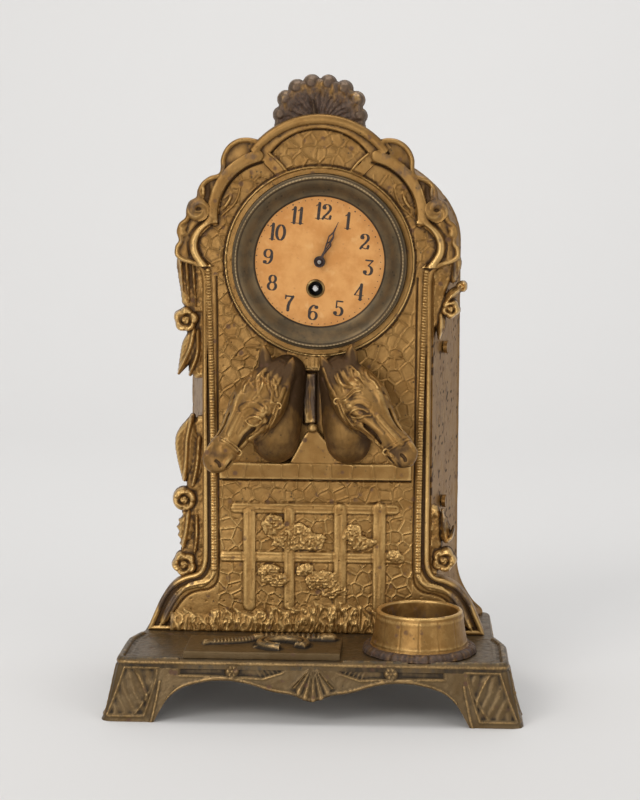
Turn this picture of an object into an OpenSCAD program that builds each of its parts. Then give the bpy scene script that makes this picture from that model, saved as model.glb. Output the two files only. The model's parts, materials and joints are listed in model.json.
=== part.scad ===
// Stable-door desk clock: a hollow-cast gilt front on a footed base, with two horse
// heads over a ledge, a round one-day movement in a drum, a feed tub and a plaque.
// Millimetres. X to the viewer's right, front towards -Y, Z up, origin on the table
// under the middle of the base.

/* [Base] */
// Half width of the base over its feet
base_half_w = 102.5; // [92:0.5:110]
// Half depth of the base over its feet
base_half_d = 60; // [56:0.5:70]
// Height of the base's top face
base_h = 30; // [24:0.5:38]
// How far the base draws in from foot to top, at each end
base_batter_x = 6; // [3:0.5:9]
// How far the base draws in from foot to top, front and back
base_batter_y = 3; // [1:0.5:5]
// Wall of the base casting
base_wall = 4; // [3:0.25:5]
// Width of one foot along the front
foot_w = 25.5; // [20:0.5:30]
// Height of the arch between the feet
arch_h = 19; // [14:0.5:24]
// Height of the raised rim round the base's top
base_rim_h = 1.2; // [0.6:0.1:2]

/* [Case] */
// Front face of the case, along Y
case_front_y = 4; // [0:0.5:8]
// Depth of the case, front face to back edge
case_depth = 49; // [42:0.5:52]
// Wall of the case casting
case_wall = 3.4; // [2.6:0.1:4.5]
// Half width of the case's back edge at mid height
case_half_w = 69.5; // [64:0.5:76]
// Share of the back edge's width that the front face has
case_taper = 0.83; // [0.78:0.01:0.9]
// Height of the arch top above the table
case_top = 290; // [284:1:300]
// Radius of the shell crest, centre to lobes
crest_r = 18.6; // [15:0.2:21]

/* [Clock opening] */
// Height of the dial's centre above the table
dial_z = 219; // [214:0.5:224]
// Radius of the movement drum
can_r = 36.4; // [34:0.2:38]
// Wall of the drum and of the other sheet metal
sheet_t = 0.7; // [0.5:0.05:1]
// Outer radius of the bezel
bezel_r = 43.5; // [42:0.25:46]
// Radius of the dial that shows inside the bezel
dial_open_r = 32.4; // [29:0.2:34]
// How far the bezel stands in front of the case
bezel_proud = 8.5; // [6:0.25:10]
// Depth of the drum, from its flange
can_depth = 47; // [45:0.5:48]

/* [Stable door] */
// Top of the ledge above the table
ledge_top = 118; // [114:0.5:122]
// Half width of the ledge
ledge_half_w = 48.3; // [42:0.5:50]
// How far the ledge stands out
ledge_proud = 4.5; // [3:0.25:7]
// Length of a head from poll to muzzle
head_l = 57; // [50:0.5:62]
// Height of a neck where it meets the case
neck_h = 45; // [38:0.5:48]

/* [Base furniture] */
// Length of the plaque
plaque_w = 76; // [64:0.5:84]
// Width of the plaque, front to back
plaque_d = 33; // [28:0.5:36]
// Thickness of the plaque
plaque_t = 3.4; // [2.5:0.1:5]
// Radius of the tub's mouth
tub_r = 20.8; // [18:0.2:23]
// Height of the tub above the base
tub_h = 20.5; // [16:0.5:26]
// Wall of the tub
tub_wall = 2; // [1.5:0.1:3]

/* [Movement] */
// Gap between the two movement plates
plate_gap = 22; // [21.5:0.1:23]
// Thickness of a movement plate
plate_t = 1.2; // [1:0.1:1.5]
// Radius of the plates
plate_r = 33.5; // [32.8:0.1:33.9]
// Radius of the centre arbor
centre_arbor_r = 0.9; // [0.8:0.02:0.95]
// Radius of the winding arbor
wind_arbor_r = 1.5; // [1.3:0.05:1.6]
// Radius of the plain train arbors
arbor_r = 0.5; // [0.45:0.01:0.55]
// Running clearance of a pivot in its hole, on the radius
run_gap = 0.04; // [0.02:0.01:0.08]
// End shake between an arbor's shoulder and a plate
end_gap = 0.15; // [0.1:0.05:0.3]
// Length of the minute hand from its centre
minute_l = 22; // [18:0.5:29]
// Length of the hour hand from its centre
hour_l = 15.5; // [11:0.5:18]

/* [Hidden] */
$fn = 48;

gilt = [0.62, 0.46, 0.24];
dark_gilt = [0.40, 0.32, 0.19];
brass = [0.76, 0.62, 0.32];
steel = [0.55, 0.56, 0.58];
blued = [0.16, 0.15, 0.17];
tin = [0.60, 0.60, 0.57];
seat_gap = 0.05;

base_top_half_w = base_half_w - base_batter_x;
base_top_half_d = base_half_d - base_batter_y;
case_back_y = case_front_y + case_depth;
wall_back_y = case_front_y + case_wall;
splay = atan(case_half_w * (1 - case_taper) / case_depth);

// Plates, discs and rods that lie along Y are drawn upright, then laid back.
module upright(y0, t) {
    translate([0, y0 + t, 0]) rotate([90, 0, 0]) linear_extrude(t) children();
}
module rod(x, z, y0, y1, r) {
    translate([x, y1, z]) rotate([90, 0, 0]) cylinder(h = y1 - y0, r = r);
}
module tube(x, z, y0, y1, r_out, r_in) {
    difference() {
        rod(x, z, y0, y1, r_out);
        rod(x, z, y0 - 1, y1 + 1, r_in);
    }
}
module both_sides() {
    children();
    mirror([1, 0, 0]) children();
}
function unit(v) = v / norm(v);
function polar(r, a) = [r * cos(a), r * sin(a)];

// A closed skin over rings that all have the same number of points.
module skin(rings) {
    n = len(rings[0]);
    m = len(rings);
    points = [for (ring = rings) each ring];
    sides = [for (i = [0:m - 2], j = [0:n - 1]) each [
        [i * n + j, i * n + (j + 1) % n, (i + 1) * n + j],
        [i * n + (j + 1) % n, (i + 1) * n + (j + 1) % n, (i + 1) * n + j]]];
    first = [[for (j = [n - 1:-1:0]) j]];
    last = [[for (j = [0:n - 1]) (m - 1) * n + j]];
    polyhedron(points, concat(sides, first, last));
}

// Base casting: four splayed feet, an arched apron all round and a rimmed top.
module base_plan(dx = 0, dy = 0) {
    w = base_half_w + dx;
    d = base_half_d + dy;
    corner = 7;
    narrow = 6.5;
    polygon([[-w + corner, -d], [w - corner, -d], [w, -d + corner], [w, -d * 0.3],
        [w - narrow, 0], [w - narrow, d - corner], [w - narrow - corner, d],
        [-w + narrow + corner, d], [-w + narrow, d - corner], [-w + narrow, 0],
        [-w, -d * 0.3], [-w, -d + corner]]);
}
module base_block(inset, h) {
    sx = (base_top_half_w - inset) / (base_half_w - inset);
    sy = (base_top_half_d - inset) / (base_half_d - inset);
    linear_extrude(h, scale = [1 + (sx - 1) * h / base_h, 1 + (sy - 1) * h / base_h],
        slices = 1, segments = 1) base_plan(-inset, -inset);
}
// Outline of the space under an apron: feet left and right, a flat arch between
// round shoulders that drops again towards the shell in the middle.
module arch_outline(half_w, h, drop) {
    shoulder = h * 0.62;
    difference() {
        union() {
            translate([-half_w + shoulder, -1]) square([2 * (half_w - shoulder), h + 1]);
            translate([-half_w, -1]) square([2 * half_w, h - shoulder + 1]);
            for (s = [-1, 1]) translate([s * (half_w - shoulder), h - shoulder])
                circle(r = shoulder);
            for (s = [-1, 1]) polygon([[s * (half_w + 1.6), -1], [s * (half_w - 1), -1],
                [s * (half_w - 1), h - shoulder]]);
        }
        if (drop > 0) polygon([[-half_w * 0.42, h + 1], [-15, h - drop * 0.62], [0, h - drop],
            [15, h - drop * 0.62], [half_w * 0.42, h + 1]]);
    }
}
shell_drop = 8;
foot_inner = base_half_w - foot_w;
// Bolt places: [x, y] of the four bolts that hold the case down.
case_bolt_at = [for (s = [-1, 1]) each [[s * 55, case_front_y + 12], [s * 60, case_back_y - 12]]];
case_bolt_r = 1.9;
bolt_clear = 0.15;
plaque_x = -24.5;
plaque_y = -base_top_half_d + 5 + plaque_d / 2;
plaque_bolt_dx = 26;
tub_x = 51.6;
tub_y = -base_top_half_d + 2.5 + tub_r + 6;
small_bolt_r = 1.3;

module base_casting() {
    color(dark_gilt) {
        difference() {
            union() {
                base_block(0, base_h);
                translate([0, 0, base_h]) base_rim();
            }
            translate([0, 0, -0.01]) base_block(base_wall, base_h - base_wall);
            upright(-base_half_d - 1, base_half_d + 1)
                arch_outline(foot_inner, arch_h, shell_drop);
            upright(0, base_half_d + 1) arch_outline(foot_inner, arch_h, 0);
            rotate([0, 0, 90]) upright(-base_half_w - 1, 2 * base_half_w + 2)
                arch_outline(base_half_d - foot_w, arch_h, 0);
            for (p = case_bolt_at) translate([p.x, p.y, 0])
                cylinder(h = base_h + 5, r = case_bolt_r + bolt_clear);
            for (s = [-1, 1]) translate([plaque_x + s * plaque_bolt_dx, plaque_y, 0])
                cylinder(h = base_h + 5, r = small_bolt_r + bolt_clear);
            translate([tub_x, tub_y, 0]) cylinder(h = base_h + 5, r = small_bolt_r + bolt_clear);
        }
        apron_shell();
        both_sides() apron_beading();
    }
}
// Raised rim that follows the ends and the front of the top face.
module base_rim() {
    rim_w = 3;
    scale_x = base_top_half_w / base_half_w;
    scale_y = base_top_half_d / base_half_d;
    difference() {
        linear_extrude(base_rim_h) scale([scale_x, scale_y]) base_plan();
        translate([0, 0, -1]) linear_extrude(base_rim_h + 2) scale([scale_x, scale_y])
            base_plan(-rim_w, -rim_w);
        translate([-base_half_w, case_front_y - 8, -1]) cube([2 * base_half_w, base_half_d, 6]);
        translate([plaque_x - plaque_w / 2 - 1, -base_half_d, -1]) cube([plaque_w + 2, 12, 6]);
        translate([tub_x, tub_y, -1]) cylinder(h = 6, r = tub_r + 8);
    }
}
// Fan of flutes in the middle of the front apron.
module apron_shell() {
    apex_z = base_h - 1.5;
    reach = 16.5;
    front = -base_half_d + 2.6;
    for (a = [-72:16:-108 + 216]) if (a <= 72) {
        l = reach * (1 - 0.12 * abs(a) / 72);
        translate([0, front, apex_z]) rotate([0, a, 0]) rotate([180, 0, 0])
            cylinder(h = l, r1 = 0.7, r2 = 1.9, $fn = 16);
    }
}
// Raised edge along the arch and the rosette beside it.
module apron_beading() {
    rosette_x = 40;
    rosette_z = base_h - 5.5;
    translate([rosette_x, -base_half_d + base_batter_y + 0.2, rosette_z]) rotate([90, 0, 0]) {
        cylinder(h = 1.4, r = 3);
        for (i = [0:5]) rotate([0, 0, 60 * i]) translate([3, 0, 0]) cylinder(h = 1.1, r = 1.4);
    }
}

// Outline of the body's back edge: straight sides, an arched top and a flared foot.
arch_z = dial_z + 8;
body_top = case_top - 13;
flare_h = 27;
flare_out = 14;
// Mid depth of the splayed sides, where the side screws sit.
side_mid_y = case_front_y + case_depth * 0.42;
module body_outline() {
    curve_r = 20;
    translate([-case_half_w, base_h]) square([2 * case_half_w, arch_z - base_h]);
    translate([0, arch_z]) scale([case_half_w, body_top - arch_z]) circle(r = 1, $fn = 64);
    for (s = [0, 1]) mirror([s, 0]) difference() {
        translate([0, base_h]) square([case_half_w + flare_out, flare_h]);
        translate([case_half_w + curve_r + 0.5, base_h + 5 + curve_r]) circle(r = curve_r);
        translate([case_half_w + 11, base_h + 9]) square([20, 30]);
    }
}
module body_block(shrink, y0, y1) {
    // The block narrows towards the front, in width only.
    depth = y1 - y0;
    share = 1 + (case_taper - 1) * (case_back_y - y0) / case_depth;
    back = 1 + (case_taper - 1) * (case_back_y - y1) / case_depth;
    translate([0, y1, 0]) rotate([90, 0, 0]) scale([back, 1, 1])
        linear_extrude(depth, scale = [share / back, 1], slices = 1, segments = 1)
            offset(delta = -shrink) body_outline();
}

// Outline of the ornate front, right half, mirrored: an arch between two leaf scrolls,
// smaller lobes down to the shoulder rose, straight sides and a flared foot.
front_edge_x = case_half_w * case_taper;
arch_r = 35.1;
arch_at = [0, case_top - arch_r - 0.4];
scroll_at = [38, case_top - 20.2];
scroll_r = 10;
lobe2_at = [51.5, case_top - 37.5];
shoulder_rose_at = [59.2, dial_z + 25.5];
leaf_lobe_at = [61.5, dial_z + 13];
front_t = 9;
// Points on an arc, from angle a0 round to a1.
function arc(at, r, a0, a1, n) = [for (k = [0:n]) at + polar(r, a0 + (a1 - a0) * k / n)];
module front_half() {
    polygon(concat([[0, base_h]], [[86, base_h], [86, base_h + 1.5], [83, base_h + 6],
        [77, base_h + 12.5], [70, base_h + 20], [64.5, base_h + 27],
        [front_edge_x + 2, base_h + 36], [front_edge_x, base_h + 45], [front_edge_x, dial_z - 2],
        [front_edge_x + 8, dial_z + 5]],
        arc(leaf_lobe_at, 9.5, -35, 50, 5), arc(shoulder_rose_at, 6.4, -20, 75, 5),
        arc(lobe2_at, 8.2, -5, 85, 6), arc(scroll_at, scroll_r, -25, 125, 10),
        arc(arch_at, arch_r, 40, 90, 8)));
}
module front_plate_solid() {
    for (m = [0, 1]) mirror([m, 0, 0]) upright(case_front_y, front_t) front_half();
}

// Relief that the front carries.
module border_relief() {
    lip_w = 1.9;
    roll_r = 1.9;
    for (s = [-1, 1]) {
        // Lip on the edge, the round strip inside it, and a fine line by the wall.
        translate([s * (front_edge_x - lip_w / 2) - lip_w / 2, case_front_y - 2.2, base_h + 45])
            cube([lip_w, 3, dial_z - base_h - 47]);
        translate([s * (front_edge_x - 4.2), case_front_y + 0.3, base_h + 40])
            cylinder(h = dial_z - base_h - 38, r = roll_r, $fn = 20);
        translate([s * (front_edge_x - 7.4), case_front_y + 0.1, base_h + 40])
            cylinder(h = dial_z - base_h - 44, r = 0.7, $fn = 16);
        // Edges of the lunette under the arch.
        translate([s * 29, case_front_y, arch_at.y + 15.6]) rotate([0, s * -128.5, 0])
            cylinder(h = 11.4, r = 1.1, $fn = 16);
        tube(s * (leaf_lobe_at.x - 7), dial_z + 9.5, case_front_y - 0.9, case_front_y + 1, 7.8, 6.2);
        tube(s * scroll_at.x, scroll_at.y, case_front_y - 1.1, case_front_y + 1, 6.8, 4.6);
    }
    // Moulded edge of the arch.
    difference() {
        tube(0, arch_at.y, case_front_y - 2.4, case_front_y + 1, arch_r - 0.3, arch_r - 3.4);
        translate([-50, case_front_y - 5, arch_at.y - 50]) cube([100, 10, 50 + 18.5]);
    }
}
fence_z = [65.5, 91];
fence_x = [-35, -15, 11, 31];
rail_h = 5.4;
module fence() {
    proud = 1.6;
    for (z = fence_z) for (s = [-1, 1]) {
        translate([s * 43, case_front_y, z + rail_h / 2]) rotate([90, 0, 0])
            cylinder(h = proud, r = rail_h / 2, $fn = 20);
        translate([min(0, s * 43), case_front_y - proud, z]) cube([43, proud + 0.5, rail_h]);
    }
    for (x = fence_x) translate([x - 3, case_front_y - proud + 0.3, base_h + 16])
        cube([6, proud, fence_z[1] + rail_h + 1 - base_h - 16]);
}
module grass() {
    for (i = [-9:9]) translate([i * 7.2, case_front_y + 0.5, base_h])
        cylinder(h = 11 + 3 * cos(i * 77), r1 = 3.6, r2 = 1.1, $fn = 16);
}
clump_at = [[-14, 85, 8], [-6, 83, 7], [-18, 60, 6], [2, 56, 8], [20, 82, 6]];
module foliage() {
    for (c = clump_at) for (i = [0:4]) {
        p = polar(c[2] * 0.5, 72 * i + c[0] * 9);
        translate([c[0] + p.x, case_front_y + 1.6, c[1] + p.y * 0.6]) sphere(r = 3.2, $fn = 16);
    }
}
// Roses and leaves that stand out from the front's edges, left then right:
// [height, radius] and [height, half length].
rose_at = [[[187, 6.4], [95.5, 6.4], [60, 6.8]], [[197, 6.2], [62.5, 6.4]]];
leaf_at = [[[170, 10], [120.5, 15.5], [77.5, 10.5]], [[209, 7], [80, 8]]];
ornament_y = case_front_y + 4.5;
module rose(r) {
    // Faces the front: one five-lobed outline and a button.
    petals = [for (a = [0:8:352]) r * (0.76 + 0.24 * pow(abs(cos(2.5 * a)), 0.7))
        * [cos(a), sin(a)]];
    rotate([90, 0, 0]) {
        translate([0, 0, -4.5]) linear_extrude(7.1) polygon(petals);
        translate([0, 0, -2]) cylinder(h = 6.2, r = r * 0.33, $fn = 20);
    }
}
// A leaf in two steps, broad below and narrow on top.
module leaf(l, w) {
    outline = [[-l, 0], [-l * 0.6, w * 0.62], [-l * 0.1, w], [l * 0.45, w * 0.7], [l, 0],
        [l * 0.45, -w * 0.7], [-l * 0.1, -w], [-l * 0.6, -w * 0.62]];
    rotate([90, 0, 0]) rotate(90) {
        translate([0, 0, -4]) linear_extrude(6) polygon(outline);
        linear_extrude(3.4) polygon([for (p = outline) [p.x * 0.72, p.y * 0.5]]);
    }
}
module edge_ornament(side) {
    for (p = rose_at[side]) translate([front_edge_x + p[1] * 1.1, ornament_y, p[0]]) rose(p[1]);
    for (p = leaf_at[side]) translate([front_edge_x + 4.6, ornament_y, p[0]])
        leaf(p[1], min(6.6, p[1] * 0.62));
}
// Shell crest: a fan of round lobes with a flute running to each.
crest_at = [0, case_front_y + 4, case_top - 1.5];
crest_lobes = 8;
lobe_r = 3.7;
module crest() {
    step = 22.2;
    translate(crest_at) {
        for (i = [0:crest_lobes - 1]) {
            a = (i - (crest_lobes - 1) / 2) * step;
            rotate([0, a, 0]) {
                translate([0, 0, crest_r]) sphere(r = lobe_r, $fn = 24);
                cylinder(h = crest_r, r1 = 1.2, r2 = 3.1, $fn = 16);
            }
        }
        translate([0, 2.2, 0]) rotate([90, 0, 0]) cylinder(h = 4.4, r = crest_r - 1, $fn = 48);
        translate([0, -2, 3]) scale([1, 0.7, 1.5]) sphere(r = 4, $fn = 20);
    }
}

can_hole_r = can_r + 0.4;
lug_r = 4.6;
lug_h = 13;
can_flange_r = can_r + 4.8;
can_screw_r = 1.1;
can_screw_pcd_r = can_r + 2.6;
can_screw_angles = [90, 210, 330];
flange_t = sheet_t;
head_screw_r = 1.5;
side_screw_z = [95.5, 175];
side_screw_y = side_mid_y;
side_screw_r = 1.3;
side_head_r = 3.2;
side_head_at = 0.1;
side_screw_x = case_half_w * (1 - (1 - case_taper) * (case_back_y - side_screw_y) / case_depth);
// Screw places behind each head, [x, z].
neck_left = [-20, 141];
neck_right = [13.5, 141];
head_screw_dz = 12;

module front_casting() {
    color(gilt) difference() {
        union() {
            difference() {
                union() {
                    body_block(0, case_front_y + 1, case_back_y);
                    front_plate_solid();
                }
                body_block(case_wall, wall_back_y, case_back_y + 0.01);
                translate([-case_half_w + 2, wall_back_y, base_h - 1])
                    cube([2 * case_half_w - 4, case_depth, 5]);
            }
            border_relief();
            fence();
            intersection() {
                grass();
                translate([-80, case_front_y - 5, base_h]) cube([160, 6, 40]);
            }
            foliage();
            mirror([1, 0, 0]) edge_ornament(0);
            edge_ornament(1);
            for (s = [-1, 1]) translate([s * shoulder_rose_at.x, case_front_y, shoulder_rose_at.y])
                rose(6);
            crest();
            tube(0, dial_z, case_front_y - 1.6, wall_back_y, bezel_r + 4.4, can_r);
            for (p = case_bolt_at) lug(p);
        }
        rod(0, dial_z, case_front_y - 9, wall_back_y + 2, can_hole_r);
        rod(0, dial_z, case_front_y - 9, case_front_y, bezel_r + 0.4);
        stable_opening();
        for (a = can_screw_angles) {
            p = polar(can_screw_pcd_r, a);
            rod(p.x, dial_z + p.y, case_front_y - 3, wall_back_y + 1, can_screw_r + seat_gap);
        }
        for (p = case_bolt_at) translate([p.x, p.y, base_h - 1])
            cylinder(h = lug_h - 1, r = case_bolt_r + seat_gap);
        for (n = [neck_left, neck_right]) for (s = [-1, 1])
            rod(n.x, n.y + s * head_screw_dz, case_front_y - 1, wall_back_y + 1,
                head_screw_r + bolt_clear);
        for (s = [-1, 1]) rod(s * (ledge_half_w - 8), ledge_top - 4, case_front_y - 1,
            wall_back_y + 1, head_screw_r + bolt_clear);
        side_screw_holes(side_screw_r + bolt_clear);
    }
}
module lug(p) {
    // Boss inside a lower corner, for the bolt that comes up through the base.
    translate([p.x, p.y, base_h]) cylinder(h = lug_h, r = lug_r);
    // The web runs into the flared wall at the foot.
    wall_x = (case_half_w + 4.5) * (1 - (1 - case_taper) * (case_back_y - p.y) / case_depth);
    reach = wall_x - abs(p.x);
    translate([p.x > 0 ? p.x : p.x - reach, p.y - 1.5, base_h]) cube([reach, 3, lug_h - 2]);
}
module stable_opening() {
    // Dark opening of the stable between and behind the two necks.
    translate([-3.2, case_front_y + 2, 150]) rotate([90, 0, 0]) linear_extrude(10)
        polygon([[-8.5, 5], [7.5, 5], [10, 0], [9, -12], [-8, -12], [-10.5, 0]]);
}
module side_screw_holes(r) {
    for (s = [-1, 1]) for (z = side_screw_z) translate([s * side_screw_x, side_screw_y, z])
        rotate([0, 0, s * -splay]) rotate([0, s * 90, 0]) {
            translate([0, 0, -14]) cylinder(h = 20, r = r);
            // Spot face for the head, which cuts into a rose where one is in the way.
            translate([0, 0, side_head_at - 0.05]) cylinder(h = 8, r = side_head_r + 0.3);
        }
}

// Sheet-metal back: fits inside the back edge, with four tabs bent forward along the
// sides, each held by a screw through the case, and a round hole for the drum.
panel_gap = 0.4;
panel_y = case_back_y - 3;
tab_w = 14;
module back_panel() {
    color(tin) difference() {
        union() {
            intersection() {
                upright(panel_y, sheet_t) offset(delta = -case_wall - panel_gap)
                    scale([1 + (case_taper - 1) * (case_back_y - panel_y) / case_depth, 1])
                        body_outline();
                translate([-120, panel_y - 1, base_h + 5]) cube([240, 4, 300]);
            }
            for (s = [-1, 1]) for (z = side_screw_z) panel_tab(s, z);
        }
        rod(0, dial_z, panel_y - 2, panel_y + 3, can_r + 0.5);
        side_screw_holes(side_screw_r + seat_gap);
    }
}
module panel_tab(s, z) {
    tab_l = panel_y - side_screw_y + 8;
    inner = case_wall / cos(splay) + 0.15;
    edge_x = case_half_w * (1 - (1 - case_taper) * (case_back_y - panel_y) / case_depth);
    translate([s * (edge_x - inner), panel_y + sheet_t, z - tab_w / 2])
        mirror([s < 0 ? 1 : 0, 0, 0]) rotate([0, 0, -splay])
            translate([-sheet_t, -tab_l, 0]) cube([sheet_t, tab_l, tab_w]);
}

// Ledge of the stable door, with the small panel that rises between the two necks.
module stable_ledge() {
    h = 8.5;
    color(gilt) difference() {
        union() {
            translate([-ledge_half_w, case_front_y - ledge_proud, ledge_top - h])
                cube([2 * ledge_half_w, ledge_proud, h]);
            translate([-ledge_half_w - 1, case_front_y - ledge_proud - 1, ledge_top - 1.2])
                cube([2 * ledge_half_w + 2, ledge_proud + 1, 1.2]);
            upright(case_front_y - 1.4, 1.4) polygon([[-8.7, ledge_top - 1],
                [2.6, ledge_top - 1], [-1.6, 136], [-4.6, 136]]);
            translate([-3.1, case_front_y, 137.5]) rotate([90, 0, 0])
                cylinder(h = 3, r1 = 2.4, r2 = 1.6, $fn = 24);
        }
        for (s = [-1, 1]) rod(s * (ledge_half_w - 8), ledge_top - 4, case_front_y - 3,
            case_front_y + 1, head_screw_r + seat_gap);
        for (n = [neck_left, neck_right]) translate([n.x, case_front_y - 10, n.y])
            scale([neck_rx + 0.5, 14, neck_h / 2 + 0.5]) rotate([-90, 0, 0])
                cylinder(h = 1, r = 1, $fn = 40);
    }
}

// Horse heads. Each is a skin over rings: a neck that leaves the case, bends up to the
// poll and runs on down the face. Stations along the face hold
// [distance from the poll, half width, forehead height, jaw depth].
neck_rx = 12.5;
ring_n = 24;
face = [[-0.07, 4, 3, 5], [-0.02, 6.8, 5.6, 8], [0.10, 8.6, 7.2, 11.5], [0.19, 10.2, 8.6, 14.8],
    [0.29, 11.2, 8.8, 16], [0.38, 10.2, 8.2, 14.6], [0.48, 8.6, 7.2, 11.6], [0.58, 7.2, 6.4, 9],
    [0.68, 6.5, 5.8, 7.6], [0.78, 6.7, 5.5, 7.2], [0.87, 7.3, 5.3, 7.6], [0.94, 6.9, 4.6, 7.2],
    [1.0, 5.4, 3.4, 5.6], [1.04, 3.2, 1.8, 3.2], [1.055, 1.2, 0.7, 1.2]];
// A point on a ring: rounder above, narrower and squarer below.
function ring_at(c, side, up, w, t, b) = [for (j = [0:ring_n - 1])
    let (a = 360 * j / ring_n, h = sin(a) >= 0 ? t : b, q = sin(a) >= 0 ? 1 : 1.12)
    c + side * w * sign(cos(a)) * pow(abs(cos(a)), q) + up * h * sin(a)];
neck_steps = 5;
neck_end_w = 8.4;
neck_end_h = 11;
// Rings of the neck, from its seat on the case to a point inside the cheek.
function neck_rings(neck, target) =
    let (seat = [neck.x, case_front_y, neck.y],
        lean = unit(target - seat))
    [for (i = [0:neck_steps])
        let (f = i / neck_steps,
            out = unit([0, -1, 0] * (1 - f) + lean * f),
            side = unit(cross(out, [0, 0, 1])),
            up = cross(side, out),
            w = neck_rx + (neck_end_w - neck_rx) * f * f,
            h = neck_h / 2 + (neck_end_h - neck_h / 2) * f)
        ring_at(seat + (target - seat) * f, side, up, w, h, h)];
module ear(at, tip, side) {
    dir = unit(tip - at);
    l = norm(tip - at);
    flat = unit(cross(side, dir));
    n = 10;
    skin([for (s = [[0, 2.6], [0.22, 3.1], [0.45, 2.9], [0.7, 1.9], [0.9, 0.8], [1, 0.25]])
        [for (j = [0:n - 1]) at + dir * l * s[0] + side * s[1] * cos(360 * j / n)
            + flat * s[1] * 0.62 * sin(360 * j / n)]]);
}
module horse_head(neck, poll, muzzle, crown_dir, ear_a, ear_b) {
    along = unit(muzzle - poll);
    side = unit(cross(along, crown_dir));
    up = cross(side, along);
    color(gilt) difference() {
        union() {
            skin([for (p = face) ring_at(poll + along * head_l * p[0], side, up, p[1], p[2],
                p[3])]);
            skin(neck_rings(neck, poll + along * head_l * 0.22 - up * 2));
            ear(poll + side * 5.5 + up * 4 + along * 3, ear_a, side);
            ear(poll - side * 5.5 + up * 4 + along * 3, ear_b, side);
            for (s = [-1, 1]) {
                translate(poll + along * head_l * 0.44 + side * s * 7.9 + up * 3.4)
                    sphere(r = 2.5, $fn = 20);
                translate(poll + along * head_l * 0.97 + side * s * 4.6 - up * 0.4)
                    sphere(r = 2.1, $fn = 16);
            }
            halter(poll, along, side, up);
        }
        for (s = [-1, 1]) rod(neck.x, neck.y + s * head_screw_dz, case_front_y - 9,
            case_front_y + 1, head_screw_r + seat_gap);
    }
}
// Noseband, a flat strap that stands a little off the face.
module halter(poll, along, side, up) {
    stations = [0.56, 0.60];
    skin([for (f = stations) ring_at(poll + along * head_l * f, side, up,
        7.4 - (f - 0.56) * 14 + 0.7, 6.5 - (f - 0.56) * 10 + 0.7, 9.6 - (f - 0.56) * 24 + 0.7)]);
}
module horse_head_left() {
    horse_head(neck_left, [-20.5, -10, 163.5], [-48.5, -38, 123.5], [0.05, -0.83, 0.55],
        [-27.4, -8, 178.6], [-12.4, -10, 172]);
}
module horse_head_right() {
    horse_head(neck_right, [11.5, -9, 165], [44.5, -34, 126], [-0.04, -0.86, 0.51],
        [1.4, -10, 173], [16.6, -8, 178.4]);
}

// Plaque with a horseshoe and a riding crop in relief.
module plaque() {
    shoe_x = 9;
    crop_y = 9;
    color(dark_gilt) translate([plaque_x, plaque_y, base_h]) difference() {
        union() {
            translate([-plaque_w / 2, -plaque_d / 2, 0]) cube([plaque_w, plaque_d, plaque_t]);
            translate([shoe_x, -3, plaque_t]) horseshoe();
            translate([28, crop_y, plaque_t + 0.6]) rotate([0, -90, 2]) cylinder(h = 30, r1 = 2.2,
                r2 = 1.7, $fn = 20);
            translate([0, crop_y - 1, plaque_t + 0.4]) rotate([0, -90, 12]) cylinder(h = 26,
                r1 = 1.2, r2 = 0.8, $fn = 16);
        }
        translate([-plaque_w, -plaque_d, -5]) cube([2 * plaque_w, 2 * plaque_d, 5]);
        for (s = [-1, 1]) translate([s * plaque_bolt_dx, 0, -1])
            cylinder(h = 3.4, r = small_bolt_r + seat_gap);
    }
}
module horseshoe() {
    outer = 11.5;
    web = 4;
    difference() {
        scale([1, 0.95, 1]) cylinder(h = 1.8, r = outer);
        translate([0, 0, -1]) scale([1, 0.95, 1]) cylinder(h = 4, r = outer - web);
        translate([3, -7, -1]) rotate([0, 0, -60]) translate([-4, -outer, 0]) cube([8, outer, 4]);
    }
}

// Feed tub: tapered body, flange on the base and a shallow well.
flange_h = 3;
well_d = 13;
module feed_tub() {
    bottom_r = tub_r + 2.7;
    flange_r = tub_r + 6.9;
    color(gilt) translate([tub_x, tub_y, base_h]) difference() {
        rotate_extrude($fn = 64) polygon([[0, 0], [flange_r, 0], [flange_r, flange_h * 0.6],
            [flange_r - 1.2, flange_h], [bottom_r + 0.8, flange_h], [bottom_r, flange_h + 0.8],
            [tub_r + 0.3, tub_h - 1], [tub_r, tub_h], [tub_r - tub_wall, tub_h],
            [tub_r - tub_wall - 0.6, tub_h - well_d], [0, tub_h - well_d]]);
        translate([0, 0, -1]) cylinder(h = 6, r = small_bolt_r + seat_gap);
    }
}

// Fasteners. A cheese-head screw along +Z, head at the bottom.
module bolt(r, head_r, head_h, l) {
    difference() {
        union() {
            cylinder(h = head_h, r = head_r);
            cylinder(h = head_h + l, r = r);
        }
        translate([-head_r, -0.35, -0.1]) cube([2 * head_r, 0.7, head_h * 0.5]);
    }
}
// Underside of the base's top, where the screw heads bear.
under_top = base_h - base_wall - 0.02;
module case_bolts() {
    color(steel) for (p = case_bolt_at) translate([p.x, p.y, under_top - 2.4])
        bolt(case_bolt_r, 3.6, 2.4, base_wall + lug_h - 3);
}
module plaque_screws() {
    color(steel) for (s = [-1, 1]) translate([plaque_x + s * plaque_bolt_dx, plaque_y,
        under_top - 1.8]) bolt(small_bolt_r, 2.6, 1.8, base_wall + 2);
}
module tub_screw() {
    color(steel) translate([tub_x, tub_y, under_top - 1.8])
        bolt(small_bolt_r, 2.6, 1.8, base_wall + 4);
}
module head_screws() {
    color(steel) {
        for (n = [neck_left, neck_right]) for (s = [-1, 1])
            translate([n.x, wall_back_y + 2, n.y + s * head_screw_dz]) rotate([90, 0, 0])
                bolt(head_screw_r, 3, 2, case_wall + 7);
        for (s = [-1, 1]) translate([s * (ledge_half_w - 8), wall_back_y + 2, ledge_top - 4])
            rotate([90, 0, 0]) bolt(head_screw_r, 3, 2, case_wall + 2.4);
    }
}
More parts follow.
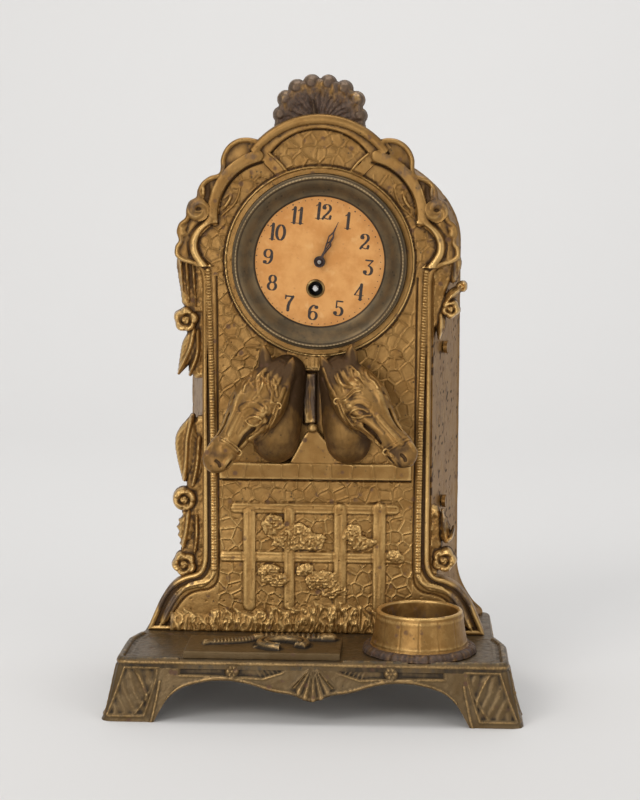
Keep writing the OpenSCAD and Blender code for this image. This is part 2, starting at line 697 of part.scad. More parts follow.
module side_screws() {
    color(dark_gilt) for (s = [-1, 1]) for (z = side_screw_z)
        translate([s * side_screw_x, side_screw_y, z]) rotate([0, 0, s * -splay])
            rotate([0, s * -90, 0]) translate([0, 0, -2 - side_head_at])
                bolt(side_screw_r, side_head_r, 2, case_wall + 4);
}
module can_screws() {
    front = case_front_y - flange_t;
    color(steel) for (a = can_screw_angles) {
        p = polar(can_screw_pcd_r, a);
        translate([p.x, front - 1.1, dial_z + p.y]) rotate([-90, 0, 0])
            bolt(can_screw_r, 1.9, 1.1, flange_t + case_wall + 2);
    }
}

// Bezel: rolled rim, beaded ring and a wide band that slopes back to the dial.
dial_front_y = case_front_y - flange_t - 0.3;
bezel_front_y = case_front_y - bezel_proud;
module bezel() {
    color([0.42, 0.35, 0.22]) translate([0, 0, dial_z]) rotate([90, 0, 0]) {
        rotate_extrude($fn = 96) polygon([
            [bezel_r, -case_front_y], [bezel_r, -bezel_front_y - 1.6],
            [bezel_r - 0.7, -bezel_front_y - 0.4], [bezel_r - 1.6, -bezel_front_y],
            [bezel_r - 2.4, -bezel_front_y - 0.5], [bezel_r - 2.7, -bezel_front_y + 0.1],
            [bezel_r - 3.2, -bezel_front_y + 0.3], [bezel_r - 3.7, -bezel_front_y - 0.1],
            [bezel_r - 3.9, -bezel_front_y - 0.9], [bezel_r - 4.8, -bezel_front_y - 1.5],
            [dial_open_r + 3.5, -dial_front_y + 2.4], [dial_open_r, -dial_front_y + 0.3],
            [dial_open_r, -dial_front_y], [dial_open_r + 3.2, -dial_front_y],
            [bezel_r - 5, -bezel_front_y - 2.6], [bezel_r - 1.2, -bezel_front_y - 1.6],
            [bezel_r - 1.2, -case_front_y]]);
    }
}

// Dial on its pan.
dial_t = 0.25;
pan_r = can_r - sheet_t - 0.1;
wind_at = [-2, -13.4];
grommet_r = 4.7;
module dial_holes(extra) {
    rod(0, dial_z, -10, 20, 2.9 + extra);
    rod(wind_at.x, dial_z + wind_at.y, -10, 20, grommet_r - 1 + extra);
}
module dial_paper() {
    color([0.85, 0.66, 0.42]) difference() {
        rod(0, dial_z, dial_front_y, dial_front_y + dial_t, pan_r);
        dial_holes(0);
    }
}
module dial_pan() {
    y0 = dial_front_y + dial_t;
    color(tin) difference() {
        union() {
            rod(0, dial_z, y0, y0 + sheet_t, pan_r);
            tube(0, dial_z, y0, y0 + 4, pan_r, pan_r - sheet_t);
        }
        dial_holes(0);
    }
}
module winding_grommet() {
    y0 = dial_front_y;
    color(brass) translate([wind_at.x, 0, dial_z + wind_at.y]) rotate([90, 0, 0])
        rotate_extrude() polygon([[3.3, -y0 - dial_t - sheet_t - 0.6],
            [grommet_r - 1 - seat_gap, -y0 - dial_t - sheet_t - 0.6],
            [grommet_r - 1 - seat_gap, -y0], [grommet_r, -y0], [grommet_r - 0.3, -y0 + 0.6],
            [grommet_r - 1, -y0 + 0.9], [3.6, -y0 + 0.6], [3.3, -y0]]);
}

// Drum that holds the movement: a drawn cup with a front flange.
can_front_y = case_front_y - flange_t;
can_back_y = can_front_y + can_depth;
module movement_can() {
    color(tin) difference() {
        union() {
            tube(0, dial_z, can_front_y, can_back_y, can_r, can_r - sheet_t);
            tube(0, dial_z, can_front_y, case_front_y, can_flange_r, can_r - sheet_t);
            rod(0, dial_z, can_back_y - sheet_t, can_back_y, can_r - 0.2);
        }
        for (a = can_screw_angles) {
            p = polar(can_screw_pcd_r, a);
            rod(p.x, dial_z + p.y, can_front_y - 1, case_front_y + 1, can_screw_r + bolt_clear);
        }
        rod(0, dial_z, can_back_y - 3, can_back_y + 3, centre_arbor_r + 1);
        for (p = pillar_at) rod(p.x, dial_z + p.y, can_back_y - 3, can_back_y + 3,
            spacer_bore_r + bolt_clear);
    }
}

// Movement. Depths are counted back from the case's front face.
front_plate_y = case_front_y + 5.5;
gap_front = front_plate_y + plate_t;
gap_back = gap_front + plate_gap;
back_plate_back = gap_back + plate_t;
pillar_at = [[-26, 4], [22, 19], [5, -29]];
pillar_r = 1.6;
pillar_end_r = 1;
spacer_bore_r = 0.8;

// Train layout: arbor centres worked out from tooth counts and modules.
great_n = 48;
centre_pinion_n = 8;
centre_n = 64;
third_pinion_n = 8;
third_n = 60;
fourth_pinion_n = 8;
fourth_n = 70;
escape_pinion_n = 7;
escape_n = 15;
centre_mod = 0.35;
third_mod = 0.32;
fourth_mod = 0.27;
great_mod = norm(wind_at) * 2 / (great_n + centre_pinion_n);
third_dir = 100;
fourth_dir = -8;
escape_dir = -50;
balance_dir = -75;
third_at = polar((centre_n + third_pinion_n) * centre_mod / 2, third_dir);
fourth_at = third_at + polar((third_n + fourth_pinion_n) * third_mod / 2, fourth_dir);
escape_at = fourth_at + polar((fourth_n + escape_pinion_n) * fourth_mod / 2, escape_dir);
lever_at = escape_at + polar(7.8, balance_dir);
balance_at = escape_at + polar(17.5, balance_dir);
// Motion work: cannon pinion 12 into minute wheel 36, its pinion 10 into hour wheel 40.
cannon_n = 12;
minute_n = 36;
minute_pinion_n = 10;
hour_n = 40;
motion_mod = 0.35;
minute_at = polar((cannon_n + minute_n) * motion_mod / 2, 45);
hour_mod = norm(minute_at) * 2 / (minute_pinion_n + hour_n);
all_arbors = [third_at, fourth_at, escape_at, lever_at, balance_at];

// A toothed disc. Tooth 0 points along dir; pinion leaves are thinner than wheel teeth.
module toothed(n, mod, dir, leaf = false) {
    pitch = 360 / n;
    r_tip = mod * (n / 2 + (leaf ? 0.8 : 0.9));
    r_root = mod * (n / 2 - (leaf ? 1.2 : 1.15));
    half_root = pitch * (leaf ? 0.2 : 0.27);
    half_tip = pitch * (leaf ? 0.07 : 0.08);
    polygon([for (i = [0:n - 1]) let (a = dir + i * pitch) each [polar(r_root, a - half_root),
        polar(r_tip, a - half_tip), polar(r_tip, a + half_tip), polar(r_root, a + half_root)]]);
}
// Wheel with its spokes crossed out.
module wheel(at, n, mod, dir, y0, t, hub_r, spokes, bore = 0) {
    inner = mod * (n / 2 - 1.15) - 1.1;
    difference() {
        translate([at.x, y0 + t, dial_z + at.y]) rotate([90, 0, 0]) linear_extrude(t)
            difference() {
                toothed(n, mod, dir);
                for (i = [0:spokes - 1]) crossing(inner, hub_r, spokes, i);
            }
        if (bore > 0) rod(at.x, dial_z + at.y, y0 - 1, y0 + t + 1, bore);
    }
}
module crossing(outer, hub_r, spokes, i) {
    a0 = 360 * i / spokes;
    a1 = 360 * (i + 1) / spokes;
    w = 0.55;
    d0 = asin(w / outer);
    d1 = asin(w / hub_r);
    polygon(concat([for (k = [0:4]) polar(outer, a0 + d0 + (a1 - a0 - 2 * d0) * k / 4)],
        [for (k = [4:-1:0]) polar(hub_r, a0 + d1 + (a1 - a0 - 2 * d1) * k / 4)]));
}
module pinion(at, n, mod, dir, y0, t) {
    translate([at.x, y0 + t, dial_z + at.y]) rotate([90, 0, 0]) linear_extrude(t)
        toothed(n, mod, dir, true);
}
// Arbor between the plates, with a pivot through each.
module arbor(at, r) {
    pivot = r * 0.7;
    rod(at.x, dial_z + at.y, gap_front + end_gap, gap_back - end_gap, r);
    rod(at.x, dial_z + at.y, front_plate_y - 0.3, back_plate_back + 0.3, pivot);
}
function facing(from, to) = atan2(to.y - from.y, to.x - from.x);
function into(from, to, n) = facing(to, from) + 180 / n;

module plate(y0) {
    difference() {
        rod(0, dial_z, y0, y0 + plate_t, plate_r);
        rod(0, dial_z, y0 - 1, y0 + plate_t + 1, centre_arbor_r + run_gap);
        rod(wind_at.x, dial_z + wind_at.y, y0 - 1, y0 + plate_t + 1, wind_arbor_r + run_gap);
        for (p = all_arbors) rod(p.x, dial_z + p.y, y0 - 1, y0 + plate_t + 1,
            arbor_r * 0.7 + run_gap);
        for (p = pillar_at) rod(p.x, dial_z + p.y, y0 - 1, y0 + plate_t + 1,
            pillar_end_r + seat_gap);
    }
}
stud_r = 0.7;
module front_plate() {
    color(brass) {
        plate(front_plate_y);
        // Post that the minute wheel turns on.
        rod(minute_at.x, dial_z + minute_at.y, hour_wheel_y - 0.2, front_plate_y + 0.5, stud_r);
    }
}
module back_plate() {
    color(brass) plate(gap_back);
}
module pillars() {
    color(steel) for (p = pillar_at) {
        rod(p.x, dial_z + p.y, gap_front, gap_back, pillar_r);
        rod(p.x, dial_z + p.y, front_plate_y - 0.4, gap_front, pillar_end_r);
        rod(p.x, dial_z + p.y, gap_back, back_plate_back + 2, pillar_end_r);
    }
}
// Six-sided spacers screw onto the pillars' tails and reach the drum's back.
module pillar_spacers() {
    y1 = can_back_y - sheet_t;
    color(brass) for (p = pillar_at) difference() {
        translate([p.x, y1, dial_z + p.y]) rotate([90, 0, 0])
            cylinder(h = y1 - back_plate_back, r = 2.2, $fn = 6);
        rod(p.x, dial_z + p.y, back_plate_back - 1, back_plate_back + 3, pillar_end_r + seat_gap);
        rod(p.x, dial_z + p.y, y1 - 5, y1 + 1, spacer_bore_r + seat_gap);
    }
}
module movement_screws() {
    color(steel) for (p = pillar_at) translate([p.x, can_back_y + 1.2, dial_z + p.y])
        rotate([90, 0, 0]) bolt(spacer_bore_r, 1.8, 1.2, sheet_t + 3.6);
}

// Power: mainspring, winding arbor with ratchet, great wheel with click.
great_y = gap_front + 1.2;
great_t = 1.2;
ratchet_y = great_y + great_t + 0.4;
ratchet_t = 1.2;
ratchet_r = 4.8;
ratchet_n = 20;
spring_y = ratchet_y + ratchet_t + 1.2;
spring_w = 9;
spring_r = 11.2;
module winding_arbor() {
    x = wind_at.x;
    z = dial_z + wind_at.y;
    color(steel) {
        rod(x, z, case_front_y + 1.6, gap_back + plate_t + 0.3, wind_arbor_r);
        // Square that the key fits, and the collar that the spring hooks on.
        translate([x, case_front_y + 1.6, z]) rotate([90, 0, 0])
            cylinder(h = 3.2, r = wind_arbor_r, $fn = 4);
        rod(x, z, spring_y - 0.4, spring_y + spring_w + 0.4, 2.8);
    }
}
module ratchet_wheel() {
    x = wind_at.x;
    z = dial_z + wind_at.y;
    pitch = 360 / ratchet_n;
    color(steel) difference() {
        translate([x, ratchet_y + ratchet_t, z]) rotate([90, 0, 0]) linear_extrude(ratchet_t)
            polygon([for (i = [0:ratchet_n - 1]) each [polar(ratchet_r - 0.8, (i + 0.1) * pitch),
                polar(ratchet_r, (i + 1) * pitch - 1), polar(ratchet_r - 0.8, (i + 1) * pitch)]]);
        rod(x, z, ratchet_y - 1, ratchet_y + ratchet_t + 1, wind_arbor_r);
    }
}
click_stud_r = 0.8;
click_dir = 200;
click_at = wind_at + polar(8.2, click_dir);
click_nose_r = 0.35;
click_nose = wind_at + polar(ratchet_r + click_nose_r + 0.1, click_dir - 35) - click_at;
module great_wheel() {
    color(brass) {
        wheel(wind_at, great_n, great_mod, facing(wind_at, [0, 0]), great_y, great_t, 6.4, 5,
            wind_arbor_r + run_gap);
        // Boss on the rim that carries the click's stud.
        rod(click_at.x, dial_z + click_at.y, great_y, great_y + great_t, 2);
        rod(click_at.x, dial_z + click_at.y, great_y, ratchet_y + ratchet_t + 0.4, click_stud_r);
    }
}
click_y = great_y + great_t + 0.4;
module click() {
    color(steel) translate([click_at.x, click_y + 1, dial_z + click_at.y]) rotate([90, 0, 0])
        linear_extrude(1) difference() {
            hull() {
                circle(r = 1.7);
                // The nose stands a hair outside the ratchet's points.
                translate(click_nose) circle(r = click_nose_r, $fn = 24);
            }
            circle(r = click_stud_r + run_gap);
        }
}
module click_spring() {
    // Runs in from its post on the wheel's rim to just outside the click's back.
    post_r = 10.5;
    tip_r = 8;
    post_dir = click_dir - 82;
    sweep = 60;
    n = 12;
    function along(k) = post_r + (tip_r - post_r) * k / n;
    color(steel) {
        translate([wind_at.x, click_y + 0.8, dial_z + wind_at.y]) rotate([90, 0, 0])
            linear_extrude(0.8) union() {
                polygon(concat([for (k = [0:n]) polar(along(k), post_dir + sweep * k / n)],
                    [for (k = [n:-1:0]) polar(along(k) - 0.3, post_dir + sweep * k / n)]));
                translate(polar(post_r, post_dir)) circle(r = 0.7);
            }
        p = wind_at + polar(post_r, post_dir);
        rod(p.x, dial_z + p.y, great_y + great_t, click_y, 0.5);
    }
}
// A flat spring wound as one strip, from an inner radius to an outer one.
module spiral(r0, r1, turns, t, steps) {
    n = turns * steps;
    function at(i, side) = polar(r0 + (r1 - r0) * i / n + side * t / 2, 360 * i / steps);
    polygon(concat([for (i = [0:n]) at(i, 1)], [for (i = [n:-1:0]) at(i, -1)]));
}
spring_turns = 9;
spring_t = 0.35;
module mainspring() {
    color(steel) translate([wind_at.x, spring_y + spring_w, dial_z + wind_at.y])
        rotate([90, 0, 0]) linear_extrude(spring_w)
            spiral(2.8 + spring_t / 2, spring_r, spring_turns, spring_t, 24);
}

// Going train.
centre_wheel_y = gap_back - 5.2;
centre_hub_r = 1.35;
module centre_wheel() {
    color(brass) difference() {
        union() {
            wheel([0, 0], centre_n, centre_mod, facing([0, 0], third_at), centre_wheel_y, 1, 3, 5);
            rod(0, dial_z, gap_front + end_gap, centre_wheel_y + 1.6, centre_hub_r);
            pinion([0, 0], centre_pinion_n, great_mod, into(wind_at, [0, 0], centre_pinion_n),
                great_y - 0.5, great_t + 1);
        }
        rod(0, dial_z, 0, 60, centre_arbor_r + run_gap);
    }
}
module tension_washer() {
    color(steel) difference() {
        rod(0, dial_z, centre_wheel_y + 1.7, centre_wheel_y + 2.1, 2.4);
        rod(0, dial_z, 0, 60, centre_arbor_r);
    }
}
knob_y = can_back_y + 1.5;
knob_l = base_half_d - 1.5 - knob_y;
module centre_arbor() {
    color(steel) {
        rod(0, dial_z, arbor_tip_y, knob_y + knob_l - 1, centre_arbor_r);
        // Shoulder that the friction washer rests on.
        rod(0, dial_z, centre_wheel_y + 2.1, centre_wheel_y + 2.9, 1.6);
    }
}
third_wheel_y = gap_front + 10;
module third_wheel() {
    color(brass) {
        wheel(third_at, third_n, third_mod, facing(third_at, fourth_at), third_wheel_y, 0.9, 2, 4);
        pinion(third_at, third_pinion_n, centre_mod, into([0, 0], third_at, third_pinion_n),
            centre_wheel_y - 0.4, 1.8);
        arbor(third_at, arbor_r);
    }
}
fourth_wheel_y = gap_back - 2.3;
module fourth_wheel() {
    color(brass) {
        wheel(fourth_at, fourth_n, fourth_mod, facing(fourth_at, escape_at), fourth_wheel_y,
            0.8, 1.8, 4);
        pinion(fourth_at, fourth_pinion_n, third_mod, into(third_at, fourth_at, fourth_pinion_n),
            third_wheel_y - 0.4, 1.7);
        arbor(fourth_at, arbor_r);
    }
}
escape_y = gap_front + 6;
escape_r = 6;
module escape_wheel() {
    pitch = 360 / escape_n;
    color(brass) {
        translate([escape_at.x, escape_y + 0.7, dial_z + escape_at.y]) rotate([90, 0, 0])
            linear_extrude(0.7) difference() {
                union() {
                    circle(r = escape_r - 1.7);
                    for (i = [0:escape_n - 1]) rotate(i * pitch) polygon([
                        [escape_r - 2.2, -0.8], [escape_r - 2.2, 0.5], [escape_r, 0.95],
                        [escape_r - 0.1, 0.6]]);
                }
                for (i = [0:3]) crossing(escape_r - 2.7, 1.4, 4, i);
            }
        pinion(escape_at, escape_pinion_n, fourth_mod,
            into(fourth_at, escape_at, escape_pinion_n), fourth_wheel_y - 0.4, 1.6);
        arbor(escape_at, arbor_r);
    }
}
// Pallet lever: two arms that straddle the escape wheel and a forked tail.
pallet_clear = 0.45;
tail_gap = 1.2;
tail_l = 4.5;
roller_r = 2;
module pallet_lever() {
    color(steel) {
        translate([lever_at.x, escape_y + 0.8, dial_z + lever_at.y]) rotate([90, 0, 0])
            linear_extrude(0.8) rotate(balance_dir) difference() {
                union() {
                    circle(r = 1.2);
                    for (s = [-1, 1]) {
                        tip = [-7.8 + (escape_r + pallet_clear) * cos(30),
                            s * (escape_r + pallet_clear) * sin(30)];
                        hull() {
                            circle(r = 0.7, $fn = 24);
                            translate([0.4, s * 3.6]) circle(r = 0.5, $fn = 24);
                        }
                        hull() {
                            translate([0.4, s * 3.6]) circle(r = 0.5, $fn = 24);
                            translate(tip + [0.5, s * 0.25]) circle(r = 0.4, $fn = 24);
                        }
                    }
                    translate([0, -0.45]) square([6.2, 0.9]);
                    translate([5.8, -1.2]) square([1.2, 2.4]);
                }
                translate([6.3, -0.5]) square([2, 1]);
            }
        // Counterpoise behind the escape wheel, which balances the fork.
        rod(lever_at.x, dial_z + lever_at.y, escape_y, escape_y + tail_gap + 0.8, 1.2);
        translate([lever_at.x, escape_y + tail_gap + 0.8, dial_z + lever_at.y])
            rotate([90, 0, 0]) linear_extrude(0.8) rotate(balance_dir) union() {
                translate([-tail_l, -0.7]) square([tail_l, 1.4]);
                translate([-tail_l, 0]) circle(r = 1.15);
            }
        arbor(lever_at, arbor_r);
    }
}
balance_r = 8.6;
balance_y = gap_front + 13.6;
module balance_wheel() {
    rim = 0.9;
    color(brass) {
        tube(balance_at.x, dial_z + balance_at.y, balance_y, balance_y + 1.1, balance_r,
            balance_r - rim);
        translate([balance_at.x, balance_y + 0.9, dial_z + balance_at.y]) rotate([90, 0, 0])
            linear_extrude(0.7) union() {
                square([2 * balance_r - rim, 1.2], center = true);
                circle(r = 1.5);
            }
        rod(balance_at.x, dial_z + balance_at.y, escape_y + 1.4, escape_y + 2.1, roller_r + 0.6);
        arbor(balance_at, arbor_r);
        p = balance_at + polar(roller_r, balance_dir + 180);
        rod(p.x, dial_z + p.y, escape_y, escape_y + 1.4, 0.28);
    }
}
hairspring_y = balance_y + 2.6;
hairspring_r = 5.2;
module hairspring() {
    color(blued) {
        translate([balance_at.x, hairspring_y + 0.5, dial_z + balance_at.y]) rotate([90, 0, 0])
            linear_extrude(0.5) spiral(1.2, hairspring_r, 6, 0.14, 24);
        tube(balance_at.x, dial_z + balance_at.y, hairspring_y - 0.1, hairspring_y + 0.6, 1.25,
            arbor_r);
    }
}
module hairspring_stud() {
    x = balance_at.x + hairspring_r + 0.9;
    z = dial_z + balance_at.y;
    color(steel) rod(x, z, hairspring_y - 0.4, gap_back, 0.6);
}

// Motion work and hands.
hour_wheel_y = case_front_y + 0.9;
hour_t = 0.8;
minute_wheel_y = hour_wheel_y + hour_t + 0.5;
cannon_r = 1.45;
pipe_gap = 0.06;
hour_pipe_r = 2.15;
hour_hand_y = dial_front_y - 1.5;
minute_hand_y = hour_hand_y - 1.3;
arbor_tip_y = minute_hand_y - 1.9;
module cannon_pinion() {
    color(steel) difference() {
        union() {
            rod(0, dial_z, minute_hand_y - 0.3, minute_wheel_y + 2, cannon_r);
            pinion([0, 0], cannon_n, motion_mod, into(minute_at, [0, 0], cannon_n),
                minute_wheel_y - 0.2, 1.6);
        }
        rod(0, dial_z, -20, 30, centre_arbor_r);
    }
}
module minute_wheel() {
    color(brass) difference() {
        union() {
            wheel(minute_at, minute_n, motion_mod, facing(minute_at, [0, 0]), minute_wheel_y,
                hour_t, 2.4, 4);
            pinion(minute_at, minute_pinion_n, hour_mod,
                into([0, 0], minute_at, minute_pinion_n), hour_wheel_y - 0.1, hour_t + 0.7);
        }
        rod(minute_at.x, dial_z + minute_at.y, -20, 30, stud_r + run_gap);
    }
}
module hour_wheel() {
    color(brass) difference() {
        union() {
            wheel([0, 0], hour_n, hour_mod, facing([0, 0], minute_at), hour_wheel_y, hour_t,
                3, 4);
            rod(0, dial_z, hour_hand_y - 0.2, hour_wheel_y + hour_t, hour_pipe_r);
        }
        rod(0, dial_z, -20, 30, cannon_r + pipe_gap);
    }
}
hand_t = 0.35;
hand_dir = 90 - 25.4;
// Slim open blade that swells to a lozenge, then a spike.
module hand_blade(l, w) {
    difference() {
        polygon([[0, -0.8], [l * 0.28, -w * 0.3], [l * 0.62, -w], [l * 0.74, -w * 0.3],
            [l, -0.12], [l, 0.12], [l * 0.74, w * 0.3], [l * 0.62, w], [l * 0.28, w * 0.3],
            [0, 0.8]]);
        polygon([[l * 0.34, 0], [l * 0.61, -w * 0.55], [l * 0.69, 0], [l * 0.61, w * 0.55]]);
    }
}
module hand(y0, dir, l, w, hub_r, bore) {
    difference() {
        union() {
            translate([0, y0 + hand_t, dial_z]) rotate([90, 0, 0]) linear_extrude(hand_t)
                rotate(dir) hand_blade(l, w);
            rod(0, dial_z, y0 - 0.2, y0 + hand_t, hub_r);
        }
        rod(0, dial_z, y0 - 2, y0 + 2, bore);
    }
}
module hour_hand() {
    color(blued) hand(hour_hand_y, hand_dir - 2.5, hour_l, 1.5, hour_pipe_r + 0.6, hour_pipe_r);
}
module minute_hand() {
    color(blued) hand(minute_hand_y, hand_dir, minute_l, 1.5, 2.7, cannon_r);
}
module hand_nut() {
    front = minute_hand_y - 0.4;
    color(brass) translate([0, 0, dial_z]) rotate([90, 0, 0]) rotate_extrude() polygon([
        [centre_arbor_r, -front], [1.9, -front], [1.9, -front + 0.5], [1.3, -front + 1.1],
        [centre_arbor_r, -front + 1.2]]);
}
module set_knob() {
    r = 6;
    flutes = 20;
    color(brass) difference() {
        union() {
            rod(0, dial_z, knob_y + 1, knob_y + knob_l, r);
            rod(0, dial_z, knob_y, knob_y + 2, 2.6);
        }
        for (i = [0:flutes - 1]) {
            p = polar(r + 0.25, 360 * i / flutes);
            rod(p.x, dial_z + p.y, knob_y, knob_y + knob_l + 1, 0.6);
        }
        rod(0, dial_z, knob_y - 1, knob_y + knob_l - 1, centre_arbor_r);
    }
}

base_casting();
front_casting();
back_panel();
stable_ledge();
horse_head_left();
horse_head_right();
plaque();
feed_tub();
case_bolts();
head_screws();
plaque_screws();
tub_screw();
side_screws();
bezel();
dial_paper();
dial_pan();
winding_grommet();
movement_can();
can_screws();
front_plate();
back_plate();
pillars();
pillar_spacers();
movement_screws();
mainspring();
winding_arbor();
ratchet_wheel();
great_wheel();
click();
click_spring();
centre_wheel();
tension_washer();
centre_arbor();
cannon_pinion();
third_wheel();
fourth_wheel();
escape_wheel();
pallet_lever();
balance_wheel();
hairspring();
hairspring_stud();
minute_wheel();
hour_wheel();
hour_hand();
minute_hand();
hand_nut();
set_knob();
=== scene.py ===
"""Looks of the stable-door desk clock: sculpted castings, dial, finishes and studio.

Lengths are millimetres until a mesh is written, which is in metres. X runs to the
viewer's right, the front faces -Y and Z is up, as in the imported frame.
"""
import json
import logging
import math
from collections.abc import Callable, Sequence
from dataclasses import dataclass, field
from enum import Enum

import bpy
import numpy as np
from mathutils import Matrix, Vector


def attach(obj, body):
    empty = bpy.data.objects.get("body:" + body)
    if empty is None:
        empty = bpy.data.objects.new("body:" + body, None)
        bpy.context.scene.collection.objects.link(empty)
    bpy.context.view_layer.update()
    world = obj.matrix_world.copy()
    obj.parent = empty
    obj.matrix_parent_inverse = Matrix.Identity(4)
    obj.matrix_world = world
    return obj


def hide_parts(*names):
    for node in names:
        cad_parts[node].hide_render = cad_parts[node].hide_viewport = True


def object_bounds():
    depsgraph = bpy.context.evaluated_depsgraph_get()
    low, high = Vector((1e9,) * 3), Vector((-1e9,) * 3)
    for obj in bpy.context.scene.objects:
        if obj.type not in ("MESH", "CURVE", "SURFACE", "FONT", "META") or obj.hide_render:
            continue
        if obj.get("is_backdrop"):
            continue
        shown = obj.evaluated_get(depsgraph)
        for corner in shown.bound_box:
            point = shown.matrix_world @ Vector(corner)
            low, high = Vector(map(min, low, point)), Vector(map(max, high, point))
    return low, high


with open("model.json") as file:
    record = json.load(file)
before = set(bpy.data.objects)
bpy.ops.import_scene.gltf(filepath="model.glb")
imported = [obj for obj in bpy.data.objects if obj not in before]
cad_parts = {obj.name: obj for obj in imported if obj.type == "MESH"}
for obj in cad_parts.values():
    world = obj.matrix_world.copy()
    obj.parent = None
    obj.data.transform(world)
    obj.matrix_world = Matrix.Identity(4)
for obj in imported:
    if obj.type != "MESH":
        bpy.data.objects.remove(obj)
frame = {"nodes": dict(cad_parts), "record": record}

import openvdb as vdb
from mathutils import Matrix, Vector
from mathutils.geometry import tessellate_polygon

log = logging.getLogger("desk_clock")
CAD_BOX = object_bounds()
MM = 0.001
FULL_TURN = 2 * math.pi
BELOW = -99.0  # a height below any surface
FAR = 1e9  # a distance beyond any surface
RADIAN = 57.3  # degrees in it, near enough
PHOTO_HEIGHT = 800  # pixels
BASE_TOP = 30.0  # height of the base
FACE_Y = 4.0  # plane of the case's front
SEAT_Y = 4.3  # how far back heads and ledge reach into it
TUB_PLACE = (51.6, -27.7)
Array = np.ndarray
Field = Callable[[Array], Array]
Line = Sequence[Sequence[float]]
Material = bpy.types.Material
Colour = tuple[float, float, float]
Point = tuple[float, float, float]


# --------------------------------------------------------------------------- shading

class Value:
    """A float socket that takes part in arithmetic by adding Math nodes."""

    def __init__(self, recipe: "Recipe", socket: bpy.types.NodeSocket) -> None:
        """Wraps one output socket of a recipe's tree."""
        self.recipe = recipe
        self.socket = socket

    def _math(self, operation: str, first: object, second: object = 0.0) -> "Value":
        """Adds one Math node.

        Args:
            operation: the node's operation, such as "ADD".
            first: a number or a Value for the first socket.
            second: a number or a Value for the second socket.

        Returns:
            The node's result.
        """
        made = self.recipe.node("ShaderNodeMath", {"operation": operation}, {0: first, 1: second})
        return Value(self.recipe, made.outputs[0])

    def __add__(self, other: object) -> "Value":
        """Sum."""
        return self._math("ADD", self, other)

    def __radd__(self, other: object) -> "Value":
        """Reflected sum."""
        return self._math("ADD", other, self)

    def __sub__(self, other: object) -> "Value":
        """Difference."""
        return self._math("SUBTRACT", self, other)

    def __rsub__(self, other: object) -> "Value":
        """Reflected difference."""
        return self._math("SUBTRACT", other, self)

    def __mul__(self, other: object) -> "Value":
        """Product."""
        return self._math("MULTIPLY", self, other)

    def __rmul__(self, other: object) -> "Value":
        """Reflected product."""
        return self._math("MULTIPLY", other, self)

    def least(self, other: object) -> "Value":
        """The smaller of this and another."""
        return self._math("MINIMUM", self, other)

    def step(self, low: float, high: float) -> "Value":
        """A smooth step from 0 at low to 1 at high.

        Args:
            low: where the step leaves 0; it may be above high for a falling step.
            high: where the step reaches 1.

        Returns:
            The stepped value.
        """
        made = self.recipe.node("ShaderNodeMapRange", {"interpolation_type": "SMOOTHSTEP"},
                                {"Value": self, "From Min": low, "From Max": high})
        return Value(self.recipe, made.outputs[0])


